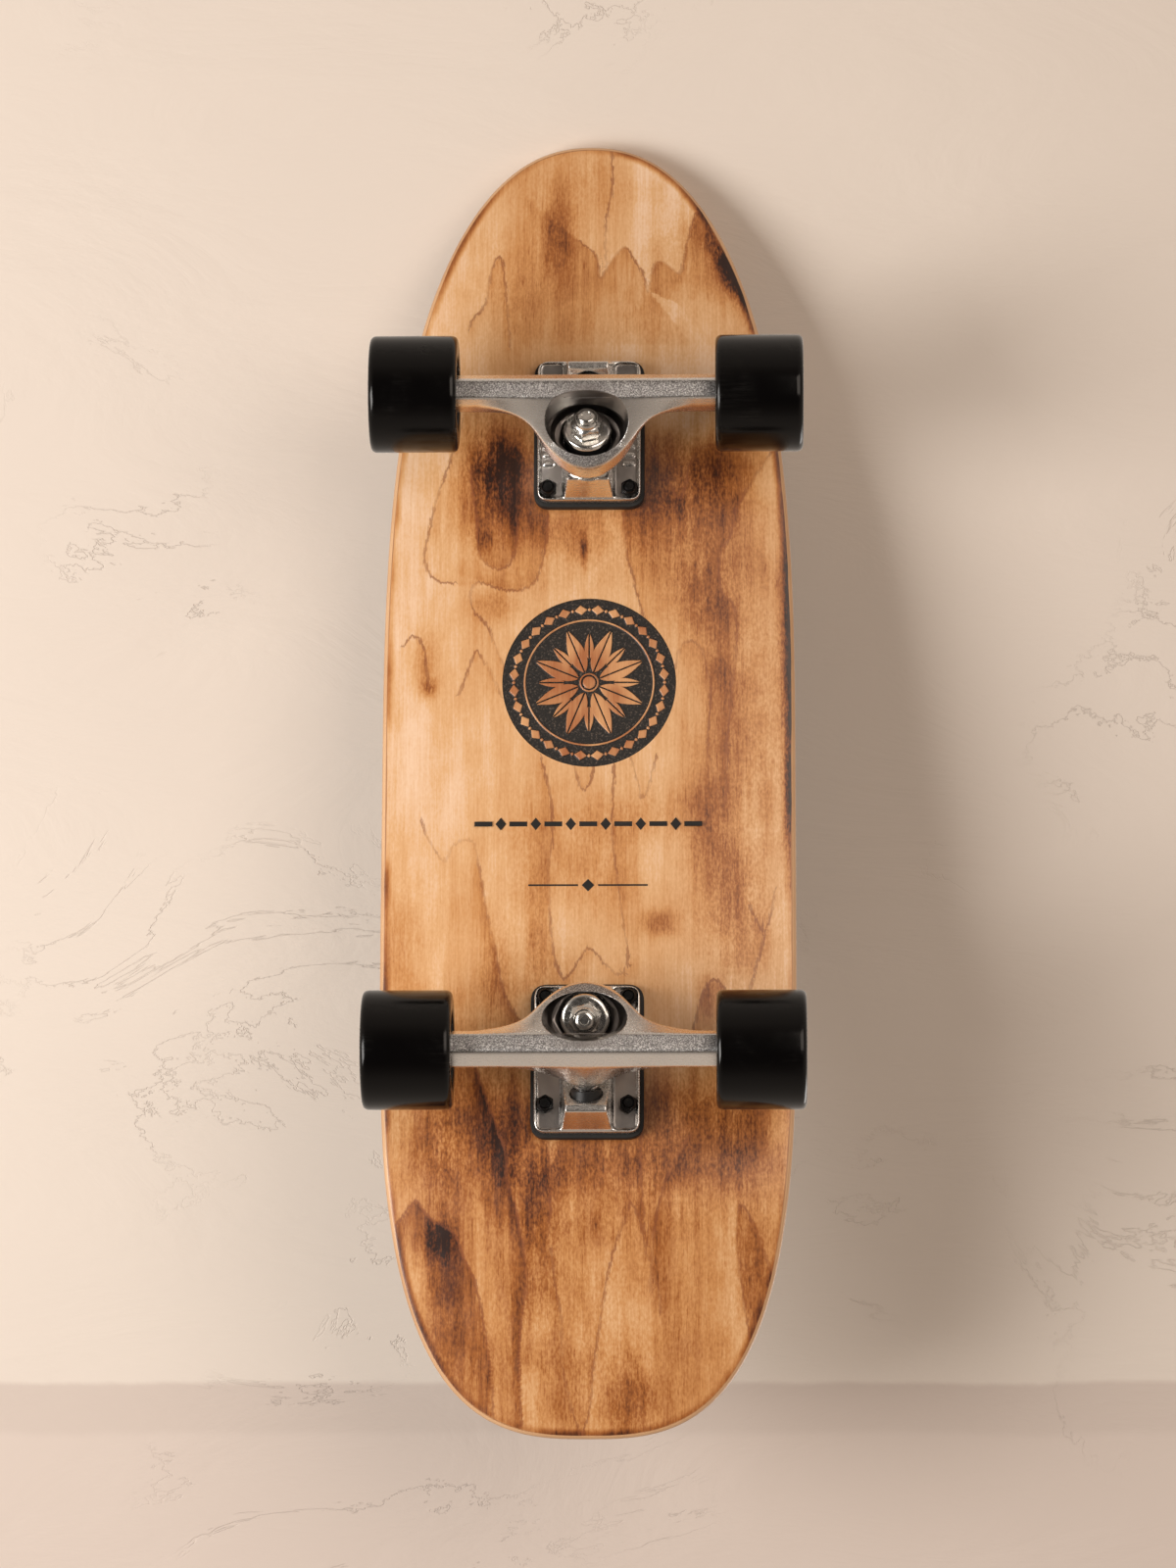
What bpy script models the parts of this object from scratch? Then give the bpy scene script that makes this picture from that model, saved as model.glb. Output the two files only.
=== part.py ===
"""Cruiser skateboard: a deck with a kicktail, on two traditional-kingpin trucks with four wheels.

Units are metres.  +X points to the nose, +Y to the left, +Z up.  The board stands on its wheels, so the
ground is z = 0, and x = 0 is halfway between the tips of the deck.

Each truck is modelled once, in its own frame: the origin is the middle of its bolt pattern on the top
face of its baseplate, +X points inwards to the kingpin, and everything hangs below.  The rear truck
stands that way round, and the front truck is the same one turned half a turn about Z.
"""

import math

import bmesh
import bpy
from mathutils import Matrix, Vector

MM = 0.001
CLEARANCE = 0.3 * MM

# Deck
DECK_WIDTH = 209.5 * MM
DECK_THICKNESS = 11.0 * MM
DECK_EDGE_RADIUS = 3.0 * MM
NOSE_REACH = 325.4 * MM
TAIL_REACH = 351.3 * MM
TAIL_TAPER_START = 60.0 * MM
NOSE_TAPER_POWER = 2.75
NOSE_ROUNDNESS = 0.45
TAIL_TAPER_POWER = 3.95
TAIL_ROUNDNESS = 0.35
TIP_HALF_WIDTH = 20.0 * MM
TIP_BOW_SHARE = 0.0075
TIP_GATHER = 0.6
DECK_COLUMNS = (-1.0, -0.8, -0.55, -0.29, 0.29, 0.55, 0.8, 1.0)
CONCAVE_DEPTH = 5.0 * MM
CONCAVE_FLAT_HALF_WIDTH = 30.0 * MM
CONCAVE_POWER = 1.5
TAIL_KICK_ANGLE = math.radians(16.0)
NOSE_KICK_ANGLE = math.radians(7.0)
KICK_BEND_LENGTH = 36.0 * MM
KICK_BEND_MARGIN = 5.0 * MM
GRIP_THICKNESS = 0.8 * MM
GRIP_INSET = 3.6 * MM

# Bolts between deck and trucks
TRUCK_SPACING = 317.8 * MM
BOLT_SPACING_LENGTH = 53.98 * MM
BOLT_SPACING_WIDTH = 41.3 * MM
BOLT_DIAMETER = 5.0 * MM
BOLT_LENGTH = 28.6 * MM
BOLT_HEAD_DIAMETER = 9.4 * MM
BOLT_HEAD_HEIGHT = 3.0 * MM
LOCK_NUT_ACROSS_FLATS = 8.0 * MM
LOCK_NUT_HEIGHT = 5.8 * MM

# Riser pad
RISER_THICKNESS = 5.0 * MM
RISER_OVERHANG = 2.0 * MM
RISER_CORNER_RADIUS = 7.0 * MM

# Baseplate
BASEPLATE_WIDTH = 52.5 * MM
BASEPLATE_KINGPIN_MARGIN = 6.0 * MM
BASEPLATE_PIVOT_MARGIN = 14.0 * MM
BASEPLATE_CORNER_RADIUS = 5.0 * MM
BASEPLATE_LAND_THICKNESS = 4.5 * MM
BASEPLATE_RIM_HEIGHT = 1.8 * MM
BASEPLATE_RIM_WIDTH = 1.2 * MM
LAND_WIDTH = 12.2 * MM
LAND_CORNER_RADIUS = 2.5 * MM
BASEPLATE_EDGE_BEVEL = 0.8 * MM
SPINE_WIDTH_AT_PLATE = 23.4 * MM
SPINE_WIDTH_AT_SEAT = 20.4 * MM
SPINE_END_INSET = 1.0 * MM
SPINE_SINK = 1.0 * MM
SPINE_VALLEY_DROP = 1.2 * MM
SPINE_EDGE_BEVEL = 1.2 * MM
PIVOT_BOSS_DROP = 26.0 * MM
PIVOT_BOSS_BACK_RUN = 6.5 * MM
PIVOT_BOSS_LIP = 3.4 * MM
PIVOT_MOUTH_ANGLE = math.radians(50.0)

# Kingpin, whose stations are measured along it from the middle of the hanger's ring
KINGPIN_TILT = math.radians(16.0)
RING_CENTRE_INWARD = 12.0 * MM
RING_CENTRE_DROP = 32.4 * MM
KINGPIN_DIAMETER = 9.5 * MM
KINGPIN_HEAD_DIAMETER = 15.0 * MM
KINGPIN_HEAD_HEIGHT = 6.0 * MM
KINGPIN_LENGTH_BELOW_RING = 27.5 * MM
KINGPIN_END_CHAMFER = 0.8 * MM
HEAD_RECESS_DEPTH = 25.0 * MM
SEAT_STATION = 14.0 * MM
SEAT_DIAMETER = 24.6 * MM
SEAT_EDGE_INSET = 1.0 * MM
SEAT_BACK_RUN = 4.0 * MM
SEAT_PAD_DEPTH = 4.0 * MM
BOSS_FLOOR_THICKNESS = 9.9 * MM
KINGPIN_NUT_ACROSS_FLATS = 14.3 * MM
KINGPIN_NUT_HEIGHT = 10.0 * MM
KINGPIN_NUT_COLLAR_HEIGHT = 2.6 * MM
WASHER_THICKNESS = 1.5 * MM
WASHER_RIM_WIDTH = 1.8 * MM
WASHER_RIM_DROP = 1.1 * MM
BOARDSIDE_WASHER_DIAMETER = 23.4 * MM
ROADSIDE_WASHER_DIAMETER = 24.4 * MM
ROADSIDE_BUSHING_HEIGHT = 10.5 * MM
ROADSIDE_BUSHING_BARREL = 3.0 * MM
BUSHING_DIAMETER = 23.6 * MM
BUSHING_SHOULDER = 1.6 * MM
ROADSIDE_BUSHING_END_DIAMETER = 19.5 * MM

# Hanger, a casting round a steel axle.  The crossbar's section is in (inward, up) from the axle, and
# starts at the outer facet.  The yoke's shares run from the crossbar, at 1, to its tip, at 0.  A level of
# the pocket holds its outer extremity, from the axle, its inner one, from the ring's inner wall, and its
# share of the full width.
AXLE_OUTWARD = 8.8 * MM
AXLE_DROP = 52.4 * MM
HANGER_WIDTH = 147.0 * MM
CROSSBAR_SECTION = (
    (-9.4 * MM, -2.7 * MM),
    (-3.7 * MM, -12.5 * MM),
    (5.5 * MM, -11.8 * MM),
    (8.4 * MM, -6.3 * MM),
    (8.8 * MM, 3.5 * MM),
    (5.5 * MM, 8.2 * MM),
    (-6.5 * MM, 7.8 * MM),
)
CROSSBAR_FLAT_COLUMNS = (0, 1, 2, 3, 6)
AXLE_BOSS_DIAMETER = 14.0 * MM
AXLE_BOSS_LENGTH = 3.0 * MM
RING_RADIUS = 17.0 * MM
RING_THICKNESS = 10.0 * MM
RING_WEB_THICKNESS = 5.0 * MM
RING_BORE_DIAMETER = 14.0 * MM
RING_BORE_REACH = 8.0 * MM
RING_BACK_INSET = 1.0 * MM
ROAD_SEAT_DEPTH = 13.5 * MM
BOARD_SEAT_DEPTH = 15.0 * MM
YOKE_HALF_WIDTH = 33.0 * MM
FLARE_EXTRA_HALF_WIDTH = 21.0 * MM
FLARE_POWER = 8
YOKE_SHARES = (1.0, 0.89, 0.6, 0.25)
YOKE_ROOT_EXTRA_THICKNESS = 2.0 * MM
YOKE_ROOT_BLEND = 4.0 * MM
GUSSET_HALF_WIDTH = 50.0 * MM
GUSSET_POWER = 2.3
GUSSET_REACH = 38.0 * MM
PIVOT_ANGLE = math.radians(22.5)
PIVOT_REACH = 44.5 * MM
PIVOT_STEM_DIAMETER = 10.6 * MM
PIVOT_STEM_ROOT_DIAMETER = 18.0 * MM
PIVOT_STEM_ROOT_STATION = 24.0 * MM
PIVOT_STEM_TIP_CHAMFER = 2.0 * MM
PIVOT_STEM_SHOULDER_GAP = 1.0 * MM
PIVOT_STEM_SINK = 3.0 * MM
PIVOT_CUP_WALL = 2.0 * MM
PIVOT_CUP_DEPTH = 8.0 * MM
PIVOT_CUP_FLOOR = 1.5 * MM
POCKET_HALF_WIDTH = 20.5 * MM
POCKET_END_WALL = 4.6 * MM
POCKET_LEVELS = (
    ((1.5 * MM, -13.5 * MM), (-5.0 * MM, -21.0 * MM), 1.05),
    ((5.5 * MM, -0.4 * MM), (-1.9 * MM, -12.6 * MM), 0.97),
    ((2.8 * MM, 7.6 * MM), (-1.6 * MM, -11.2 * MM), 0.9),
    ((4.6 * MM, 13.6 * MM), (-1.4 * MM, -9.6 * MM), 0.8),
)
SUBDIVISION_LEVEL = 1
EDGE_CREASE = 0.75

# Axle, wheels and bearings
AXLE_DIAMETER = 8.0 * MM
AXLE_CHAMFER = 0.7 * MM
AXLE_END_MARGIN = 0.8 * MM
AXLE_NUT_ACROSS_FLATS = 13.0 * MM
AXLE_NUT_HEIGHT = 7.2 * MM
SPEED_WASHER_THICKNESS = 1.0 * MM
WHEEL_DIAMETER = 58.5 * MM
WHEEL_WIDTH = 44.0 * MM
WHEEL_EDGE_RADIUS = 3.2 * MM
WHEEL_RECESS_MOUTH_DIAMETER = 39.0 * MM
WHEEL_RECESS_FLOOR_DIAMETER = 27.0 * MM
WHEEL_CORE_BORE_DIAMETER = 17.0 * MM
BEARING_OUTER_DIAMETER = 22.0 * MM
BEARING_INNER_RING_DIAMETER = 12.2 * MM
BEARING_WIDTH = 7.0 * MM
BEARING_SHIELD_DEPTH = 0.4 * MM
BEARING_SPACER_LENGTH = 10.0 * MM
BEARING_SPACER_DIAMETER = 10.4 * MM

FULL_TURN = 2.0 * math.pi

# Sides of the round pieces
BOLT_SIDES = 8
SMALL_SIDES = 12
ROUND_SIDES = 14
WHEEL_SIDES = 20

# Heights and places that follow from the sizes above
GRIP_TOP = DECK_THICKNESS + CLEARANCE + GRIP_THICKNESS
PLATE_DROP = RISER_THICKNESS + 2.0 * CLEARANCE
DECK_HEIGHT = WHEEL_DIAMETER / 2.0 + AXLE_DROP + PLATE_DROP
RIM_DROP = BASEPLATE_LAND_THICKNESS + BASEPLATE_RIM_HEIGHT
PLATE_INNER_END = BOLT_SPACING_LENGTH / 2.0 + BASEPLATE_KINGPIN_MARGIN
PLATE_OUTER_END = -BOLT_SPACING_LENGTH / 2.0 - BASEPLATE_PIVOT_MARGIN
RING_CENTRE = Vector((RING_CENTRE_INWARD, 0.0, -RING_CENTRE_DROP))
AXLE_CENTRE = Vector((-AXLE_OUTWARD, 0.0, -AXLE_DROP))
KINGPIN_UP = Vector((math.sin(KINGPIN_TILT), 0.0, math.cos(KINGPIN_TILT)))
KINGPIN_ACROSS = Vector((math.cos(KINGPIN_TILT), 0.0, -math.sin(KINGPIN_TILT)))
PIVOT_DIRECTION = Vector((-math.cos(PIVOT_ANGLE), 0.0, math.sin(PIVOT_ANGLE)))
BEARING_STACK_LENGTH = 2.0 * BEARING_WIDTH + BEARING_SPACER_LENGTH
WHEEL_OFFSET = HANGER_WIDTH / 2.0 + SPEED_WASHER_THICKNESS + BEARING_STACK_LENGTH / 2.0
STACK_HALF_LENGTH = BEARING_STACK_LENGTH / 2.0 + SPEED_WASHER_THICKNESS - CLEARANCE
AXLE_NUT_SEAT = STACK_HALF_LENGTH + CLEARANCE
AXLE_LENGTH = 2.0 * (WHEEL_OFFSET + AXLE_NUT_SEAT + AXLE_NUT_HEIGHT + AXLE_END_MARGIN)
TIP_EXTREME_HEIGHT = 0.9 * DECK_EDGE_RADIUS
KICK_START = TRUCK_SPACING / 2.0 - PLATE_OUTER_END + RISER_OVERHANG + KICK_BEND_MARGIN

part_collection = None
cutter_collection = None
materials = {}


def clear_scene():
    """Removes every object, so that the part stands alone in the file."""
    for thing in list(bpy.data.objects):
        bpy.data.objects.remove(thing, do_unlink=True)


def make_collection(name):
    """Makes a collection under the scene's own."""
    collection = bpy.data.collections.new(name)
    bpy.context.scene.collection.children.link(collection)
    return collection


def make_material(name, colour, roughness, metallic=0.0):
    """Makes a Principled material and files it under its name."""
    material = bpy.data.materials.new(name)
    material.use_nodes = True
    shader = material.node_tree.nodes["Principled BSDF"]
    shader.inputs["Base Color"].default_value = (*colour, 1.0)
    shader.inputs["Roughness"].default_value = roughness
    shader.inputs["Metallic"].default_value = metallic
    material.diffuse_color = (*colour, 1.0)
    materials[name] = material


def make_materials():
    """Makes the finishes of the whole board."""
    make_material("maple", (0.55, 0.25, 0.09), 0.38)
    make_material("grip", (0.02, 0.02, 0.02), 0.95)
    make_material("riser_rubber", (0.02, 0.02, 0.02), 0.7)
    make_material("cast_aluminium", (0.62, 0.6, 0.58), 0.35, 1.0)
    make_material("chrome", (0.8, 0.78, 0.75), 0.12, 1.0)
    make_material("axle_steel", (0.6, 0.58, 0.56), 0.25, 1.0)
    make_material("black_oxide", (0.02, 0.02, 0.02), 0.4, 0.6)
    make_material("bushing_urethane", (0.015, 0.015, 0.015), 0.45)
    make_material("cup_urethane", (0.02, 0.02, 0.02), 0.5)
    make_material("wheel_urethane", (0.012, 0.011, 0.01), 0.25)
    make_material("bearing_steel", (0.5, 0.5, 0.5), 0.3, 1.0)


def make_empty(name, parent=None, location=(0.0, 0.0, 0.0), rotation=(0.0, 0.0, 0.0)):
    """Makes an empty that carries other objects."""
    empty = bpy.data.objects.new(name, None)
    empty.empty_display_size = 10.0 * MM
    empty.parent = parent
    empty.location = location
    empty.rotation_euler = rotation
    part_collection.objects.link(empty)
    return empty


def place(name, mesh, material=None, parent=None, location=(0.0, 0.0, 0.0), rotation=(0.0, 0.0, 0.0)):
    """Makes an object of a mesh: a piece of the part, or a cutter when it has no material."""
    thing = bpy.data.objects.new(name, mesh)
    thing.parent = parent
    thing.location = location
    thing.rotation_euler = rotation
    if material is None:
        cutter_collection.objects.link(thing)
        thing.hide_render = True
        thing.display_type = "WIRE"
    else:
        part_collection.objects.link(thing)
        if not mesh.materials:
            mesh.materials.append(materials[material])
    return thing


def round_off(mesh, angle_degrees=35.0):
    """Shades a mesh smooth apart from the edges that are sharper than the angle."""
    mesh.shade_smooth()
    mesh.set_sharp_from_angle(angle=math.radians(angle_degrees))


def mesh_from_points(name, points, edges, faces):
    """Makes a mesh whose faces all point out."""
    mesh = bpy.data.meshes.new(name)
    mesh.from_pydata([tuple(point) for point in points], edges, faces)
    shape = bmesh.new()
    shape.from_mesh(mesh)
    bmesh.ops.recalc_face_normals(shape, faces=shape.faces)
    shape.to_mesh(mesh)
    shape.free()
    return mesh


def evaluated_mesh(thing, name):
    """Takes an object's mesh with its modifiers applied, and removes the object."""
    evaluated = thing.evaluated_get(bpy.context.evaluated_depsgraph_get())
    mesh = bpy.data.meshes.new_from_object(evaluated)
    mesh.name = name
    bpy.data.objects.remove(thing, do_unlink=True)
    return mesh


def turned_mesh(name, profile, segments, closed=False):
    """Turns a profile of (radius, height) points about Z.

    The profile runs down its outer side.  An open one starts and ends on the axis.
    """
    count = len(profile)
    edges = [(i, i + 1) for i in range(count - 1)]
    if closed:
        edges.append((count - 1, 0))
    outline = bpy.data.meshes.new(name + "_profile")
    outline.from_pydata([(radius, 0.0, height) for radius, height in profile], edges, [])
    thing = bpy.data.objects.new(name + "_profile", outline)
    cutter_collection.objects.link(thing)
    screw = thing.modifiers.new("turn", "SCREW")
    screw.axis = "Z"
    screw.steps = segments
    screw.render_steps = segments
    screw.use_merge_vertices = True
    screw.merge_threshold = 0.01 * MM
    screw.use_smooth_shade = False
    mesh = evaluated_mesh(thing, name)
    round_off(mesh)
    return mesh


def lofted_mesh(name, rings):
    """Joins closed rings of as many points each, with a flat cap on the first and the last."""
    count = len(rings[0])
    points = [point for ring in rings for point in ring]
    faces = []
    for level in range(len(rings) - 1):
        low = level * count
        high = low + count
        for i in range(count):
            j = (i + 1) % count
            faces.append((low + i, low + j, high + j, high + i))
    faces.append(tuple(range(count)))
    faces.append(tuple(range(len(points) - count, len(points))))
    return mesh_from_points(name, points, [], faces)


def rounded_rectangle(length_start, length_end, width, corner_radius, steps=3):
    """Returns the corners of a rounded rectangle in the XY plane, with Y centred."""
    half_width = width / 2.0
    centres = [
        (length_end - corner_radius, half_width - corner_radius, 0.0),
        (length_start + corner_radius, half_width - corner_radius, 0.25),
        (length_start + corner_radius, -half_width + corner_radius, 0.5),
        (length_end - corner_radius, -half_width + corner_radius, 0.75),
    ]
    points = []
    for centre_x, centre_y, turn in centres:
        for step in range(steps + 1):
            angle = (turn + 0.25 * step / steps) * FULL_TURN
            x = centre_x + corner_radius * math.cos(angle)
            y = centre_y + corner_radius * math.sin(angle)
            points.append((x, y))
    return points


def plate_mesh(name, outline, top, bottom):
    """Makes a flat plate of an outline, between two heights."""
    return lofted_mesh(name, [[(x, y, height) for x, y in outline] for height in (bottom, top)])


def cylinder_mesh(name, radius, bottom, top, segments=ROUND_SIDES):
    """Makes a cylinder on the Z axis between two heights."""
    shape = bmesh.new()
    bmesh.ops.create_cone(
        shape,
        cap_ends=True,
        segments=segments,
        radius1=radius,
        radius2=radius,
        depth=top - bottom,
        matrix=Matrix.Translation((0.0, 0.0, (bottom + top) / 2.0)),
    )
    mesh = bpy.data.meshes.new(name)
    shape.to_mesh(mesh)
    shape.free()
    return mesh


def add_boolean(thing, other, operation="DIFFERENCE"):
    """Cuts or joins an object with another."""
    modifier = thing.modifiers.new(operation.lower() + "_" + other.name, "BOOLEAN")
    modifier.operation = operation
    modifier.solver = "EXACT"
    modifier.object = other
    return modifier


def add_bevel(thing, width, segments=1, angle_degrees=30.0):
    """Rounds the edges that are sharper than the angle."""
    modifier = thing.modifiers.new("round_edges", "BEVEL")
    modifier.width = width
    modifier.segments = segments
    modifier.limit_method = "ANGLE"
    modifier.angle_limit = math.radians(angle_degrees)
    modifier.harden_normals = False
    return modifier


def ease(value):
    """Goes smoothly from 0 to 1 as the value does, and stays there on either side."""
    value = min(max(value, 0.0), 1.0)
    return value * value * (3.0 - 2.0 * value)


def deck_half_width(along):
    """Returns half the deck's width at a place along it, where 0 is midway between the trucks."""
    if along >= 0.0:
        share = min(along / NOSE_REACH, 1.0)
        return DECK_WIDTH / 2.0 * (1.0 - share**NOSE_TAPER_POWER) ** NOSE_ROUNDNESS
    past_middle = max(-along - TAIL_TAPER_START, 0.0)
    share = min(past_middle / (TAIL_REACH - TAIL_TAPER_START), 1.0)
    return DECK_WIDTH / 2.0 * (1.0 - share**TAIL_TAPER_POWER) ** TAIL_ROUNDNESS


def bent_run(distance, bend_angle):
    """Follows a flat run that bends up, from where the bend starts.

    Returns the run and the rise at a distance along the bend, and the slope there.
    """
    radius = KICK_BEND_LENGTH / bend_angle
    if distance <= 0.0:
        return distance, 0.0, 0.0
    slope = bend_angle * min(distance / KICK_BEND_LENGTH, 1.0)
    run = radius * math.sin(slope)
    rise = radius * (1.0 - math.cos(slope))
    past_bend = max(distance - KICK_BEND_LENGTH, 0.0)
    return run + past_bend * math.cos(slope), rise + past_bend * math.sin(slope), slope


def deck_point(along, across, height):
    """Returns the point that lies at a height over the deck's underside.

    The distance along is measured on the underside, from midway between the trucks.
    """
    heading = 1.0 if along >= 0.0 else -1.0
    bend_angle = NOSE_KICK_ANGLE if along >= 0.0 else TAIL_KICK_ANGLE
    run, rise, slope = bent_run(abs(along) - KICK_START, bend_angle)
    past_flat = max(abs(across) - CONCAVE_FLAT_HALF_WIDTH, 0.0)
    concave_span = DECK_WIDTH / 2.0 - CONCAVE_FLAT_HALF_WIDTH
    share = past_flat / concave_span
    lift = CONCAVE_DEPTH * share**CONCAVE_POWER
    pitch = CONCAVE_DEPTH * CONCAVE_POWER * share ** (CONCAVE_POWER - 1.0) / concave_span
    lean = math.atan(pitch) * (1.0 if across > 0.0 else -1.0)
    upward = lift + height * math.cos(lean)
    return (
        heading * (KICK_START + run - upward * math.sin(slope)),
        across - height * math.sin(lean),
        rise + upward * math.cos(slope),
    )


def spread(start, end, count, gather=0.0):
    """Returns places from start to end without the end, gathered towards the start when asked."""
    places = []
    for i in range(count):
        share = i / count
        places.append(start + (end - start) * (share * (1.0 - gather) + share * share * gather))
    return places


def deck_stations():
    """Returns the places along the deck that its surface is worked out at, from tail to nose."""
    tail_end = TAIL_REACH * (1.0 - TIP_BOW_SHARE)
    nose_end = NOSE_REACH * (1.0 - TIP_BOW_SHARE)
    bend_end = KICK_START + KICK_BEND_LENGTH
    stations = [-place for place in spread(tail_end, bend_end, 6, TIP_GATHER)]
    stations += [-place for place in spread(bend_end, KICK_START, 3)]
    stations += spread(-KICK_START, KICK_START, 5)
    stations += spread(KICK_START, bend_end, 2)
    return stations + list(reversed(spread(nose_end, bend_end, 6, TIP_GATHER) + [bend_end]))


def deck_grid(name, height, inset):
    """Makes the open surface at a height over the underside, drawn in from the outline by an inset."""
    rows = []
    for station in deck_stations():
        half_width = max(deck_half_width(station), TIP_HALF_WIDTH)
        row = []
        for share in DECK_COLUMNS:
            bow = tip_bow(station) * (1.0 - share * share)
            row.append((station + bow, share * half_width))
        rows.append(row)
    rows = inset_rows(rows, inset)
    points = [deck_point(along, across, height) for row in rows for along, across in row]
    columns = len(DECK_COLUMNS)
    faces = []
    for i in range(len(rows) - 1):
        for j in range(columns - 1):
            corner = i * columns + j
            faces.append((corner, corner + columns, corner + columns + 1, corner + 1))
    mesh = bpy.data.meshes.new(name)
    mesh.from_pydata(points, [], faces)
    return mesh


def tip_bow(station):
    """Returns how far the middle of a row runs ahead of its ends, so that each tip is an arc."""
    if station > 0.0:
        return TIP_BOW_SHARE * NOSE_REACH * ease((station / NOSE_REACH - 0.9) / 0.09)
    return -TIP_BOW_SHARE * TAIL_REACH * ease((-station / TAIL_REACH - 0.9) / 0.09)


def inset_rows(rows, inset):
    """Draws the outer points of a grid in towards the next ones, so that every facet keeps its plane."""
    if inset == 0.0:
        return rows
    last_row = len(rows) - 1
    last_column = len(rows[0]) - 1
    drawn_in = []
    for i, row in enumerate(rows):
        new_row = []
        for j, point in enumerate(row):
            inner_i = min(max(i, 1), last_row - 1)
            inner_j = min(max(j, 1), last_column - 1)
            towards = Vector(rows[inner_i][inner_j]) - Vector(point)
            if towards.length > 0.0:
                share = min(inset / towards.length, 0.8)
                point = tuple(Vector(point) + towards * share)
            new_row.append(point)
        drawn_in.append(new_row)
    return drawn_in


def build_deck(root):
    """Builds the deck and the grip tape on it."""
    deck = place("deck", deck_grid("deck", 0.0, 0.0), "maple", root)
    solidify = deck.modifiers.new("plies", "SOLIDIFY")
    solidify.thickness = DECK_THICKNESS
    solidify.offset = 1.0
    add_bevel(deck, DECK_EDGE_RADIUS, 2, 50.0)
    round_off(deck.data)

    grip_mesh = deck_grid("grip_tape", DECK_THICKNESS + CLEARANCE, GRIP_INSET)
    grip = place("grip_tape", grip_mesh, "grip", root)
    solidify = grip.modifiers.new("sheet", "SOLIDIFY")
    solidify.thickness = GRIP_THICKNESS
    solidify.offset = 1.0
    round_off(grip.data)
    return deck, grip


def bolt_places(heading):
    """Returns the names and places of a truck's four bolts, in its own frame, for the way it heads."""
    places = []
    for end, x in (("inner", BOLT_SPACING_LENGTH / 2.0), ("outer", -BOLT_SPACING_LENGTH / 2.0)):
        for side, sign in (("left", 1.0), ("right", -1.0)):
            places.append((f"{end}_{side}", x, sign * heading * BOLT_SPACING_WIDTH / 2.0))
    return places


def bolt_mesh():
    """Makes a flat-head bolt whose head is at z = 0 and whose shank hangs below."""
    head = BOLT_HEAD_DIAMETER / 2.0
    shank = BOLT_DIAMETER / 2.0
    profile = [
        (0.0, 0.0),
        (head, 0.0),
        (shank, -BOLT_HEAD_HEIGHT),
        (shank, -BOLT_LENGTH),
        (0.0, -BOLT_LENGTH),
    ]
    return turned_mesh("mounting_bolt", profile, BOLT_SIDES)


def nut_mesh(name, across_flats, height, collar_height, bore_diameter, material, sides):
    """Makes a lock nut whose seat is at z = 0 and whose round collar is on top."""
    corner = across_flats / math.sqrt(3.0)
    bore = bore_diameter / 2.0 + CLEARANCE
    collar = across_flats / 2.0 * 0.88
    shoulder = height - collar_height
    past_seat = -1.0 * MM
    blank = place(name + "_blank", cylinder_mesh(name + "_blank", corner, 0.0, height, 6), material)
    profile = [
        (bore, height),
        (collar, height),
        (collar, shoulder),
        (corner * 1.02, shoulder - 0.12 * across_flats),
        (corner * 1.02, past_seat),
        (bore, past_seat),
    ]
    lathe = place(name + "_lathe", turned_mesh(name + "_lathe", profile, sides, closed=True))
    add_boolean(blank, lathe, "INTERSECT")
    mesh = evaluated_mesh(blank, name)
    bpy.data.objects.remove(lathe, do_unlink=True)
    return mesh


def plain_nut_mesh(name, across_flats, height, bore_diameter, material):
    """Makes a small hexagon nut whose seat is at z = 0."""
    bore = bore_diameter / 2.0 + CLEARANCE
    corner = across_flats / math.sqrt(3.0)
    nut = place(name + "_blank", cylinder_mesh(name + "_blank", corner, 0.0, height, 6), material)
    drill_mesh = cylinder_mesh(name + "_drill", bore, -height, 2.0 * height, SMALL_SIDES)
    drill = place(name + "_drill", drill_mesh)
    add_boolean(nut, drill)
    mesh = evaluated_mesh(nut, name)
    bpy.data.objects.remove(drill, do_unlink=True)
    return mesh


def bolt_hole_cutter(name, truck, deck_top):
    """Makes the cutter of a truck's four countersunk holes, from the grip tape down to the lands."""
    head = BOLT_HEAD_DIAMETER / 2.0 + CLEARANCE
    shank = BOLT_DIAMETER / 2.0 + CLEARANCE
    bottom = -2.0 * RIM_DROP
    profile = [
        (0.0, deck_top + 2.0 * MM),
        (head, deck_top + 2.0 * MM),
        (head, deck_top),
        (shank, deck_top - BOLT_HEAD_HEIGHT - CLEARANCE),
        (shank, bottom),
        (0.0, bottom),
    ]
    hole = turned_mesh(name + "_one", profile, BOLT_SIDES)
    shape = bmesh.new()
    for _, x, y in bolt_places(1.0):
        start = len(shape.verts)
        shape.from_mesh(hole)
        shape.verts.ensure_lookup_table()
        bmesh.ops.translate(shape, verts=shape.verts[start:], vec=(x, y, 0.0))
    mesh = bpy.data.meshes.new(name)
    shape.to_mesh(mesh)
    shape.free()
    return place(name, mesh, None, truck)


def build_riser(prefix, truck, holes):
    """Builds the rubber pad between deck and baseplate."""
    outline = rounded_rectangle(
        PLATE_OUTER_END - RISER_OVERHANG,
        PLATE_INNER_END + RISER_OVERHANG,
        BASEPLATE_WIDTH + 2.0 * RISER_OVERHANG,
        RISER_CORNER_RADIUS,
    )
    mesh = plate_mesh(prefix + "_riser_pad", outline, CLEARANCE + RISER_THICKNESS, CLEARANCE)
    riser = place(prefix + "_riser_pad", mesh, "riser_rubber", truck)
    add_boolean(riser, holes)


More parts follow.
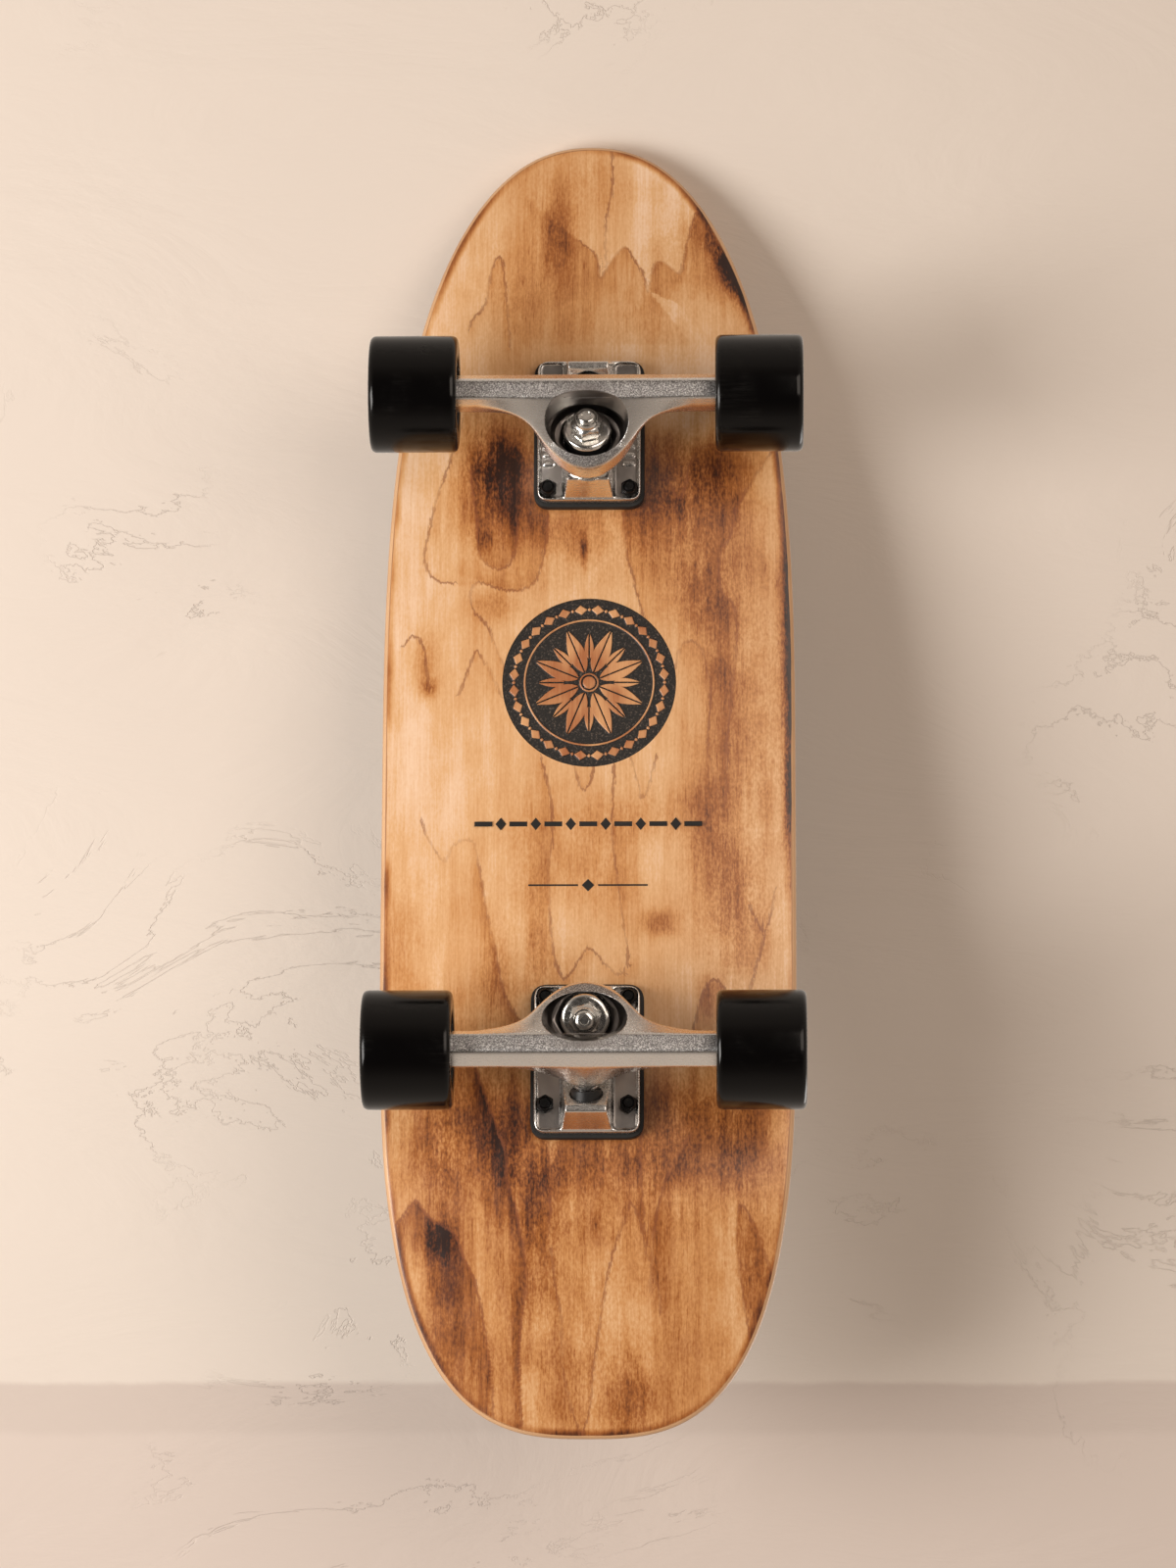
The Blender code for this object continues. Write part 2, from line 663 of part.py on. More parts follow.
def spine_profile():
    """Returns the side view of the baseplate's raised middle, as (x, z), from its pivot end."""
    inside = -RIM_DROP + SPINE_SINK
    seat = RING_CENTRE + KINGPIN_UP * SEAT_STATION
    seat_radius = SEAT_DIAMETER / 2.0 - SEAT_EDGE_INSET
    seat_outer = seat - KINGPIN_ACROSS * seat_radius
    seat_inner = seat + KINGPIN_ACROSS * seat_radius
    valley = -RIM_DROP - SPINE_VALLEY_DROP
    lip = Vector((PLATE_OUTER_END + PIVOT_BOSS_BACK_RUN + PIVOT_BOSS_LIP, 0.0, -PIVOT_BOSS_DROP))
    mouth_run = PIVOT_BOSS_DROP - RIM_DROP
    mouth_end = lip.x + mouth_run / math.tan(PIVOT_MOUTH_ANGLE)
    return [
        (PLATE_OUTER_END + SPINE_END_INSET, inside),
        (PLATE_OUTER_END + SPINE_END_INSET, -RIM_DROP),
        (PLATE_OUTER_END + PIVOT_BOSS_BACK_RUN, -PIVOT_BOSS_DROP),
        (lip.x, lip.z),
        (mouth_end, valley),
        (seat_outer.x - SEAT_BACK_RUN, valley),
        (seat_outer.x, seat_outer.z),
        (seat_inner.x, seat_inner.z),
        (PLATE_INNER_END - SPINE_END_INSET, -RIM_DROP),
        (PLATE_INNER_END - SPINE_END_INSET, inside),
    ]


def spine_mesh(name):
    """Makes the baseplate's raised middle, which draws in as it rises from the plate."""
    profile = spine_profile()
    lowest = min(height for _, height in profile)
    rings = []
    for side in (-1.0, 1.0):
        ring = []
        for x, height in profile:
            share = max(-height - RIM_DROP, 0.0) / (-lowest - RIM_DROP)
            width = SPINE_WIDTH_AT_PLATE + (SPINE_WIDTH_AT_SEAT - SPINE_WIDTH_AT_PLATE) * share
            ring.append((x, side * width / 2.0, height))
        rings.append(ring)
    return lofted_mesh(name, rings)


def build_baseplate(prefix, truck, holes, kingpin_axis, pivot_axis):
    """Builds the cast baseplate with its lands, its pivot boss and its kingpin boss."""
    name = prefix + "_baseplate"
    outline = rounded_rectangle(
        PLATE_OUTER_END,
        PLATE_INNER_END,
        BASEPLATE_WIDTH,
        BASEPLATE_CORNER_RADIUS,
    )
    plate = place(name, plate_mesh(name, outline, 0.0, -RIM_DROP), "cast_aluminium", truck)
    add_bevel(plate, BASEPLATE_EDGE_BEVEL, 1, 60.0)

    land_start = PLATE_OUTER_END + BASEPLATE_RIM_WIDTH
    land_end = PLATE_INNER_END - BASEPLATE_RIM_WIDTH
    land_outline = rounded_rectangle(land_start, land_end, LAND_WIDTH, LAND_CORNER_RADIUS, 2)
    land_centre = BASEPLATE_WIDTH / 2.0 - BASEPLATE_RIM_WIDTH - LAND_WIDTH / 2.0
    land_mesh = plate_mesh(name + "_land", land_outline, -BASEPLATE_LAND_THICKNESS, -2.0 * RIM_DROP)
    for side, sign in (("left", 1.0), ("right", -1.0)):
        land = place(f"{name}_land_{side}", land_mesh, None, truck, (0.0, sign * land_centre, 0.0))
        add_boolean(plate, land)

    spine = place(name + "_spine", spine_mesh(name + "_spine"), None, truck)
    add_bevel(spine, SPINE_EDGE_BEVEL, 1, 25.0)
    add_boolean(plate, spine, "UNION")

    pad_end = SEAT_STATION + SEAT_PAD_DEPTH
    pad_mesh = cylinder_mesh(name + "_seat", SEAT_DIAMETER / 2.0, SEAT_STATION, pad_end)
    pad = place(name + "_seat", pad_mesh, None, kingpin_axis)
    add_boolean(plate, pad, "UNION")

    cup_radius = pivot_cup_radius() + CLEARANCE
    cup_end = PIVOT_REACH + CLEARANCE + PIVOT_CUP_FLOOR + CLEARANCE
    bore_mesh = cylinder_mesh(name + "_pivot_bore", cup_radius, PIVOT_STEM_ROOT_STATION, cup_end)
    add_boolean(plate, place(name + "_pivot_bore", bore_mesh, None, pivot_axis))

    shank_radius = KINGPIN_DIAMETER / 2.0 + CLEARANCE
    floor_station = SEAT_STATION + BOSS_FLOOR_THICKNESS
    shank_mesh = cylinder_mesh(name + "_kingpin_bore", shank_radius, 0.0, floor_station + 2.0 * MM)
    add_boolean(plate, place(name + "_kingpin_bore", shank_mesh, None, kingpin_axis))
    head_radius = KINGPIN_HEAD_DIAMETER / 2.0 + 2.0 * CLEARANCE
    recess_end = floor_station + HEAD_RECESS_DEPTH
    recess_mesh = cylinder_mesh(name + "_head_recess", head_radius, floor_station, recess_end)
    add_boolean(plate, place(name + "_head_recess", recess_mesh, None, kingpin_axis))
    add_boolean(plate, holes)


def pivot_cup_radius():
    """Returns the outer radius of the pivot cup."""
    return PIVOT_STEM_DIAMETER / 2.0 + CLEARANCE + PIVOT_CUP_WALL


def build_pivot_cup(prefix, pivot_axis):
    """Builds the urethane cup that the hanger's pivot turns in."""
    outer = pivot_cup_radius()
    inner = PIVOT_STEM_DIAMETER / 2.0 + CLEARANCE
    floor = PIVOT_REACH + CLEARANCE
    mouth = PIVOT_REACH - PIVOT_CUP_DEPTH
    profile = [
        (0.0, floor + PIVOT_CUP_FLOOR),
        (outer, floor + PIVOT_CUP_FLOOR),
        (outer, mouth),
        (inner, mouth),
        (inner, floor),
        (0.0, floor),
    ]
    name = prefix + "_pivot_cup"
    place(name, turned_mesh(name, profile, ROUND_SIDES), "cup_urethane", pivot_axis)


def build_kingpin_stack(prefix, kingpin_axis):
    """Builds the kingpin with its washers, bushings and nut."""
    shank = KINGPIN_DIAMETER / 2.0
    head = KINGPIN_HEAD_DIAMETER / 2.0
    head_bottom = SEAT_STATION + BOSS_FLOOR_THICKNESS + CLEARANCE
    head_top = head_bottom + KINGPIN_HEAD_HEIGHT
    end = -KINGPIN_LENGTH_BELOW_RING
    profile = [
        (0.0, head_top),
        (head, head_top),
        (head, head_bottom),
        (shank, head_bottom),
        (shank, end + KINGPIN_END_CHAMFER),
        (shank - KINGPIN_END_CHAMFER, end),
        (0.0, end),
    ]
    name = prefix + "_kingpin"
    place(name, turned_mesh(name, profile, ROUND_SIDES), "chrome", kingpin_axis)

    bore = shank + CLEARANCE
    boardside = BOARDSIDE_WASHER_DIAMETER / 2.0
    washer_top = SEAT_STATION - CLEARANCE
    washer_bottom = washer_top - WASHER_THICKNESS
    build_washer(prefix + "_boardside_washer", kingpin_axis, boardside, bore, washer_top, washer_bottom)

    half_web = RING_WEB_THICKNESS / 2.0
    bushing_bottom = half_web + CLEARANCE
    bushing_top = washer_bottom - CLEARANCE
    radius = BUSHING_DIAMETER / 2.0
    middle = (bushing_top + bushing_bottom) / 2.0
    boardside_bushing = [
        (bore, bushing_top),
        (radius - BUSHING_SHOULDER, bushing_top),
        (radius, middle),
        (radius, bushing_bottom),
        (bore, bushing_bottom),
    ]
    name = prefix + "_boardside_bushing"
    mesh = turned_mesh(name, boardside_bushing, ROUND_SIDES, closed=True)
    place(name, mesh, "bushing_urethane", kingpin_axis)

    bushing_top = -half_web - CLEARANCE
    bushing_bottom = bushing_top - ROADSIDE_BUSHING_HEIGHT
    end_radius = ROADSIDE_BUSHING_END_DIAMETER / 2.0
    roadside_bushing = [
        (bore, bushing_top),
        (radius, bushing_top),
        (radius, bushing_top - ROADSIDE_BUSHING_BARREL),
        (end_radius, bushing_bottom),
        (bore, bushing_bottom),
    ]
    name = prefix + "_roadside_bushing"
    mesh = turned_mesh(name, roadside_bushing, ROUND_SIDES, closed=True)
    place(name, mesh, "bushing_urethane", kingpin_axis)

    roadside = ROADSIDE_WASHER_DIAMETER / 2.0
    washer_top = bushing_bottom - CLEARANCE
    washer_bottom = washer_top - WASHER_THICKNESS
    build_washer(prefix + "_roadside_washer", kingpin_axis, roadside, bore, washer_bottom, washer_top)

    nut = nut_mesh(
        prefix + "_kingpin_nut",
        KINGPIN_NUT_ACROSS_FLATS,
        KINGPIN_NUT_HEIGHT,
        KINGPIN_NUT_COLLAR_HEIGHT,
        KINGPIN_DIAMETER,
        "chrome",
        ROUND_SIDES,
    )
    seat = (0.0, 0.0, washer_bottom - CLEARANCE)
    place(prefix + "_kingpin_nut", nut, "chrome", kingpin_axis, seat, (math.pi, 0.0, 0.0))


def build_washer(name, kingpin_axis, radius, bore, seat_height, bushing_height):
    """Builds a cup washer, whose rounded rim faces away from the bushing that it holds."""
    away = 1.0 if seat_height > bushing_height else -1.0
    profile = [
        (bore, seat_height),
        (radius - WASHER_RIM_WIDTH, seat_height),
        (radius, seat_height - away * WASHER_RIM_DROP),
        (radius, bushing_height),
        (bore, bushing_height),
    ]
    if away < 0.0:
        profile.reverse()
    place(name, turned_mesh(name, profile, ROUND_SIDES, closed=True), "chrome", kingpin_axis)


def bar_section():
    """Returns the crossbar's section as (x, z) in the truck's frame."""
    return [(AXLE_CENTRE.x + inward, AXLE_CENTRE.z + up) for inward, up in CROSSBAR_SECTION]


def mix(start, end, share):
    """Returns the point at a share of the way between two (x, z) points."""
    return Vector(start).lerp(Vector(end), share)


def yoke_section(share, half_width):
    """Returns the hanger's section where the yoke has come back from its tip by a share of its reach."""
    outer, road_outer, road_inner, side, inner, back_inner, back_outer = bar_section()
    tip = RING_CENTRE + KINGPIN_ACROSS * RING_RADIUS - KINGPIN_UP * (RING_THICKNESS / 2.0)
    tip_point = mix(tip.xz, side, share)
    thickness = RING_THICKNESS + YOKE_ROOT_EXTRA_THICKNESS * share
    behind = tip_point + KINGPIN_UP.xz * thickness
    inner_point = mix(behind, inner, ease(share * share))
    ring_fade = 1.0 - ease((half_width - 0.6 * RING_RADIUS) / (GUSSET_HALF_WIDTH - 0.9 * RING_RADIUS))
    ring_back = KINGPIN_UP * (RING_THICKNESS / 2.0) - KINGPIN_ACROSS * (RING_RADIUS - RING_BACK_INSET)
    back = RING_CENTRE + ring_back
    back_point = mix(back_inner, back.xz, ring_fade)
    gusset = max(1.0 - half_width / GUSSET_HALF_WIDTH, 0.0) ** GUSSET_POWER
    across_stem = Vector((math.sin(PIVOT_ANGLE), 0.0, math.cos(PIVOT_ANGLE)))
    apex = RING_CENTRE + PIVOT_DIRECTION * GUSSET_REACH - across_stem * (PIVOT_STEM_DIAMETER / 2.0)
    pivot_point = mix(back_outer, apex.xz, gusset)
    return [outer, road_outer, road_inner, tip_point, inner_point, back_point, pivot_point]


def hanger_cage(name):
    """Makes the hanger's coarse cage: the crossbar, which swells into the yoke and the pivot's gusset."""
    bar = bar_section()
    bar_end = HANGER_WIDTH / 2.0 - AXLE_BOSS_LENGTH
    yoke_root = YOKE_HALF_WIDTH + FLARE_EXTRA_HALF_WIDTH + YOKE_ROOT_BLEND
    half = [(bar_end, bar), (yoke_root, bar)]
    for share in YOKE_SHARES:
        half_width = YOKE_HALF_WIDTH * math.sqrt(share) + FLARE_EXTRA_HALF_WIDTH * share**FLARE_POWER
        half.append((half_width, yoke_section(share, half_width)))
    stations = [(-across, section) for across, section in half]
    stations.append((0.0, yoke_section(0.0, 0.0)))
    stations += [(across, section) for across, section in reversed(half)]
    return lofted_mesh(name, [[(x, across, z) for x, z in section] for across, section in stations])


def crease_cage(mesh):
    """Keeps the facet edges that run along the hanger, and its two ends, crisp under subdivision."""
    columns = len(CROSSBAR_SECTION)
    shape = bmesh.new()
    shape.from_mesh(mesh)
    crease = shape.edges.layers.float.new("crease_edge")
    shape.verts.ensure_lookup_table()
    last = len(shape.verts) - columns
    for edge in shape.edges:
        first, second = sorted(vertex.index for vertex in edge.verts)
        along = first % columns == second % columns
        if along and first % columns in CROSSBAR_FLAT_COLUMNS:
            edge[crease] = EDGE_CREASE
        if (first < columns and second < columns) or first >= last:
            edge[crease] = 1.0
    shape.to_mesh(mesh)
    shape.free()


def pocket_mesh(name):
    """Makes the oval funnel on the hanger's road side, which leads down to the bushing's seat."""
    inner_wall = (RING_CENTRE + KINGPIN_ACROSS * (RING_RADIUS - POCKET_END_WALL)).x
    rings = []
    for from_axle, from_ring, width_share in POCKET_LEVELS:
        outer = AXLE_CENTRE.xz + Vector(from_axle)
        inner = Vector((inner_wall, RING_CENTRE.z)) + Vector(from_ring)
        ring = []
        for i in range(ROUND_SIDES):
            angle = i / ROUND_SIDES * FULL_TURN
            x, z = mix(outer, inner, (1.0 + math.cos(angle)) / 2.0)
            ring.append((x, POCKET_HALF_WIDTH * width_share * math.sin(angle), z))
        rings.append(ring)
    return lofted_mesh(name, rings)


def build_hanger(prefix, truck, kingpin_axis, pivot_axis):
    """Builds the cast hanger: crossbar, yoke with its funnel and bushing seats, and pivot."""
    name = prefix + "_hanger"
    cage = hanger_cage(name)
    crease_cage(cage)
    cage.transform(Matrix.Translation(-RING_CENTRE))
    hanger = place(name, cage, "cast_aluminium", truck, RING_CENTRE)
    subdivision = hanger.modifiers.new("cast_form", "SUBSURF")
    subdivision.levels = SUBDIVISION_LEVEL
    subdivision.render_levels = SUBDIVISION_LEVEL

    stem_radius = PIVOT_STEM_DIAMETER / 2.0
    mouth = PIVOT_REACH - PIVOT_CUP_DEPTH
    stem_profile = [
        (0.0, PIVOT_REACH),
        (stem_radius - PIVOT_STEM_TIP_CHAMFER, PIVOT_REACH),
        (stem_radius, PIVOT_REACH - PIVOT_STEM_TIP_CHAMFER),
        (stem_radius, mouth - PIVOT_STEM_SHOULDER_GAP),
        (PIVOT_STEM_ROOT_DIAMETER / 2.0, PIVOT_STEM_ROOT_STATION),
        (PIVOT_STEM_ROOT_DIAMETER / 2.0, RING_RADIUS - PIVOT_STEM_SINK),
        (0.0, RING_RADIUS - PIVOT_STEM_SINK),
    ]
    stem = place(name + "_stem", turned_mesh(name + "_stem", stem_profile, ROUND_SIDES), None, pivot_axis)
    add_boolean(hanger, stem, "UNION")

    ring_half = RING_THICKNESS / 2.0
    ring_mesh = cylinder_mesh(name + "_ring", RING_RADIUS, -ring_half, ring_half)
    add_boolean(hanger, place(name + "_ring", ring_mesh, None, kingpin_axis), "UNION")

    boss_end = HANGER_WIDTH / 2.0
    boss_mesh = cylinder_mesh(name + "_axle_boss", AXLE_BOSS_DIAMETER / 2.0, -boss_end, boss_end)
    quarter_turn = (math.pi / 2.0, 0.0, 0.0)
    boss = place(name + "_axle_boss", boss_mesh, None, truck, AXLE_CENTRE, quarter_turn)
    add_boolean(hanger, boss, "UNION")

    add_boolean(hanger, place(name + "_pocket", pocket_mesh(name + "_pocket"), None, truck))
    seat_radius = BUSHING_DIAMETER / 2.0 + 2.0 * CLEARANCE
    half_web = RING_WEB_THICKNESS / 2.0
    road_seat = cylinder_mesh(name + "_road_seat", seat_radius, -ROAD_SEAT_DEPTH, -half_web)
    add_boolean(hanger, place(name + "_road_seat", road_seat, None, kingpin_axis))
    board_seat = cylinder_mesh(name + "_board_seat", seat_radius, half_web, BOARD_SEAT_DEPTH)
    add_boolean(hanger, place(name + "_board_seat", board_seat, None, kingpin_axis))
    bore_radius = RING_BORE_DIAMETER / 2.0
    bore_mesh = cylinder_mesh(name + "_kingpin_bore", bore_radius, -RING_BORE_REACH, RING_BORE_REACH)
    add_boolean(hanger, place(name + "_kingpin_bore", bore_mesh, None, kingpin_axis))

    axle_radius = AXLE_DIAMETER / 2.0 + CLEARANCE
    axle_bore = cylinder_mesh(name + "_axle_bore", axle_radius, -AXLE_LENGTH, AXLE_LENGTH)
    add_boolean(hanger, place(name + "_axle_bore", axle_bore, None, truck, AXLE_CENTRE, quarter_turn))


def build_axle(prefix, truck):
    """Builds the steel axle that runs through the hanger."""
    half = AXLE_LENGTH / 2.0
    radius = AXLE_DIAMETER / 2.0
    profile = [
        (0.0, half),
        (radius - AXLE_CHAMFER, half),
        (radius, half - AXLE_CHAMFER),
        (radius, AXLE_CHAMFER - half),
        (radius - AXLE_CHAMFER, -half),
        (0.0, -half),
    ]
    mesh = turned_mesh(prefix + "_axle", profile, ROUND_SIDES)
    place(prefix + "_axle", mesh, "axle_steel", truck, AXLE_CENTRE, (math.pi / 2.0, 0.0, 0.0))


def wheel_profile():
    """Returns the wheel's section as (radius, distance along the axle), from its outer face inwards."""
    half = WHEEL_WIDTH / 2.0
    tread = WHEEL_DIAMETER / 2.0
    seat_end = BEARING_STACK_LENGTH / 2.0 + CLEARANCE
    seat = BEARING_OUTER_DIAMETER / 2.0 + CLEARANCE
    shoulder = BEARING_SPACER_LENGTH / 2.0 - CLEARANCE
    core = WHEEL_CORE_BORE_DIAMETER / 2.0
    mouth = WHEEL_RECESS_MOUTH_DIAMETER / 2.0
    floor = WHEEL_RECESS_FLOOR_DIAMETER / 2.0
    radius = WHEEL_EDGE_RADIUS
    upper = [(mouth, half)]
    for step in range(3):
        angle = step / 2 * math.pi / 2.0
        outward = radius * math.sin(angle)
        upper.append((tread - radius + outward, half - radius + radius * math.cos(angle)))
    lower = [(point, -height) for point, height in reversed(upper)]
    inside = [(floor, seat_end), (seat, seat_end), (seat, shoulder), (core, shoulder)]
    return upper + lower + [(point, -height) for point, height in inside] + list(reversed(inside))


def build_wheel(name, axis):
    """Builds a wheel with its bearings, and the stack and the nut that hold it on the axle.

    The axis points outwards from the middle of the wheel.
    """
    wheel = turned_mesh(name + "_wheel", wheel_profile(), WHEEL_SIDES, closed=True)
    place(name + "_wheel", wheel, "wheel_urethane", axis)

    outer = BEARING_OUTER_DIAMETER / 2.0
    shield = BEARING_INNER_RING_DIAMETER / 2.0 + CLEARANCE
    half = BEARING_WIDTH / 2.0
    bearing_profile = [
        (outer, half),
        (outer, -half),
        (shield, -half + BEARING_SHIELD_DEPTH),
        (shield, half - BEARING_SHIELD_DEPTH),
    ]
    bearing = turned_mesh(name + "_bearing", bearing_profile, SMALL_SIDES, closed=True)
    bearing_offset = (BEARING_SPACER_LENGTH + BEARING_WIDTH) / 2.0
    place(name + "_outboard_bearing", bearing, "bearing_steel", axis, (0.0, 0.0, bearing_offset))
    place(name + "_inboard_bearing", bearing, "bearing_steel", axis, (0.0, 0.0, -bearing_offset))

    bore = AXLE_DIAMETER / 2.0 + CLEARANCE
    ring = BEARING_INNER_RING_DIAMETER / 2.0
    tube = BEARING_SPACER_DIAMETER / 2.0
    spacer_half = BEARING_SPACER_LENGTH / 2.0
    stack_profile = [
        (bore, STACK_HALF_LENGTH),
        (ring, STACK_HALF_LENGTH),
        (ring, spacer_half),
        (tube, spacer_half),
        (tube, -spacer_half),
        (ring, -spacer_half),
        (ring, -STACK_HALF_LENGTH),
        (bore, -STACK_HALF_LENGTH),
    ]
    stack = turned_mesh(name + "_bearing_stack", stack_profile, SMALL_SIDES, closed=True)
    place(name + "_bearing_stack", stack, "bearing_steel", axis)

    nut_name = name + "_axle_nut"
    nut = plain_nut_mesh(nut_name, AXLE_NUT_ACROSS_FLATS, AXLE_NUT_HEIGHT, AXLE_DIAMETER, "chrome")
    place(nut_name, nut, "chrome", axis, (0.0, 0.0, AXLE_NUT_SEAT))


def build_truck(prefix, heading, root, bolt, lock_nut):
    """Builds a truck under an empty, with its fasteners, and returns the cutter of its bolt holes.

    The heading is 1 where the kingpin points to the nose, and -1 where it points to the tail.
    """
    middle_x = -heading * TRUCK_SPACING / 2.0
    turn = 0.0 if heading > 0.0 else math.pi
    truck = make_empty(prefix + "_truck", root, (middle_x, 0.0, -PLATE_DROP), (0.0, 0.0, turn))
    kingpin_axis = make_empty(prefix + "_kingpin_axis", truck, RING_CENTRE, (0.0, KINGPIN_TILT, 0.0))
    pivot_turn = (0.0, PIVOT_ANGLE - math.pi / 2.0, 0.0)
    pivot_axis = make_empty(prefix + "_pivot_axis", truck, RING_CENTRE, pivot_turn)

    head_height = GRIP_TOP + PLATE_DROP
    holes = bolt_hole_cutter(prefix + "_bolt_holes", truck, head_height)
    build_riser(prefix, truck, holes)
    build_baseplate(prefix, truck, holes, kingpin_axis, pivot_axis)
    build_pivot_cup(prefix, pivot_axis)
    build_kingpin_stack(prefix, kingpin_axis)
    build_hanger(prefix, truck, kingpin_axis, pivot_axis)
    build_axle(prefix, truck)

    nut_height = -BASEPLATE_LAND_THICKNESS - CLEARANCE
    nut_turn = (math.pi, 0.0, math.radians(30.0))
    for corner, x, y in bolt_places(heading):
        place(f"{prefix}_{corner}_bolt", bolt, "black_oxide", truck, (x, y, head_height))
        place(f"{prefix}_{corner}_lock_nut", lock_nut, "black_oxide", truck, (x, y, nut_height), nut_turn)

    for side, sign in (("left", 1.0), ("right", -1.0)):
        across = sign * heading * WHEEL_OFFSET
        outward = (-math.pi / 2.0 if across > 0.0 else math.pi / 2.0, 0.0, 0.0)
        centre = (AXLE_CENTRE.x, across, AXLE_CENTRE.z)
        axis = make_empty(f"{prefix}_{side}_wheel_axis", truck, centre, outward)
        build_wheel(f"{prefix}_{side}", axis)
    return holes


def build_board():
    """Builds the whole board on its wheels."""
    nose_tip = deck_point(NOSE_REACH, 0.0, TIP_EXTREME_HEIGHT)[0]
    tail_tip = deck_point(-TAIL_REACH, 0.0, TIP_EXTREME_HEIGHT)[0]
    root = make_empty("cruiser_skateboard", None, (-(nose_tip + tail_tip) / 2.0, 0.0, DECK_HEIGHT))
    deck, grip = build_deck(root)
    bolt = bolt_mesh()
    nut_sizes = (LOCK_NUT_ACROSS_FLATS, LOCK_NUT_HEIGHT, BOLT_DIAMETER)
    lock_nut = plain_nut_mesh("lock_nut", *nut_sizes, "black_oxide")
    for prefix, heading in (("rear", 1.0), ("front", -1.0)):
        holes = build_truck(prefix, heading, root, bolt, lock_nut)
        add_boolean(deck, holes)
        add_boolean(grip, holes)


clear_scene()
part_collection = make_collection("cruiser_skateboard")
cutter_collection = make_collection("cutters")
make_materials()
build_board()
bpy.context.view_layer.update()
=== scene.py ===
"""Cruiser skateboard, dressed for the camera: its seen surfaces, their finishes, the stage and the light.

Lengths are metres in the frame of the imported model: +X to the nose, +Y to the left, +Z up, and the wheels
stand on z = 0. A truck is worked out once in its own frame, whose origin is the middle of its bolts on the
top face of its baseplate, with +X inwards to the kingpin. The trucks' and wheels' own profiles are in
millimetres, and become metres where they are made into meshes.
"""

import logging
import math
from dataclasses import dataclass, field
from enum import Enum

import bmesh
import bpy
import numpy as np
from mathutils import Matrix, Vector


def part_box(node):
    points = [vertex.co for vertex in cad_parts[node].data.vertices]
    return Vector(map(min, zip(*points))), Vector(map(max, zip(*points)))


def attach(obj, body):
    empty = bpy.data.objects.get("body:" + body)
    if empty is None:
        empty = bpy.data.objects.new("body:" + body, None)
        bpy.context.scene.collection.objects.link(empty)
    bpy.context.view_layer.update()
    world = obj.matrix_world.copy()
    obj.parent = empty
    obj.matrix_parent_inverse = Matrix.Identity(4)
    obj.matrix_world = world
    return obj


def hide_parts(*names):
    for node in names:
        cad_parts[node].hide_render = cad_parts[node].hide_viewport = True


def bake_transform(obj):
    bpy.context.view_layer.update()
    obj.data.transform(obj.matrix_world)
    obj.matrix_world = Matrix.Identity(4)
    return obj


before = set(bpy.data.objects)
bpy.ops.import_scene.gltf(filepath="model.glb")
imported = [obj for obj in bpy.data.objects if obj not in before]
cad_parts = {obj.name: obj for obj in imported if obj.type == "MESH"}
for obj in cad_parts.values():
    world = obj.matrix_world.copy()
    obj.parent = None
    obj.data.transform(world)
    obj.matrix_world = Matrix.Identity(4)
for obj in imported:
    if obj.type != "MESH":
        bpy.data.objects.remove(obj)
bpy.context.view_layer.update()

MM = 0.001
FULL_TURN = 2.0 * math.pi
# The gap between two pieces, in millimetres
GAP = 0.3
BOARD = "board"
LOG = logging.getLogger("cruiser")

Colour = tuple[float, float, float]
Profile = list[tuple[float, float]]
Socket = bpy.types.NodeSocket


def seen(red: int, green: int, blue: int) -> Colour:
    """Turns a colour as it looks on a screen, 0 to 255, into the renderer's linear one.

    Args:
        red: The red share.
        green: The green share.
        blue: The blue share.

    Returns:
        The linear colour.
    """
    shares = np.array([red, green, blue]) / 255.0
    low = shares / 12.92
    high = ((shares + 0.055) / 1.055) ** 2.4
    return tuple(float(value) for value in np.where(shares <= 0.04045, low, high))


# Shapes


def ease(value: np.ndarray) -> np.ndarray:
    """Goes from 0 to 1 as 3v^2 - 2v^3, and stays at 0 before and at 1 after."""
    value = np.clip(value, 0.0, 1.0)
    return value * value * (3.0 - 2.0 * value)


def rounded(
    corners: np.ndarray | Profile, radius: float | np.ndarray, steps: int = 4, closed: bool = True
) -> np.ndarray:
    """Rounds the corners of outlines.

    A corner C becomes the curve (1-t)^2 A + 2t(1-t) C + t^2 B, with A and B on its edges at the radius.

    Args:
        corners: The outlines' corners, shaped (..., corners, 2).
        radius: One radius, or one for each corner.
        steps: How many pieces a rounded corner has.
        closed: Whether an outline's last corner joins its first.

    Returns:
        The rounded outlines, shaped (..., corners * (steps + 1), 2).
    """
    corners = np.asarray(corners, dtype=float)
    before = np.roll(corners, 1, axis=-2) - corners
    after = np.roll(corners, -1, axis=-2) - corners
    before_length = np.linalg.norm(before, axis=-1, keepdims=True)
    after_length = np.linalg.norm(after, axis=-1, keepdims=True)
    wanted = np.broadcast_to(np.asarray(radius, dtype=float), corners.shape[:-1])[..., None]
    reach = np.minimum(wanted, 0.49 * np.minimum(before_length, after_length))
    if not closed:
        reach[..., 0, :] = 0.0
        reach[..., -1, :] = 0.0
    start = (corners + before / before_length * reach)[..., None, :]
    end = (corners + after / after_length * reach)[..., None, :]
    t = np.linspace(0.0, 1.0, steps + 1)[:, None]
    curve = (1.0 - t) ** 2 * start + 2.0 * t * (1.0 - t) * corners[..., None, :] + t * t * end
    return curve.reshape(*corners.shape[:-2], -1, 2)


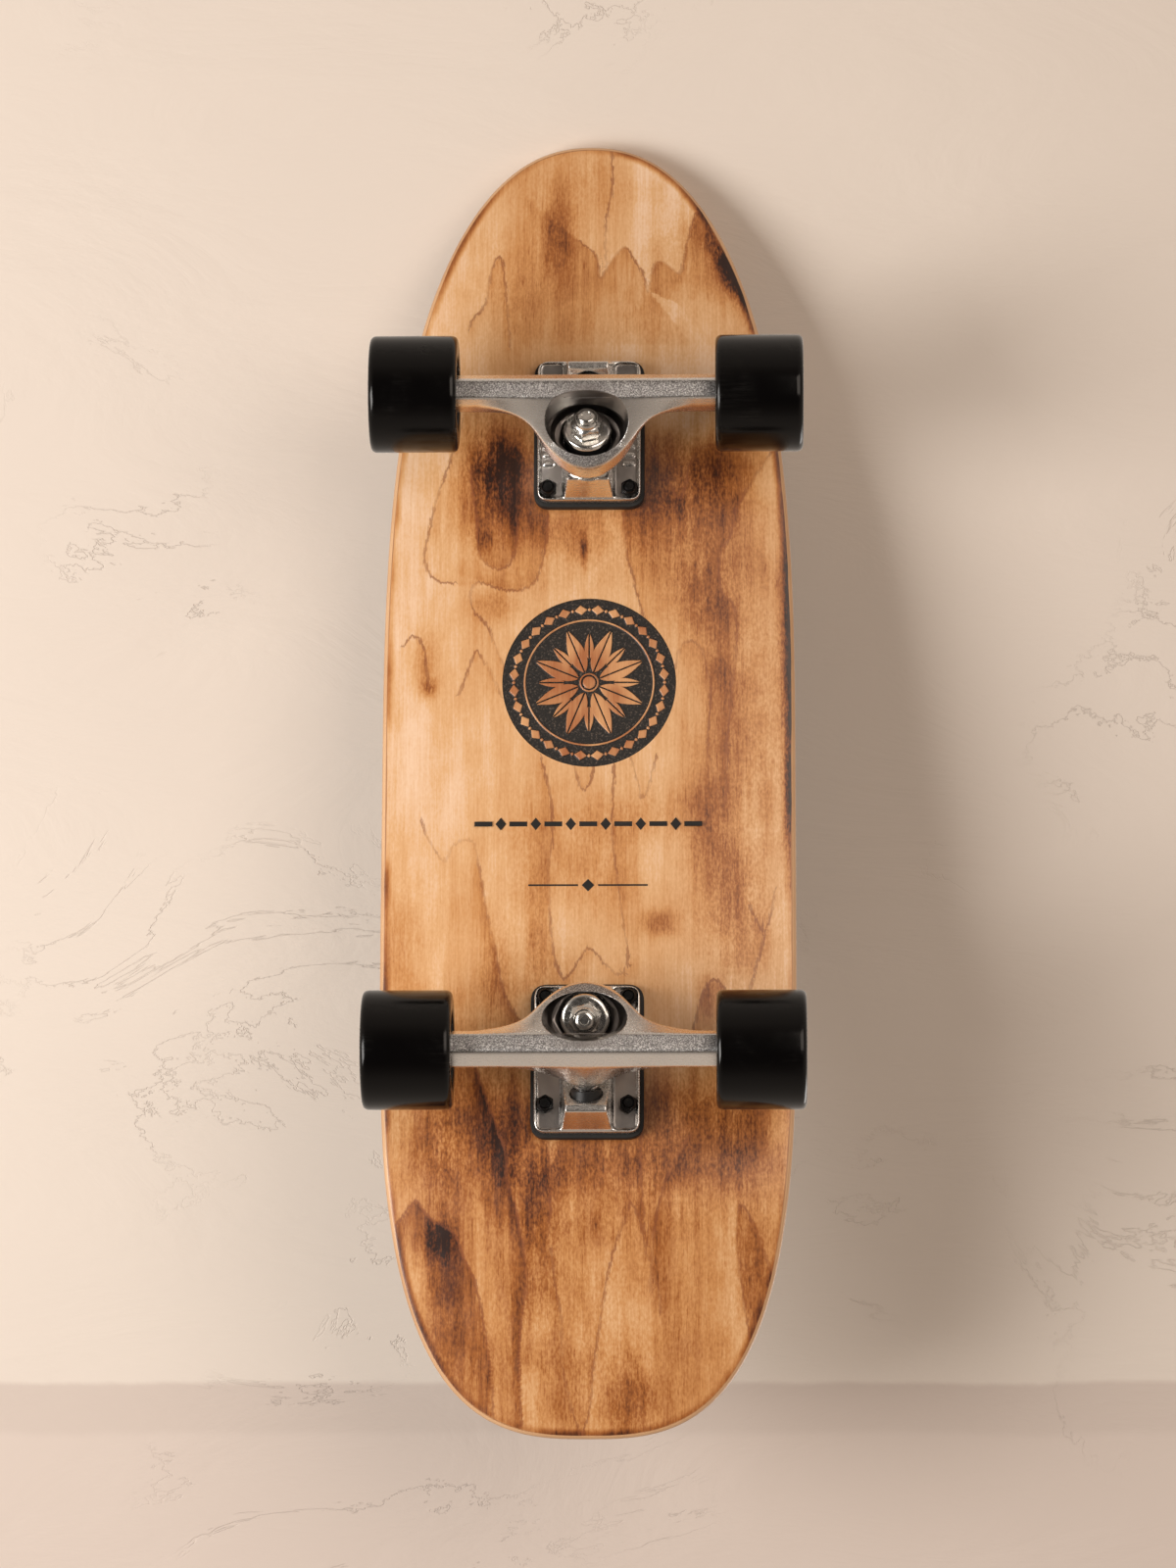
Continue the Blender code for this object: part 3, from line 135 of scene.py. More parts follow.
def refined(profile: np.ndarray, spacing: float) -> np.ndarray:
    """Puts more points on an open profile, evenly along its length and at its corners.

    Args:
        profile: The profile, shaped (points, 2).
        spacing: The greatest distance between two points.

    Returns:
        The profile with the points between, shaped (more points, 2).
    """
    length = np.concatenate([[0.0], np.cumsum(np.linalg.norm(np.diff(profile, axis=0), axis=1))])
    even = np.linspace(0.0, length[-1], int(length[-1] / spacing) + 2)
    apart = np.min(np.abs(even[:, None] - length[None, :]), axis=1) > spacing / 4.0
    places = np.sort(np.concatenate([length, even[apart]]))
    return np.stack([np.interp(places, length, profile[:, axis]) for axis in (0, 1)], axis=-1)


def wound(radii: np.ndarray, heights: np.ndarray) -> np.ndarray:
    """Sets points round Z, as (r cos a, r sin a, h).

    Args:
        radii: Their distances from the axis, shaped (rings, sides).
        heights: The rings' heights, shaped (rings,).

    Returns:
        A grid of points, shaped (rings, sides, 3).
    """
    angle = np.arange(radii.shape[1]) * (FULL_TURN / radii.shape[1])
    level = np.broadcast_to(heights[:, None], radii.shape)
    return np.stack([radii * np.cos(angle), radii * np.sin(angle), level], axis=-1)


def revolved(profile: np.ndarray, sides: int) -> np.ndarray:
    """Turns a profile about Z.

    Args:
        profile: The profile's (radius, height) points, shaped (points, 2).
        sides: How many steps a turn has.

    Returns:
        A grid of points, shaped (points, sides, 3).
    """
    return wound(np.broadcast_to(profile[:, 0, None], (len(profile), sides)), profile[:, 1])


def angle_off(angle: np.ndarray, count: int, offset: float = 0.0) -> np.ndarray:
    """Measures angles from the nearest of evenly spread directions.

    Args:
        angle: Angles in radians.
        count: How many directions a turn has.
        offset: How far they are turned, as a share of their spacing.

    Returns:
        The angles from the nearest direction, in radians.
    """
    share = angle / FULL_TURN * count + offset
    return (share - np.floor(share) - 0.5) * FULL_TURN / count


def moved(points: np.ndarray, matrix: Matrix) -> np.ndarray:
    """Places points with a 4x4 matrix.

    Args:
        points: The points, shaped (..., 3).
        matrix: The placement.

    Returns:
        The placed points, in the same shape.
    """
    values = np.array(matrix)
    return points @ values[:3, :3].T + values[:3, 3]


def grid_faces(rows: int, columns: int, wrap_rows: bool) -> np.ndarray:
    """Works out the quads between a grid's points.

    Args:
        rows: How many rows the grid has.
        columns: How many columns it has, of which the last joins the first.
        wrap_rows: Whether the last row joins the first too.

    Returns:
        The quads' corners as numbers of points, shaped (quads, 4).
    """
    joined = rows if wrap_rows else rows - 1
    row, column = np.meshgrid(np.arange(joined), np.arange(columns), indexing="ij")
    next_row = (row + 1) % rows
    next_column = (column + 1) % columns
    corners = [
        row * columns + column,
        next_row * columns + column,
        next_row * columns + next_column,
        row * columns + next_column,
    ]
    return np.stack(corners, axis=-1).reshape(-1, 4)


def skin(
    name: str,
    points: np.ndarray,
    wrap_rows: bool = False,
    crisp: float = 38.0,
    **marks: np.ndarray,
) -> bpy.types.Mesh:
    """Makes a closed mesh of a grid of points, with its open ends capped and its poles merged.

    Args:
        name: The mesh's name.
        points: The grid, shaped (rows, columns, 3).
        wrap_rows: Whether the last row joins the first, as the last column always does.
        crisp: The angle in degrees past which an edge stays sharp.
        **marks: Named values of the grid's points, kept as attributes, shaped (rows, columns).

    Returns:
        The mesh, with its faces pointing out.
    """
    rows, columns = points.shape[:2]
    faces = grid_faces(rows, columns, wrap_rows)
    mesh = bpy.data.meshes.new(name)
    mesh.vertices.add(rows * columns)
    mesh.vertices.foreach_set("co", points.astype(np.float32).ravel())
    mesh.loops.add(faces.size)
    mesh.loops.foreach_set("vertex_index", faces.astype(np.int32).ravel())
    mesh.polygons.add(len(faces))
    mesh.polygons.foreach_set("loop_start", np.arange(0, faces.size, 4, dtype=np.int32))
    mesh.update(calc_edges=True)
    marked(mesh, **marks)
    close_up(mesh)
    soften(mesh, crisp)
    return mesh


def close_up(mesh: bpy.types.Mesh) -> None:
    """Merges a mesh's coincident points, caps its open ends and points its faces outwards.

    Args:
        mesh: The mesh.
    """
    shape = bmesh.new()
    shape.from_mesh(mesh)
    bmesh.ops.remove_doubles(shape, verts=shape.verts, dist=0.002 * MM)
    open_edges = [edge for edge in shape.edges if edge.is_boundary]
    if open_edges:
        bmesh.ops.holes_fill(shape, edges=open_edges, sides=0)
    bmesh.ops.recalc_face_normals(shape, faces=shape.faces)
    shape.to_mesh(mesh)
    shape.free()


def soften(mesh: bpy.types.Mesh, crisp: float) -> None:
    """Shades a mesh smooth apart from the edges sharper than an angle in degrees."""
    mesh.shade_smooth()
    mesh.set_sharp_from_angle(angle=math.radians(crisp))


def loose(name: str, data: bpy.types.ID) -> bpy.types.Object:
    """Makes an object and links it to the scene.

    Args:
        name: Its name.
        data: Its mesh, camera or light.

    Returns:
        The object.
    """
    thing = bpy.data.objects.new(name, data)
    bpy.context.scene.collection.objects.link(thing)
    return thing


def settled(thing: bpy.types.Object) -> bpy.types.Mesh:
    """Takes an object's mesh with its modifiers applied, and removes the object.

    Args:
        thing: The object.

    Returns:
        The mesh.
    """
    evaluated = thing.evaluated_get(bpy.context.evaluated_depsgraph_get())
    mesh = bpy.data.meshes.new_from_object(evaluated)
    bpy.data.objects.remove(thing, do_unlink=True)
    return mesh


class Cut(Enum):
    """What a tool does to a casting."""

    ADD = "UNION"
    TAKE = "DIFFERENCE"


class Solver(Enum):
    """How a boolean is worked out: exactly for sharp solids, or on closed skins for a finely meshed one."""

    SHARP = "EXACT"
    FINE = "MANIFOLD"


def carved(
    name: str, body: bpy.types.Mesh, tools: list[tuple[Cut, bpy.types.Mesh]], solver: Solver = Solver.SHARP
) -> bpy.types.Mesh:
    """Adds and takes away shapes from a body, one after another.

    Args:
        name: The result's name.
        body: The mesh to start from.
        tools: What to do, and with which mesh.
        solver: How it is worked out.

    Returns:
        The finished mesh.
    """
    thing = loose(name, body)
    helpers = []
    for index, (cut, tool) in enumerate(tools):
        helper = loose(f"{name}_tool_{index}", tool)
        modifier = thing.modifiers.new(f"cut_{index}", "BOOLEAN")
        modifier.operation = cut.value
        modifier.solver = solver.value
        modifier.object = helper
        helpers.append(helper)
    mesh = settled(thing)
    for helper in helpers:
        bpy.data.objects.remove(helper, do_unlink=True)
    return mesh


def cast(name: str, mesh: bpy.types.Mesh, grain: float, passes: int) -> bpy.types.Mesh:
    """Gives a sharp solid the soft edges and fillets of a casting.

    The solid is meshed again in even facets, and its points are drawn to the middle of their neighbours.

    Args:
        name: The result's name.
        mesh: The sharp solid.
        grain: The size of a facet.
        passes: How often the points are drawn in.

    Returns:
        The softened mesh.
    """
    thing = loose(name, mesh)
    remesh = thing.modifiers.new("even", "REMESH")
    remesh.mode = "VOXEL"
    remesh.voxel_size = grain
    smooth = thing.modifiers.new("fillets", "SMOOTH")
    smooth.factor = 0.5
    smooth.iterations = passes
    softened = settled(thing)
    softened.shade_smooth()
    return softened


def surface(mesh: bpy.types.Mesh) -> tuple[np.ndarray, np.ndarray]:
    """Reads where a mesh's points are and which way they face.

    Args:
        mesh: The mesh.

    Returns:
        The points and their normals, each shaped (points, 3), the points in millimetres.
    """
    places = np.empty(len(mesh.vertices) * 3, dtype=np.float32)
    normals = np.empty_like(places)
    mesh.vertices.foreach_get("co", places)
    mesh.vertex_normals.foreach_get("vector", normals)
    return places.reshape(-1, 3) / MM, normals.reshape(-1, 3)


def marked(mesh: bpy.types.Mesh, **marks: np.ndarray) -> None:
    """Keeps named values of a mesh's points as attributes, which its finish reads.

    Args:
        mesh: The mesh.
        **marks: The values by their names, one for each point.
    """
    for mark, values in marks.items():
        attribute = mesh.attributes.new(mark, "FLOAT", "POINT")
        attribute.data.foreach_set("value", values.astype(np.float32).ravel())


def show(
    name: str,
    mesh: bpy.types.Mesh,
    finish: bpy.types.Material,
    body: str,
    nodes: tuple[str, ...] = (),
) -> None:
    """Puts a finished piece in the scene.

    Args:
        name: The piece's name.
        mesh: Its mesh, in place.
        finish: Its material.
        body: The body that it rides on.
        nodes: The nodes that it stands for.
    """
    piece = loose(name, mesh)
    mesh.materials.clear()
    mesh.materials.append(finish)
    if nodes:
        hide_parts(*nodes)
    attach(piece, body)
    LOG.info("%s: %d faces on %s", name, len(mesh.polygons), body)


# Finishes


class Paint:
    """Builds the nodes of one material, a call for each."""

    def __init__(self, name: str) -> None:
        """Starts a material with its Principled shader and its object coordinates.

        Args:
            name: The material's name.
        """
        self.material = bpy.data.materials.new(name)
        self.material.use_nodes = True
        self.tree = self.material.node_tree
        self.shader = self.tree.nodes["Principled BSDF"]
        self.place = self.add("ShaderNodeTexCoord").outputs["Object"]

    def add(self, kind: str) -> bpy.types.Node:
        """Adds a node of a kind."""
        return self.tree.nodes.new(kind)

    def feed(self, value: Socket | float | Colour, target: Socket) -> None:
        """Links a socket to a target, or sets the target's own value.

        Args:
            value: The socket, or the value.
            target: The socket that takes it.
        """
        if isinstance(value, bpy.types.NodeSocket):
            self.tree.links.new(value, target)
        elif isinstance(value, tuple) and target.type == "RGBA":
            target.default_value = (*value, 1.0)
        else:
            target.default_value = value

    def set(self, **values: Socket | float | Colour) -> None:
        """Feeds the shader's sockets.

        Args:
            **values: The values by the sockets' names, in small letters with underscores.
        """
        names = {socket.name.lower().replace(" ", "_"): socket for socket in self.shader.inputs}
        for name, value in values.items():
            self.feed(value, names[name])

    def stretched(self, scale: Colour, shift: Colour = (0.0, 0.0, 0.0), turn: float = 0.0) -> Socket:
        """Scales the object coordinates, so that a pattern on them is stretched.

        Args:
            scale: The scale along each axis.
            shift: The move along each axis, after scaling.
            turn: The turn about Z in degrees.

        Returns:
            The scaled coordinates.
        """
        mapping = self.add("ShaderNodeMapping")
        self.feed(self.place, mapping.inputs["Vector"])
        mapping.inputs["Scale"].default_value = scale
        mapping.inputs["Location"].default_value = shift
        mapping.inputs["Rotation"].default_value = (0.0, 0.0, math.radians(turn))
        return mapping.outputs[0]

    def noise(
        self, place: Socket, detail: float = 3.0, roughness: float = 0.5, distortion: float = 0.0
    ) -> Socket:
        """Makes a cloudy value about 0.5.

        Args:
            place: The coordinates that it is read at.
            detail: How many finer clouds are added.
            roughness: How strong the finer ones are.
            distortion: How much they are warped.

        Returns:
            The value.
        """
        node = self.add("ShaderNodeTexNoise")
        self.feed(place, node.inputs["Vector"])
        node.inputs["Scale"].default_value = 1.0
        node.inputs["Detail"].default_value = detail
        node.inputs["Roughness"].default_value = roughness
        node.inputs["Distortion"].default_value = distortion
        return node.outputs[0]

    def cells(self, place: Socket) -> Socket:
        """Measures the distance to the nearest of scattered points.

        Args:
            place: The coordinates that it is read at.

        Returns:
            The distance.
        """
        node = self.add("ShaderNodeTexVoronoi")
        self.feed(place, node.inputs["Vector"])
        node.inputs["Scale"].default_value = 1.0
        return node.outputs["Distance"]

    def maths(self, operation: str, first: Socket | float, second: Socket | float = 0.0) -> Socket:
        """Does a sum with one or two values.

        Args:
            operation: The Math node's name for it.
            first: The first value.
            second: The second value, where it takes two.

        Returns:
            The result.
        """
        node = self.add("ShaderNodeMath")
        node.operation = operation
        self.feed(first, node.inputs[0])
        self.feed(second, node.inputs[1])
        return node.outputs[0]

    def span(
        self, value: Socket, low: float, high: float, to_low: float = 0.0, to_high: float = 1.0
    ) -> Socket:
        """Carries a value from one range to another, smoothly, and holds it at the ends.

        Args:
            value: The value.
            low: Where its range starts.
            high: Where its range ends.
            to_low: What the start becomes.
            to_high: What the end becomes.

        Returns:
            The carried value.
        """
        node = self.add("ShaderNodeMapRange")
        node.interpolation_type = "SMOOTHSTEP"
        self.feed(value, node.inputs["Value"])
        for name, number in zip(("From Min", "From Max", "To Min", "To Max"), (low, high, to_low, to_high)):
            node.inputs[name].default_value = number
        return node.outputs[0]

    def ramp(self, value: Socket, stops: list[tuple[float, Colour]]) -> Socket:
        """Turns a value into a colour.

        Args:
            value: The value, from 0 to 1.
            stops: The colours and the values that they stand at.

        Returns:
            The colour.
        """
        node = self.add("ShaderNodeValToRGB")
        self.feed(value, node.inputs[0])
        elements = node.color_ramp.elements
        while len(elements) < len(stops):
            elements.new(1.0)
        for element, (position, colour) in zip(elements, stops):
            element.position = position
            element.color = (*colour, 1.0)
        return node.outputs["Color"]

    def mix(self, share: Socket | float, first: Socket | Colour, second: Socket | Colour) -> Socket:
        """Mixes two colours.

        Args:
            share: The share of the second.
            first: The first colour.
            second: The second colour.

        Returns:
            The mixed colour.
        """
        node = self.add("ShaderNodeMix")
        node.data_type = "RGBA"
        self.feed(share, node.inputs[0])
        self.feed(first, node.inputs[6])
        self.feed(second, node.inputs[7])
        return node.outputs[2]

    def mark(self, name: str) -> Socket:
        """Reads an attribute that the mesh keeps.

        Args:
            name: The attribute's name.

        Returns:
            Its value.
        """
        node = self.add("ShaderNodeAttribute")
        node.attribute_name = name
        return node.outputs["Fac"]

    def measure(self, operation: str, towards: Vector) -> Socket:
        """Measures the object coordinates against a vector.

        Args:
            operation: The Vector Math node's name for the measure.
            towards: The vector.

        Returns:
            The measure.
        """
        node = self.add("ShaderNodeVectorMath")
        node.operation = operation
        self.feed(self.place, node.inputs[0])
        node.inputs[1].default_value = tuple(towards)
        return node.outputs["Value"]

    def relief(self, height: Socket, depth: float, strength: float = 1.0) -> None:
        """Raises the surface.

        Args:
            height: How high it is, from 0 to 1.
            depth: The height of 1, in metres.
            strength: How strongly it shows.
        """
        node = self.add("ShaderNodeBump")
        node.inputs["Strength"].default_value = strength
        node.inputs["Distance"].default_value = depth
        self.feed(height, node.inputs["Height"])
        self.feed(node.outputs[0], self.shader.inputs["Normal"])


@dataclass(frozen=True)
class BurntMaple:
    """Maple veneer under clear lacquer, darkened along its figure by a torch and by painted shade under the
    trucks, and bare plies at the edge.
    """

    pale: Colour = seen(249, 212, 178)
    honey: Colour = seen(234, 184, 132)
    tan: Colour = seen(213, 151, 92)
    brown: Colour = seen(172, 104, 50)
    dark: Colour = seen(112, 58, 25)
    char: Colour = seen(44, 20, 10)
    line: Colour = seen(142, 80, 46)
    ply_light: Colour = seen(226, 180, 134)
    ply_dark: Colour = seen(172, 116, 70)
    plies: int = 7
    bare_width: float = 2.3 * MM

    def tone(self, paint: Paint) -> tuple[Socket, Socket]:
        """Works out how dark the face is, from the veneer's own clouds, from the torch and from the shade
        painted under the trucks.

        Args:
            paint: The wood's material.

        Returns:
            The darkness from 0 to 1, and the fine streaks of the grain.
        """
        drift = paint.noise(paint.stretched((4.0, 11.0, 1.0), (2.0, 5.0, 0.0)), 3.0, 0.5, 0.4)
        bands = paint.noise(paint.stretched((7.0, 64.0, 1.0), (1.0, 7.0, 0.0)), 4.0, 0.62, 0.35)
        ragged = paint.noise(paint.stretched((26.0, 230.0, 1.0)), 4.0, 0.66)
        speckle = paint.noise(paint.stretched((420.0, 820.0, 1.0)), 2.0, 0.6)
        streaks = paint.noise(paint.stretched((24.0, 980.0, 1.0)), 4.0, 0.6)
        blotches = paint.noise(paint.stretched((34.0, 46.0, 1.0), (4.0, 2.0, 0.0)), 5.0, 0.62, 0.3)
        pores = paint.noise(paint.stretched((110.0, 1500.0, 1.0)), 1.0, 0.5)

        broken = paint.span(ragged, 0.3, 0.7, 0.85, 1.07)
        for clouds, swing in ((bands, 0.08), (blotches, 0.16), (speckle, 0.18)):
            broken = paint.maths("ADD", broken, paint.span(clouds, 0.3, 0.7, -swing, swing))
        # The burn attribute holds the torch's scorching and the shade painted on the wood under the trucks.
        scorch_and_shade = paint.maths("MULTIPLY", paint.mark("burn_and_shade"), broken)
        beside = paint.maths("MULTIPLY", paint.mark("shade"), paint.span(ragged, 0.3, 0.7, 0.6, 1.15))
        tone = paint.maths("ADD", scorch_and_shade, beside)
        for clouds, low, high, paler, darker in (
            (drift, 0.32, 0.68, 0.0, 0.16),
            (bands, 0.32, 0.7, -0.03, 0.09),
            (blotches, 0.32, 0.7, -0.02, 0.055),
            (streaks, 0.3, 0.7, -0.03, 0.04),
            (speckle, 0.3, 0.72, -0.022, 0.03),
        ):
            tone = paint.maths("ADD", tone, paint.span(clouds, low, high, paler, darker))
        deep = paint.span(tone, 0.1, 0.5, 0.03, 0.13)
        tone = paint.maths("ADD", tone, paint.maths("MULTIPLY", paint.span(pores, 0.56, 0.72), deep))
        return tone, streaks

    def make(self) -> bpy.types.Material:
        """Makes the material.

        Returns:
            The material.
        """
        paint = Paint("burnt_maple")
        tone, streaks = self.tone(paint)
        round_edge = paint.noise(paint.stretched((13.0, 13.0, 1.0), (5.0, 1.0, 0.0)), 3.0, 0.6)
        singed = paint.span(paint.mark("rim"), 2.4 * MM, 6.5 * MM, 1.0, 0.0)
        singed = paint.maths("MULTIPLY", singed, paint.span(round_edge, 0.38, 0.62, 0.08, 0.55))
        tone = paint.maths("ADD", tone, singed)
        face = paint.ramp(
            tone,
            [
                (0.0, self.pale),
                (0.15, self.honey),
                (0.32, self.tan),
                (0.54, self.brown),
                (0.78, self.dark),
                (1.0, self.char),
            ],
        )
        jagged = paint.noise(paint.stretched((210.0, 700.0, 1.0)), 3.0, 0.65)
        strayed = paint.maths("ADD", paint.mark("offset"), paint.span(jagged, 0.25, 0.75, -0.85, 0.85))
        line = paint.span(paint.maths("ABSOLUTE", strayed), 0.2, 1.05, 1.0, 0.0)
        line = paint.maths("MULTIPLY", line, paint.span(paint.mark("nearness"), 1.6, 3.0, 1.0, 0.0))
        kept = paint.noise(paint.stretched((30.0, 60.0, 1.0), (9.0, 3.0, 0.0)), 3.0, 0.6)
        line = paint.maths("MULTIPLY", line, paint.span(kept, 0.34, 0.6, 0.18, 0.7))
        face = paint.mix(line, face, self.line)

        height = paint.mark("height")
        layer = paint.maths("FRACT", paint.maths("MULTIPLY", height, float(self.plies)))
        joint = paint.span(paint.maths("ABSOLUTE", paint.maths("SUBTRACT", layer, 0.5)), 0.36, 0.47)
        grainy = paint.maths("MULTIPLY", joint, paint.span(streaks, 0.2, 0.6, 0.5, 1.0))
        plies = paint.mix(grainy, self.ply_light, self.ply_dark)
        plies = paint.mix(paint.span(round_edge, 0.35, 0.7, 0.0, 0.4), plies, self.ply_dark)
        wander = paint.maths("ADD", paint.mark("rim"), paint.span(round_edge, 0.3, 0.7, -0.5 * MM, 0.5 * MM))
        bare = paint.span(wander, self.bare_width, self.bare_width + 0.3 * MM, 1.0, 0.0)
        bare = paint.maths("MAXIMUM", bare, paint.span(height, 0.06, 0.08))
        colour = paint.mix(bare, face, plies)
        dull = paint.noise(paint.stretched((60.0, 150.0, 1.0)), 3.0, 0.6)
        dull = paint.maths("ADD", dull, paint.maths("MULTIPLY", bare, 0.4))
        roughness = paint.span(dull, 0.3, 0.9, 0.3, 0.5)
        paint.set(base_color=colour, roughness=roughness, coat_weight=0.5, coat_roughness=0.32)
        paint.relief(paint.maths("ADD", streaks, paint.maths("MULTIPLY", line, -0.6)), 0.05 * MM, 0.5)
        return paint.material


@dataclass(frozen=True)
class CarvedWood:
    """A sand-carved medallion: a black pebbled ground with lands of bare wood left standing."""

    ground: Colour = seen(26, 22, 19)
    glint: Colour = seen(112, 98, 86)
    land_pale: Colour = seen(226, 170, 118)
    land_dark: Colour = seen(176, 108, 66)

    def make(self) -> bpy.types.Material:
        """Makes the material.

        Returns:
            The material.
        """
        paint = Paint("carved_wood")
        land = paint.span(paint.mark("land"), 0.42, 0.58)
        pebbles = paint.noise(paint.stretched((900.0, 900.0, 900.0)), 3.0, 0.7)
        ground = paint.mix(paint.span(pebbles, 0.52, 0.75), self.ground, self.glint)
        clouds = paint.noise(paint.stretched((30.0, 55.0, 1.0)), 3.0, 0.5)
        streaks = paint.noise(paint.stretched((40.0, 900.0, 1.0)), 3.0, 0.6)
        tone = paint.maths("ADD", paint.span(clouds, 0.3, 0.7), paint.span(streaks, 0.3, 0.7, -0.12, 0.12))
        wood = paint.mix(tone, self.land_pale, self.land_dark)
        paint.set(base_color=paint.mix(land, ground, wood), roughness=paint.span(land, 0.0, 1.0, 0.5, 0.38))
        paint.relief(paint.maths("MULTIPLY", pebbles, paint.span(land, 0.0, 1.0, 1.0, 0.05)), 0.25 * MM, 0.9)
        return paint.material


@dataclass(frozen=True)
class GripSheet:
    """Black abrasive paper: fine dark grit with a few bright grains."""

    def make(self) -> bpy.types.Material:
        """Makes the material.

        Returns:
            The material.
        """
        paint = Paint("grip_sheet")
        grit = paint.noise(paint.stretched((1900.0, 1900.0, 1900.0)), 2.0, 0.7)
        grains = paint.cells(paint.stretched((1500.0, 1500.0, 1500.0)))
        dust = paint.noise(paint.stretched((9.0, 22.0, 5.0)), 4.0, 0.6)
        black = paint.mix(paint.span(dust, 0.4, 0.8, 0.0, 0.3), seen(24, 23, 22), seen(48, 46, 44))
        colour = paint.mix(paint.span(grains, 0.0, 0.12, 0.4, 0.0), black, seen(170, 166, 160))
        paint.set(base_color=colour, roughness=paint.span(grit, 0.3, 0.7, 0.7, 0.95))
        paint.relief(grit, 0.3 * MM, 0.9)
        return paint.material


@dataclass(frozen=True)
class CastAluminium:
    """Cast aluminium with a satin polish, with the sand's grain where the mesh's sand attribute is 1, and
    painted shade where its hollow attribute is 1.
    """

    bright: Colour = (0.88, 0.86, 0.83)
    dull: Colour = (0.74, 0.72, 0.7)
    grit: Colour = (0.84, 0.83, 0.82)
    pits: Colour = (0.24, 0.23, 0.23)
    # deep and dim are the colours of the shade painted inside hollows.
    deep: Colour = (0.22, 0.2, 0.19)
    dim: Colour = (0.36, 0.33, 0.31)

    def make(self) -> bpy.types.Material:
        """Makes the material.

        Returns:
            The material.
        """
        paint = Paint("cast_aluminium")
        grain = paint.noise(paint.stretched((1500.0, 1500.0, 1500.0)), 2.0, 0.7)
        ripple = paint.noise(paint.stretched((70.0, 70.0, 70.0)), 2.0, 0.5)
        scuffs = paint.noise(paint.stretched((1400.0, 420.0, 1400.0)), 3.0, 0.6)
        worn = paint.maths("ADD", paint.mark("sand"), paint.span(grain, 0.3, 0.7, -0.14, 0.14))
        sandy = paint.span(worn, 0.3, 0.7)
        polished = paint.mix(paint.span(ripple, 0.35, 0.75, 0.0, 0.4), self.bright, self.dull)
        rough = paint.mix(paint.span(grain, 0.42, 0.66), self.pits, self.grit)
        gloss = paint.span(sandy, 0.0, 1.0, 0.25, 0.36)
        gloss = paint.maths("ADD", gloss, paint.span(scuffs, 0.3, 0.7, -0.03, 0.05))
        surface_colour = paint.mix(sandy, polished, rough)
        # Painted shade: where hollow is 1 the metal turns dark, as in the shade of the funnel, the seats and
        # the plate's lands, and it is also rougher there.
        shaded = paint.mix(paint.span(ripple, 0.3, 0.7), self.deep, self.dim)
        surface_colour = paint.mix(paint.mark("hollow"), surface_colour, shaded)
        gloss = paint.maths("ADD", gloss, paint.maths("MULTIPLY", paint.mark("hollow"), 0.06))
        paint.set(base_color=surface_colour, metallic=1.0, roughness=gloss)
        coarse = paint.maths("MULTIPLY", grain, paint.span(sandy, 0.0, 1.0, 0.015, 1.0))
        fine = paint.maths("MULTIPLY", scuffs, 0.006)
        paint.relief(paint.maths("ADD", coarse, fine), 0.22 * MM, 1.0)
        return paint.material


@dataclass(frozen=True)
class BrightSteel:
    """Steel that is plated or ground, with fine turning lines and a little tarnish."""

    name: str
    colour: Colour = (0.78, 0.77, 0.74)
    tarnish: Colour = (0.5, 0.45, 0.38)
    roughness: float = 0.14

    def make(self) -> bpy.types.Material:
        """Makes the material.

        Returns:
            The material.
        """
        paint = Paint(self.name)
        clouds = paint.noise(paint.stretched((260.0, 260.0, 260.0)), 3.0, 0.55)
        lines = paint.noise(paint.stretched((500.0, 500.0, 3200.0)), 2.0, 0.5)
        colour = paint.mix(paint.span(clouds, 0.48, 0.8, 0.0, 0.6), self.colour, self.tarnish)
        rough = paint.span(clouds, 0.3, 0.7, self.roughness, self.roughness + 0.1)
        rough = paint.maths("ADD", rough, paint.span(lines, 0.3, 0.7, -0.03, 0.04))
        paint.set(base_color=colour, metallic=1.0, roughness=rough)
        paint.relief(lines, 0.02 * MM, 0.35)
        return paint.material


@dataclass(frozen=True)
class BlackOxide:
    """Blackened steel, worn to metal in places."""

    def make(self) -> bpy.types.Material:
        """Makes the material.

        Returns:
            The material.
        """
        paint = Paint("black_oxide")
        wear = paint.noise(paint.stretched((420.0, 420.0, 420.0)), 4.0, 0.6)
        colour = paint.mix(paint.span(wear, 0.62, 0.78, 0.0, 0.5), seen(24, 23, 23), seen(92, 88, 84))
        paint.set(base_color=colour, metallic=0.7, roughness=paint.span(wear, 0.3, 0.7, 0.32, 0.46))
        paint.relief(wear, 0.04 * MM, 0.5)
        return paint.material


@dataclass(frozen=True)
class Polymer:
    """A black plastic or rubber, with dust, faint handling marks and its moulded grain."""

    name: str
    colour: Colour
    dust: Colour
    dusty: float
    roughness: float
    grain: float
    depth: float
    shine: float = 0.5

    def make(self) -> bpy.types.Material:
        """Makes the material.

        Returns:
            The material.
        """
        paint = Paint(self.name)
        clouds = paint.noise(paint.stretched((38.0, 38.0, 38.0)), 4.0, 0.55, 0.4)
        grain = paint.noise(paint.stretched((self.grain, self.grain, self.grain)), 3.0, 0.6)
        marks = paint.noise(paint.stretched((900.0, 55.0, 300.0)), 3.0, 0.6)
        smudge = paint.maths("MULTIPLY", paint.span(clouds, 0.48, 0.72), paint.span(marks, 0.4, 0.7))
        colour = paint.mix(paint.maths("MULTIPLY", smudge, self.dusty), self.colour, self.dust)
        rough = paint.span(clouds, 0.3, 0.7, self.roughness, self.roughness + 0.08)
        rough = paint.maths("ADD", rough, paint.maths("MULTIPLY", smudge, 0.14))
        paint.set(base_color=colour, roughness=rough, specular_ior_level=self.shine)
        paint.relief(grain, self.depth, 0.6)
        return paint.material


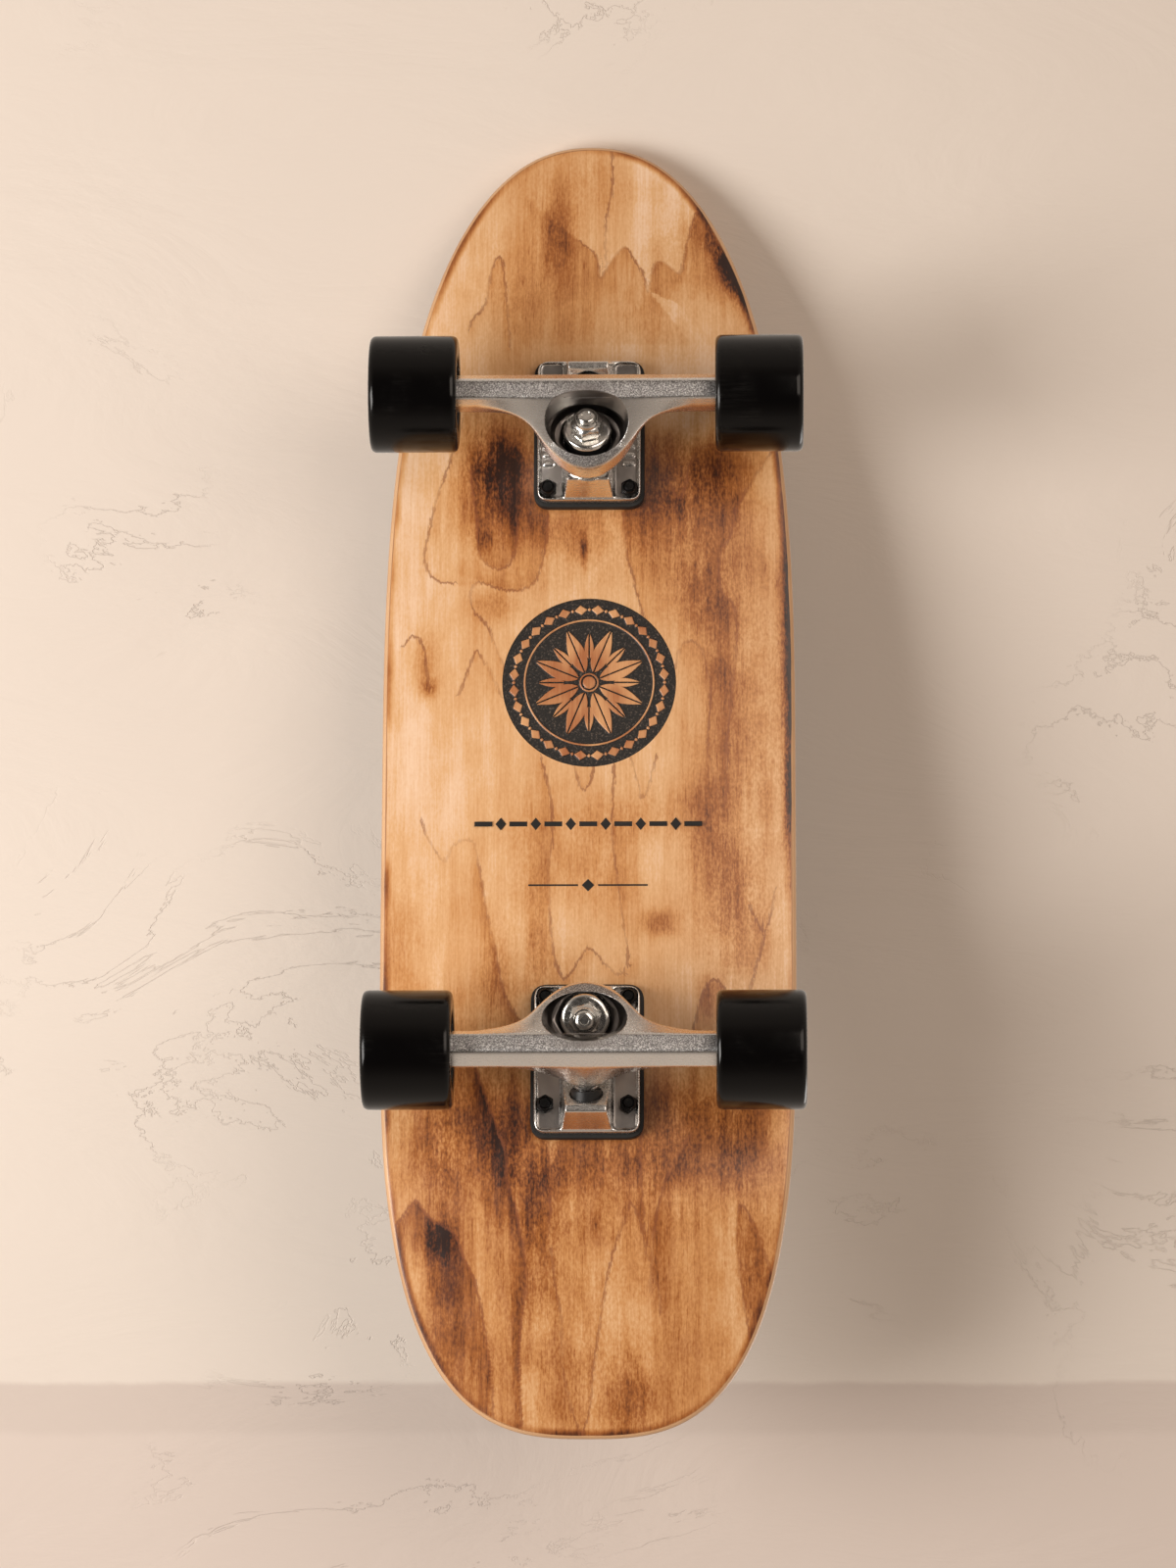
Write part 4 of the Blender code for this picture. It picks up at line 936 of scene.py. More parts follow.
INK = Polymer("ink", seen(22, 19, 17), seen(60, 50, 42), 0.5, 0.45, 2600.0, 0.03 * MM)
RUBBER = Polymer("rubber", seen(22, 21, 20), seen(78, 70, 62), 0.4, 0.62, 1500.0, 0.1 * MM)
URETHANE = Polymer("urethane", seen(17, 16, 16), seen(60, 55, 50), 0.3, 0.4, 700.0, 0.03 * MM)
TYRE = Polymer("wheel_urethane", seen(6, 5, 5), seen(40, 37, 33), 0.2, 0.12, 500.0, 0.006 * MM, 0.3)
SHIELD = Polymer("shield", seen(30, 29, 29), seen(80, 76, 70), 0.2, 0.42, 900.0, 0.03 * MM)
GROUND_STEEL = BrightSteel("ground_steel", (0.6, 0.59, 0.57), (0.42, 0.4, 0.38), 0.24)


@dataclass
class Finishes:
    """Every finish of the board, made once."""

    maple: bpy.types.Material = field(default_factory=BurntMaple().make)
    carved: bpy.types.Material = field(default_factory=CarvedWood().make)
    grip: bpy.types.Material = field(default_factory=GripSheet().make)
    aluminium: bpy.types.Material = field(default_factory=CastAluminium().make)
    plated: bpy.types.Material = field(default_factory=BrightSteel("zinc_plate").make)
    steel: bpy.types.Material = field(default_factory=GROUND_STEEL.make)
    oxide: bpy.types.Material = field(default_factory=BlackOxide().make)
    ink: bpy.types.Material = field(default_factory=INK.make)
    rubber: bpy.types.Material = field(default_factory=RUBBER.make)
    urethane: bpy.types.Material = field(default_factory=URETHANE.make)
    wheel: bpy.types.Material = field(default_factory=TYRE.make)
    shield: bpy.types.Material = field(default_factory=SHIELD.make)


# The deck


@dataclass(frozen=True)
class Patch:
    """One darker patch of the deck, in millimetres: most are a torch's scorching, and those under the trucks
    also paint the trucks' shade.

    Its strength is how dark it makes the wood, and its slant is how far it moves across for a length along.
    """

    along: float
    across: float
    half_length: float
    half_width: float
    strength: float
    slant: float = 0.0


@dataclass(frozen=True)
class GrainLine:
    """One line of the veneer's figure, through points along and across the deck in millimetres.

    Its shade is how much darker the wood is beside it: on the left of its run where that is over 0, and on
    the right where it is under 0. It falls off over the distance of its fade.
    """

    shade: float
    fade: float
    points: tuple[tuple[float, float], ...]

    def path(self, steps: int = 5) -> np.ndarray:
        """Carries a smooth curve through the points, a Catmull-Rom spline.

        Args:
            steps: How many pieces there are between two points.

        Returns:
            The path, shaped (pieces + 1, 2).
        """
        knots = np.array(self.points, dtype=float)
        knots = np.concatenate([2.0 * knots[:1] - knots[1:2], knots, 2.0 * knots[-1:] - knots[-2:-1]])
        before, start, end, after = (knots[shift : len(knots) - 3 + shift, None] for shift in range(4))
        t = (np.arange(steps) / steps)[:, None]
        bend = 2.0 * before - 5.0 * start + 4.0 * end - after
        curl = 3.0 * start - before - 3.0 * end + after
        curve = 0.5 * (2.0 * start + (end - before) * t + bend * t**2 + curl * t**3)
        return np.concatenate([curve.reshape(-1, 2), knots[-2:-1]])

    def beside(self, places: np.ndarray) -> np.ndarray:
        """Measures how far places lie from the line, over 0 on the left of its run and under 0 on the right.

        A place's nearest point on a piece A to B is A + t (B - A), with t held between 0 and 1.

        Args:
            places: The places, shaped (places, 2).

        Returns:
            The distances in millimetres.
        """
        path = self.path()
        start = path[:-1]
        run = path[1:] - start
        away = places[:, None] - start
        share = np.clip(np.sum(away * run, axis=-1) / np.sum(run * run, axis=-1), 0.0, 1.0)
        apart = away - share[..., None] * run
        distance = np.linalg.norm(apart, axis=-1)
        nearest = np.argmin(distance, axis=1)[:, None]
        left = run[:, 0] * apart[..., 1] - run[:, 1] * apart[..., 0]
        side = np.where(np.take_along_axis(left, nearest, axis=1) >= 0.0, 1.0, -1.0)
        return (np.take_along_axis(distance, nearest, axis=1) * side)[:, 0]


@dataclass
class DeckShape:
    """The deck's form, with the middle between its trucks at the root."""

    root: tuple[float, float] = (10.762 * MM, 87.25 * MM)
    width: float = 209.5 * MM
    thickness: float = 11.0 * MM
    edge_radius: float = 3.0 * MM
    nose_reach: float = 325.4 * MM
    tail_reach: float = 351.3 * MM
    tail_taper_start: float = 60.0 * MM
    nose_taper: tuple[float, float] = (2.75, 0.45)
    tail_taper: tuple[float, float] = (3.95, 0.35)
    concave_depth: float = 5.0 * MM
    concave_flat: float = 30.0 * MM
    concave_power: float = 1.5
    kick_start: float = 206.89 * MM
    kick_length: float = 36.0 * MM
    nose_kick: float = math.radians(7.0)
    tail_kick: float = math.radians(16.0)

    def side(self, reach: float, start: float, taper: tuple[float, float], count: int) -> np.ndarray:
        """Works out one end's side, w/2 (1 - s^p)^q, from its widest place to its tip.

        Args:
            reach: Where its tip is.
            start: Where its widest place is.
            taper: The powers p and q.
            count: How many points it has.

        Returns:
            The side as (along, across), shaped (count, 2).
        """
        share = np.sin(np.linspace(0.0, math.pi / 2.0, count))
        half = self.width / 2.0 * (1.0 - share ** taper[0]) ** taper[1]
        return np.stack([start + (reach - start) * share, half], axis=-1)

    def outline(self, count: int) -> np.ndarray:
        """Walks round the deck's edge in even steps.

        Args:
            count: How many points half the outline has.

        Returns:
            The closed outline, shaped (2 * count, 2), from the nose's tip by the left side.
        """
        nose = self.side(self.nose_reach, 0.0, self.nose_taper, 4000)
        tail = self.side(self.tail_reach, self.tail_taper_start, self.tail_taper, 4000)
        path = np.concatenate([nose[::-1], tail * np.array([-1.0, 1.0])])
        walked = np.concatenate([[0.0], np.cumsum(np.linalg.norm(np.diff(path, axis=0), axis=1))])
        even = np.linspace(0.0, walked[-1], count + 1)
        left = np.stack([np.interp(even, walked, path[:, 0]), np.interp(even, walked, path[:, 1])], axis=-1)
        right = left[1:-1][::-1] * np.array([1.0, -1.0])
        return np.concatenate([left, right])

    def bent(self, along: np.ndarray, across: np.ndarray, height: np.ndarray) -> np.ndarray:
        """Bends a flat board up at its kicks and its sides.

        Args:
            along: Places along the underside.
            across: Places across it.
            height: Heights over it.

        Returns:
            The points in the model's frame.
        """
        heading = np.where(along >= 0.0, 1.0, -1.0)
        bend = np.where(along >= 0.0, self.nose_kick, self.tail_kick)
        distance = np.abs(along) - self.kick_start
        slope = bend * np.clip(distance / self.kick_length, 0.0, 1.0)
        radius = self.kick_length / bend
        past = np.maximum(distance - self.kick_length, 0.0)
        run = np.where(distance <= 0.0, distance, radius * np.sin(slope) + past * np.cos(slope))
        rise = radius * (1.0 - np.cos(slope)) + past * np.sin(slope)
        span = self.width / 2.0 - self.concave_flat
        share = np.maximum(np.abs(across) - self.concave_flat, 0.0) / span
        lift = self.concave_depth * share**self.concave_power
        rise_of_side = self.concave_depth * self.concave_power * share ** (self.concave_power - 1.0)
        lean = np.where(share > 0.0, np.arctan(rise_of_side / span), 0.0) * np.sign(across)
        upward = lift + height * np.cos(lean)
        x = self.root[0] + heading * (self.kick_start + run - upward * np.sin(slope))
        y = across - height * np.sin(lean)
        return np.stack([x, y, self.root[1] + rise + upward * np.cos(slope)], axis=-1)


def drawn_in(loop: np.ndarray, inset: np.ndarray) -> np.ndarray:
    """Offsets a closed loop inwards by each of some insets, along its normals.

    Args:
        loop: The loop, shaped (points, 2).
        inset: The insets, shaped (rings,).

    Returns:
        The loops, shaped (rings, points, 2).
    """
    run = np.roll(loop, -1, axis=0) - np.roll(loop, 1, axis=0)
    run /= np.linalg.norm(run, axis=1, keepdims=True)
    inward = np.stack([run[:, 1], -run[:, 0]], axis=-1)
    inward *= -np.sign(np.sum(inward * (loop - loop.mean(axis=0)), axis=1, keepdims=True))
    return loop + inset[:, None, None] * inward


@dataclass(frozen=True)
class Petals:
    """A ring of petals, in millimetres.

    Each is a lens about its middle angle, whose half width is w sin(pi s^0.8) at a share s of its length,
    and has a fine gap along its middle.
    """

    count: int
    offset: float
    start: float
    end: float
    width: float
    gap: float = 0.35

    def inside(self, radius: np.ndarray, angle: np.ndarray) -> np.ndarray:
        """Measures how far places lie inside a petal.

        Args:
            radius: Distances from the middle.
            angle: Angles in radians.

        Returns:
            A value that is over 0 on the petals, in millimetres from their edges.
        """
        share = np.clip((radius - self.start) / (self.end - self.start), 0.0, 1.0)
        half = self.width * np.sin(math.pi * share**0.8)
        across = np.abs(angle_off(angle, self.count, self.offset)) * radius
        return np.minimum(half - across, across - self.gap)


@dataclass
class Deck:
    """The wooden deck with its medallion, its printed marks and the grip tape on top."""

    finishes: Finishes
    shape: DeckShape = field(default_factory=DeckShape)
    outline_points: int = 440
    centre_line: tuple[float, float] = (-262.0 * MM, 235.0 * MM)
    grip_inset: float = 4.2 * MM
    grip_thickness: float = 0.8 * MM
    grip_edge: float = 0.15 * MM
    gap: float = GAP * MM
    medallion_along: float = 33.2 * MM
    medallion_across: float = 0.2 * MM
    medallion_radius: float = 44.0 * MM
    medallion_depth: float = 0.9 * MM
    medallion_gap: float = 0.02 * MM
    border_radius: float = 38.2
    large_petals: Petals = Petals(8, 0.0, 5.5, 30.0, 4.4)
    small_petals: Petals = Petals(8, 0.5, 12.0, 26.5, 2.3)
    row_along: float = -40.4
    rule_along: float = -72.0
    mark_spacing: float = 8.8
    patches: tuple[Patch, ...] = (
        Patch(272, -18, 19, 8, 0.26),
        Patch(262, -16, 30, 13, 0.12),
        Patch(252, 72, 20, 5, 0.7, -0.46),
        Patch(256, 67, 30, 12, 0.24, -0.46),
        Patch(300, -6, 20, 30, 0.1),
        Patch(262, 40, 24, 14, 0.1),
        Patch(248, -40, 26, 14, 0.1),
        Patch(226, -18, 20, 34, 0.05),
        Patch(228, 30, 20, 26, 0.08),
        # The patches from here to (128, 60) lie under the front truck: they paint its shade on the wood, as
        # well as some scorching.
        Patch(146, -46, 22, 15, 0.6),
        Patch(136, -44, 38, 24, 0.3),
        Patch(141, 34, 22, 22, 0.42),
        Patch(140, 62, 20, 14, 0.3),
        Patch(128, 60, 44, 30, 0.2),
        Patch(110, 24, 18, 36, 0.16),
        Patch(112, -14, 16, 14, 0.16),
        Patch(77, 58, 20, 16, 0.24),
        Patch(84, 62, 42, 24, 0.1),
        Patch(104, -3, 8, 1.7, 0.45),
        Patch(108, -54, 7, 4, 0.36),
        Patch(73, -48, 8, 10, 0.2),
        Patch(45, -83, 15, 6, 0.22),
        Patch(31, -81, 5, 4, 0.36),
        Patch(43, 64, 18, 6, 0.16),
        Patch(60, 100, 46, 3.2, 0.45),
        Patch(6, 86, 82, 16, 0.26),
        Patch(14, 66, 60, 12, 0.14),
        Patch(-22, 102, 42, 3.4, 0.7),
        Patch(-46, 61, 34, 11, 0.26),
        Patch(-76, 72, 34, 16, 0.16),
        Patch(-36, 26, 12, 34, 0.14),
        Patch(-60, 2, 26, 26, 0.15),
        Patch(-92, 36, 6.5, 8, 0.3),
        Patch(-100, -92, 32, 11, 0.1),
        Patch(-118, -45, 26, 7, 0.24),
        Patch(-118, -22, 16, 18, 0.14),
        Patch(-60, -30, 34, 9, 0.14),
        Patch(-99, -25, 24, 5, 0.2),
        Patch(-130, 62, 12, 6, 0.2),
        Patch(-98, 76, 30, 18, 0.2),
        Patch(-262, 0, 110, 130, 0.09),
        Patch(108, 0, 34, 44, 0.06),
        # The patches from here to (-206, -40) lie under the rear truck: they paint its shade and the dimmer
        # light there on the wood, as well as some scorching.
        Patch(-196, 30, 34, 70, 0.08),
        Patch(-190, -56, 46, 40, 0.3),
        Patch(-206, -72, 34, 14, 0.2),
        Patch(-196, 56, 34, 44, 0.3),
        Patch(-206, 78, 34, 14, 0.2),
        Patch(-212, 6, 32, 46, 0.24),
        Patch(-206, -40, 30, 12, 0.16),
        Patch(-252, -74, 12, 9, 0.46),
        Patch(-284, -72, 36, 13, 0.26),
        Patch(-250, -24, 50, 12, 0.22),
        Patch(-300, -42, 44, 10, 0.12),
        Patch(-292, 0, 56, 34, 0.13),
        Patch(-330, 6, 26, 36, 0.14),
        Patch(-262, 84, 26, 10, 0.24),
        Patch(-290, 60, 44, 34, 0.07),
        Patch(-334, 24, 17, 12, 0.17),
        Patch(-316, -60, 20, 14, 0.1),
    )
    figure: tuple[GrainLine, ...] = (
        GrainLine(0.12, 8.0, (
            (222, -62), (226, -61), (235, -54), (246, -52), (257, -50), (262, -47), (257, -45),
            (237, -43), (212, -41),
        )),
        GrainLine(0.26, 22.0, (
            (270, -5), (262, 3), (250, 5), (254, 8), (262, 13), (267, 18), (261, 22), (252, 27),
            (242, 30), (253, 32), (259, 36), (252, 46), (260, 48), (275, 51), (286, 54),
        )),
        GrainLine(0.05, 8.0, ((322, 11), (300, 11), (282, 8), (256, 8))),
        GrainLine(-0.1, 12.0, (
            (172, -65), (155, -70), (131, -78), (117, -81), (102, -84), (92, -82), (87, -76), (86, -69),
        )),
        GrainLine(-0.18, 12.0, (
            (146, -61), (130, -59), (117, -57), (102, -56), (95, -51), (93, -45), (97, -40), (108, -37),
            (137, -37),
        )),
        GrainLine(0.16, 14.0, (
            (138, -21), (124, -21), (108, -22), (97, -24), (87, -27), (82, -34), (82, -43), (85, -51),
        )),
        GrainLine(0.1, 6.0, (
            (85, -51), (86, -57), (82, -60), (75, -60), (69, -57), (64, -52), (57, -49), (36, -41),
        )),
        GrainLine(0.08, 8.0, ((54, -94), (59, -89), (52, -84), (39, -82), (31, -81))),
        GrainLine(0.06, 8.0, ((28, -66), (32, -64), (44, -60), (50, -57), (46, -54), (39, -50), (26, -44))),
        GrainLine(-0.12, 8.0, ((134, 16), (123, 17), (111, 18), (100, 19), (91, 22), (81, 24), (66, 28))),
        GrainLine(0.14, 14.0, (
            (156, 93), (140, 83), (125, 75), (111, 72), (102, 67), (91, 66), (80, 68), (73, 74), (57, 75),
            (36, 73), (0, 70), (-12, 70),
        )),
        GrainLine(0.1, 8.0, (
            (160, 31), (147, 36), (138, 41), (130, 46), (137, 49), (148, 51), (157, 57), (159, 64),
        )),
        GrainLine(0.05, 8.0, (
            (38, 43), (50, 46), (55, 51), (51, 57), (41, 60), (28, 62), (2, 60), (-9, 62), (-24, 65),
            (-31, 68), (-19, 70), (6, 70),
        )),
        GrainLine(-0.05, 8.0, ((-8, -8), (-18, -5), (-23, -3), (-19, 1), (-8, 3))),
        GrainLine(-0.05, 8.0, ((-6, 21), (-19, 25), (-28, 27), (-22, 30), (-6, 34))),
        GrainLine(0.04, 8.0, (
            (-38, -84), (-45, -82), (-55, -76), (-59, -72), (-51, -68), (-48, -61), (-52, -57),
            (-67, -54),
        )),
        GrainLine(0.26, 6.0, ((-67, -54), (-90, -50), (-107, -46), (-123, -43), (-135, -38), (-146, -31))),
        GrainLine(0.1, 8.0, (
            (-6, -24), (-27, -19), (-48, -18), (-62, -20), (-87, -19), (-107, -17), (-119, -13),
            (-118, -9), (-108, -3), (-104, 1), (-113, 9), (-118, 16), (-114, 20),
        )),
        GrainLine(-0.04, 8.0, ((-10, 13), (-45, 12), (-62, 14), (-87, 17), (-107, 20), (-117, 18))),
        GrainLine(0.06, 8.0, ((-74, 94), (-84, 92), (-107, 86), (-136, 78))),
        GrainLine(0.1, 3.0, ((-82, 81), (-95, 87))),
        GrainLine(0.2, 9.0, ((-150, 52), (-140, 54), (-127, 58), (-120, 63), (-126, 69), (-140, 72))),
        GrainLine(0.34, 14.0, (
            (-246, -96), (-236, -89), (-232, -85), (-239, -80), (-244, -73), (-249, -66), (-261, -61),
            (-272, -56), (-285, -53), (-304, -50), (-319, -48), (-340, -47),
        )),
        GrainLine(0.46, 6.5, (
            (-160, -57), (-182, -50), (-201, -43), (-211, -40), (-221, -40), (-234, -36), (-249, -33),
            (-264, -31), (-280, -31), (-294, -33), (-311, -34), (-345, -33),
        )),
        GrainLine(0.22, 8.0, ((-190, -22), (-206, -19), (-225, -18), (-248, -19))),
        GrainLine(0.12, 8.0, ((-198, 27), (-222, 27), (-242, 28), (-258, 29))),
        GrainLine(-0.1, 6.0, (
            (-350, -3), (-334, 1), (-314, 3), (-294, 6), (-274, 9), (-257, 13), (-241, 19), (-233, 22),
            (-246, 27), (-261, 30), (-275, 35), (-288, 36),
        )),
        GrainLine(-0.14, 12.0, ((-200, 50), (-208, 46), (-222, 39), (-242, 34), (-276, 31))),
        GrainLine(0.2, 9.0, (
            (-306, 81), (-291, 79), (-271, 76), (-251, 74), (-234, 76), (-245, 83), (-262, 89),
            (-272, 93),
        )),
        GrainLine(0.08, 8.0, ((-256, -18), (-274, -16), (-291, -13), (-311, -13), (-332, -9), (-348, -4))),
    )
    line_reach: float = 30.0

    def centre_of(self, loop: np.ndarray) -> np.ndarray:
        """Draws a loop's points straight in to the deck's centre line."""
        return np.stack([np.clip(loop[:, 0], *self.centre_line), np.zeros(len(loop))], axis=-1)

    def body(self) -> np.ndarray:
        """Works out the deck's whole surface.

        Rings run from the middle of the underside out to the edge, round it, and in over the top. An inner
        ring lies at a share of the way from a centre line to the innermost loop of the edge.

        Returns:
            The flat board's (along, across, height, distance from the edge), shaped (rings, points, 4).
        """
        loop = self.shape.outline(self.outline_points)
        radius = self.shape.edge_radius
        thick = self.shape.thickness
        turn = np.linspace(0.0, math.pi / 2.0, 8)
        inset = np.concatenate([radius * (1.0 - np.sin(turn)), radius * (1.0 - np.cos(turn))])
        height = np.concatenate([radius * (1.0 - np.cos(turn)), thick - radius * (1.0 - np.sin(turn))])
        edge = drawn_in(loop, inset)
        inner = drawn_in(loop, np.array([radius]))[0]
        centre = self.centre_of(inner)
        under = centre + np.linspace(0.0, 1.0, 62)[:-1, None, None] * (inner - centre)
        over = centre + np.linspace(1.0, 0.0, 14)[1:, None, None] * (inner - centre)
        flat = np.concatenate([under, edge, over])
        heights = np.concatenate([np.zeros(len(under)), height, np.full(len(over), thick)])
        depth = np.concatenate([np.full(len(under), 1.0), inset, np.full(len(over), 1.0)])
        rows = np.broadcast_to(heights[:, None, None], (*flat.shape[:2], 1))
        from_edge = np.broadcast_to(depth[:, None, None], (*flat.shape[:2], 1)).copy()
        from_edge[: len(under), :, 0] = radius + np.linalg.norm(inner - under, axis=-1)
        return np.concatenate([flat, rows, from_edge], axis=-1)

    def scorched_and_shaded(self, along: np.ndarray, across: np.ndarray) -> np.ndarray:
        """Adds up the patches, scorching and painted shade under the trucks, each strength * exp(-|u|^2.4 -
        |v|^2.4) in its own slanted axes.

        Args:
            along: Places along the deck in metres.
            across: Places across it in metres.

        Returns:
            How dark the scorching and the painted shade make each place.
        """
        total = np.zeros_like(along)
        for patch in self.patches:
            u = (along / MM - patch.along) / patch.half_length
            v = (across / MM - patch.across - patch.slant * (along / MM - patch.along)) / patch.half_width
            wobble = 1.0 + 0.18 * np.sin(along / MM * 0.21 + patch.across)
            wobble += 0.12 * np.sin(across / MM * 0.9)
            total += patch.strength * np.exp(-((np.abs(u) ** 2.4 + np.abs(v) ** 2.4) * wobble))
        return total

    def figured(self, along: np.ndarray, across: np.ndarray) -> tuple[np.ndarray, np.ndarray, np.ndarray]:
        """Measures places against the figure's lines.

        Beside each line the wood is darker by |shade| exp(-distance / fade), and these add up.

        Args:
            along: Places along the deck in metres.
            across: Places across it in metres.

        Returns:
            The distance to the nearest line in millimetres, over 0 on its left, the same without its sign,
            and the shade.
        """
        places = np.stack([along, across], axis=-1).reshape(-1, 2) / MM
        offset = np.full(len(places), self.line_reach)
        shade = np.zeros(len(places))
        for line in self.figure:
            corners = np.array(line.points, dtype=float)
            near = np.all(places > corners.min(axis=0) - self.line_reach, axis=1)
            near &= np.all(places < corners.max(axis=0) + self.line_reach, axis=1)
            beside = line.beside(places[near])
            offset[near] = np.where(np.abs(beside) < np.abs(offset[near]), beside, offset[near])
            side = ease(beside * math.copysign(1.0, line.shade) / 1.4 + 0.5)
            shade[near] += abs(line.shade) * side * np.exp(-np.abs(beside) / line.fade)
        return offset.reshape(along.shape), np.abs(offset).reshape(along.shape), shade.reshape(along.shape)

    def face_marks(self, along: np.ndarray, across: np.ndarray) -> dict[str, np.ndarray]:
        """Works out what the wood's finish reads of its face.

        Args:
            along: Places along the deck in metres.
            across: Places across it in metres.

        Returns:
            The scorching with the painted shade under the trucks, and the figure's lines and shade, by the
            attributes' names.
        """
        offset, nearness, shade = self.figured(along, across)
        return {"burn_and_shade": self.scorched_and_shaded(along, across), "offset": offset, "nearness": nearness, "shade": shade}

    def build(self) -> None:
        """Builds the deck and what is on it."""
        along, across, height, rim = np.moveaxis(self.body(), -1, 0)
        points = self.shape.bent(along, across, height)
        level = height / self.shape.thickness
        solid = skin("deck_wood", points, height=level, rim=rim, **self.face_marks(along, across))
        wood = carved("deck_wood", solid, [(Cut.TAKE, self.recess())])
        self.mend(wood)
        soften(wood, 40.0)
        show("deck_wood", wood, self.finishes.maple, BOARD, ("deck",))
        self.build_medallion()
        self.build_marks()
        self.build_grip()

    def medallion_middle(self) -> Vector:
        """Returns the medallion's middle on the deck's underside."""
        return Vector((self.shape.root[0] + self.medallion_along, self.medallion_across, self.shape.root[1]))

    def recess(self) -> bpy.types.Mesh:
        """Makes the shallow round cutter that the medallion lies in.

        Returns:
            The cutter.
        """
        radius = self.medallion_radius
        deep = self.medallion_depth
        profile = np.array([[0.0, -1.0 * MM], [radius, -1.0 * MM], [radius, deep], [0.0, deep]])
        place = Matrix.Translation(self.medallion_middle())
        return skin("recess", moved(revolved(profile, 180), place))

    def mend(self, mesh: bpy.types.Mesh) -> None:
        """Gives the points that the recess's edge brought the wood's marks of the face round them.

        Args:
            mesh: The deck with its recess.
        """
        count = len(mesh.vertices)
        places = np.empty(count * 3, dtype=np.float32)
        mesh.vertices.foreach_get("co", places)
        places = places.reshape(-1, 3)
        centre = np.array(self.medallion_middle())[:2]
        near = np.linalg.norm(places[:, :2] - centre, axis=1) < self.medallion_radius + 0.5 * MM
        near &= places[:, 2] < self.shape.root[1] + 2.0 * MM
        along = places[:, 0].astype(float) - self.shape.root[0]
        across = places[:, 1].astype(float)
        fillings = self.face_marks(along, across)
        fillings |= {"height": np.zeros(count), "rim": np.full(count, 50.0 * MM)}
        for mark, filling in fillings.items():
            values = np.empty(count, dtype=np.float32)
            data = mesh.attributes[mark].data
            data.foreach_get("value", values)
            data.foreach_set("value", np.where(near, filling, values).astype(np.float32))

    def motif(self, radius: np.ndarray, angle: np.ndarray) -> np.ndarray:
        """Draws the medallion's lands: a rosette in a ring, in a border of lozenges and beads.

        A lozenge is where |u| + |v| < 1, and a bead is where u^2 + v^2 < 1.

        Args:
            radius: Distances from the middle in millimetres.
            angle: Angles in radians.

        Returns:
            A value that is over 0 on the lands, in millimetres from their edges.
        """
        outwards = radius - self.border_radius
        border = 2.5 - np.abs(outwards) - 0.75 * np.abs(angle_off(angle, 28)) * radius
        beads = 0.75 - np.hypot(outwards, angle_off(angle, 28, 0.5) * radius)
        ring = 0.45 - np.abs(radius - 32.6)
        large = self.large_petals.inside(radius, angle)
        small = self.small_petals.inside(radius, angle)
        centre = np.maximum(3.1 - radius, 0.4 - np.abs(radius - 4.4))
        return np.maximum.reduce([border, beads, ring, large, small, centre])

    def build_medallion(self) -> None:
        """Builds the carved disc: a ground pebbled by crossed sine waves, with lands flush with the face."""
        rings, sides = 104, 720
        reach = self.medallion_radius - self.medallion_gap
        floor = self.medallion_depth - self.medallion_gap
        spread, angle = np.meshgrid(
            np.linspace(0.0, reach, rings), np.arange(sides) * (FULL_TURN / sides), indexing="ij"
        )
        land = ease(self.motif(spread / MM, angle) / 0.36 + 0.5)
        x = spread * np.cos(angle)
        y = spread * np.sin(angle)
        pebbles = np.sin(x / MM * 5.1 + 2.0 * np.sin(y / MM * 3.3))
        pebbles *= np.sin(y / MM * 4.7 + 2.0 * np.sin(x / MM * 2.9))
        depth = self.medallion_depth - 0.2 * MM
        carved_to = (1.0 - land) * (depth + 0.07 * MM * pebbles)
        carved_to[-1] = depth
        front = np.stack([x, y, carved_to], axis=-1)
        back = revolved(np.array([(reach, floor), (0.0, floor)]), sides)
        points = moved(np.concatenate([front, back]), Matrix.Translation(self.medallion_middle()))
        marks = np.concatenate([land, np.zeros((2, sides))])
        mesh = skin("medallion", points, crisp=60.0, land=marks)
        show("medallion", mesh, self.finishes.carved, BOARD)

    def build_marks(self) -> None:
        """Builds the printed row of bars and lozenges, and the rule with a lozenge below it.

        Each mark is a rhombus or a bar of four corners, set at its place and given a low and a high outline.
        """
        rhombus = np.array([(1.0, 0.0), (0.0, 1.0), (-1.0, 0.0), (0.0, -1.0)])
        bar = np.array([(1.0, 1.0), (-1.0, 1.0), (-1.0, -1.0), (1.0, -1.0)])
        row = [(self.row_along, (index - 6) * self.mark_spacing) for index in range(13)]
        marks = [
            rhombus * (3.3, 2.7) + np.array(row[1::2])[:, None],
            bar * (1.25, 4.5) + np.array(row[0::2])[:, None],
            bar * (0.45, 12.5) + np.array([(self.rule_along, -17.5), (self.rule_along, 17.5)])[:, None],
            rhombus * (3.2, 3.2) + np.array([(self.rule_along, 0.0)])[:, None],
        ]
        outlines = np.concatenate(marks)
        column = np.ones((*outlines.shape[:2], 1))
        low, high = (np.concatenate([outlines, height * column], axis=-1) for height in (-0.04, 0.02))
        corners = np.stack([low, high], axis=1).reshape(-1, 3) * MM
        corners += np.array([self.shape.root[0], 0.0, self.shape.root[1]])
        side = np.array([(0, 1, 5, 4), (1, 2, 6, 5), (2, 3, 7, 6), (3, 0, 4, 7), (3, 2, 1, 0), (4, 5, 6, 7)])
        faces = (side[None] + 8 * np.arange(len(outlines))[:, None, None]).reshape(-1, 4)
        mesh = bpy.data.meshes.new("printed_marks")
        mesh.from_pydata(corners.tolist(), [], faces.tolist())
        close_up(mesh)
        show("printed_marks", mesh, self.finishes.ink, BOARD)

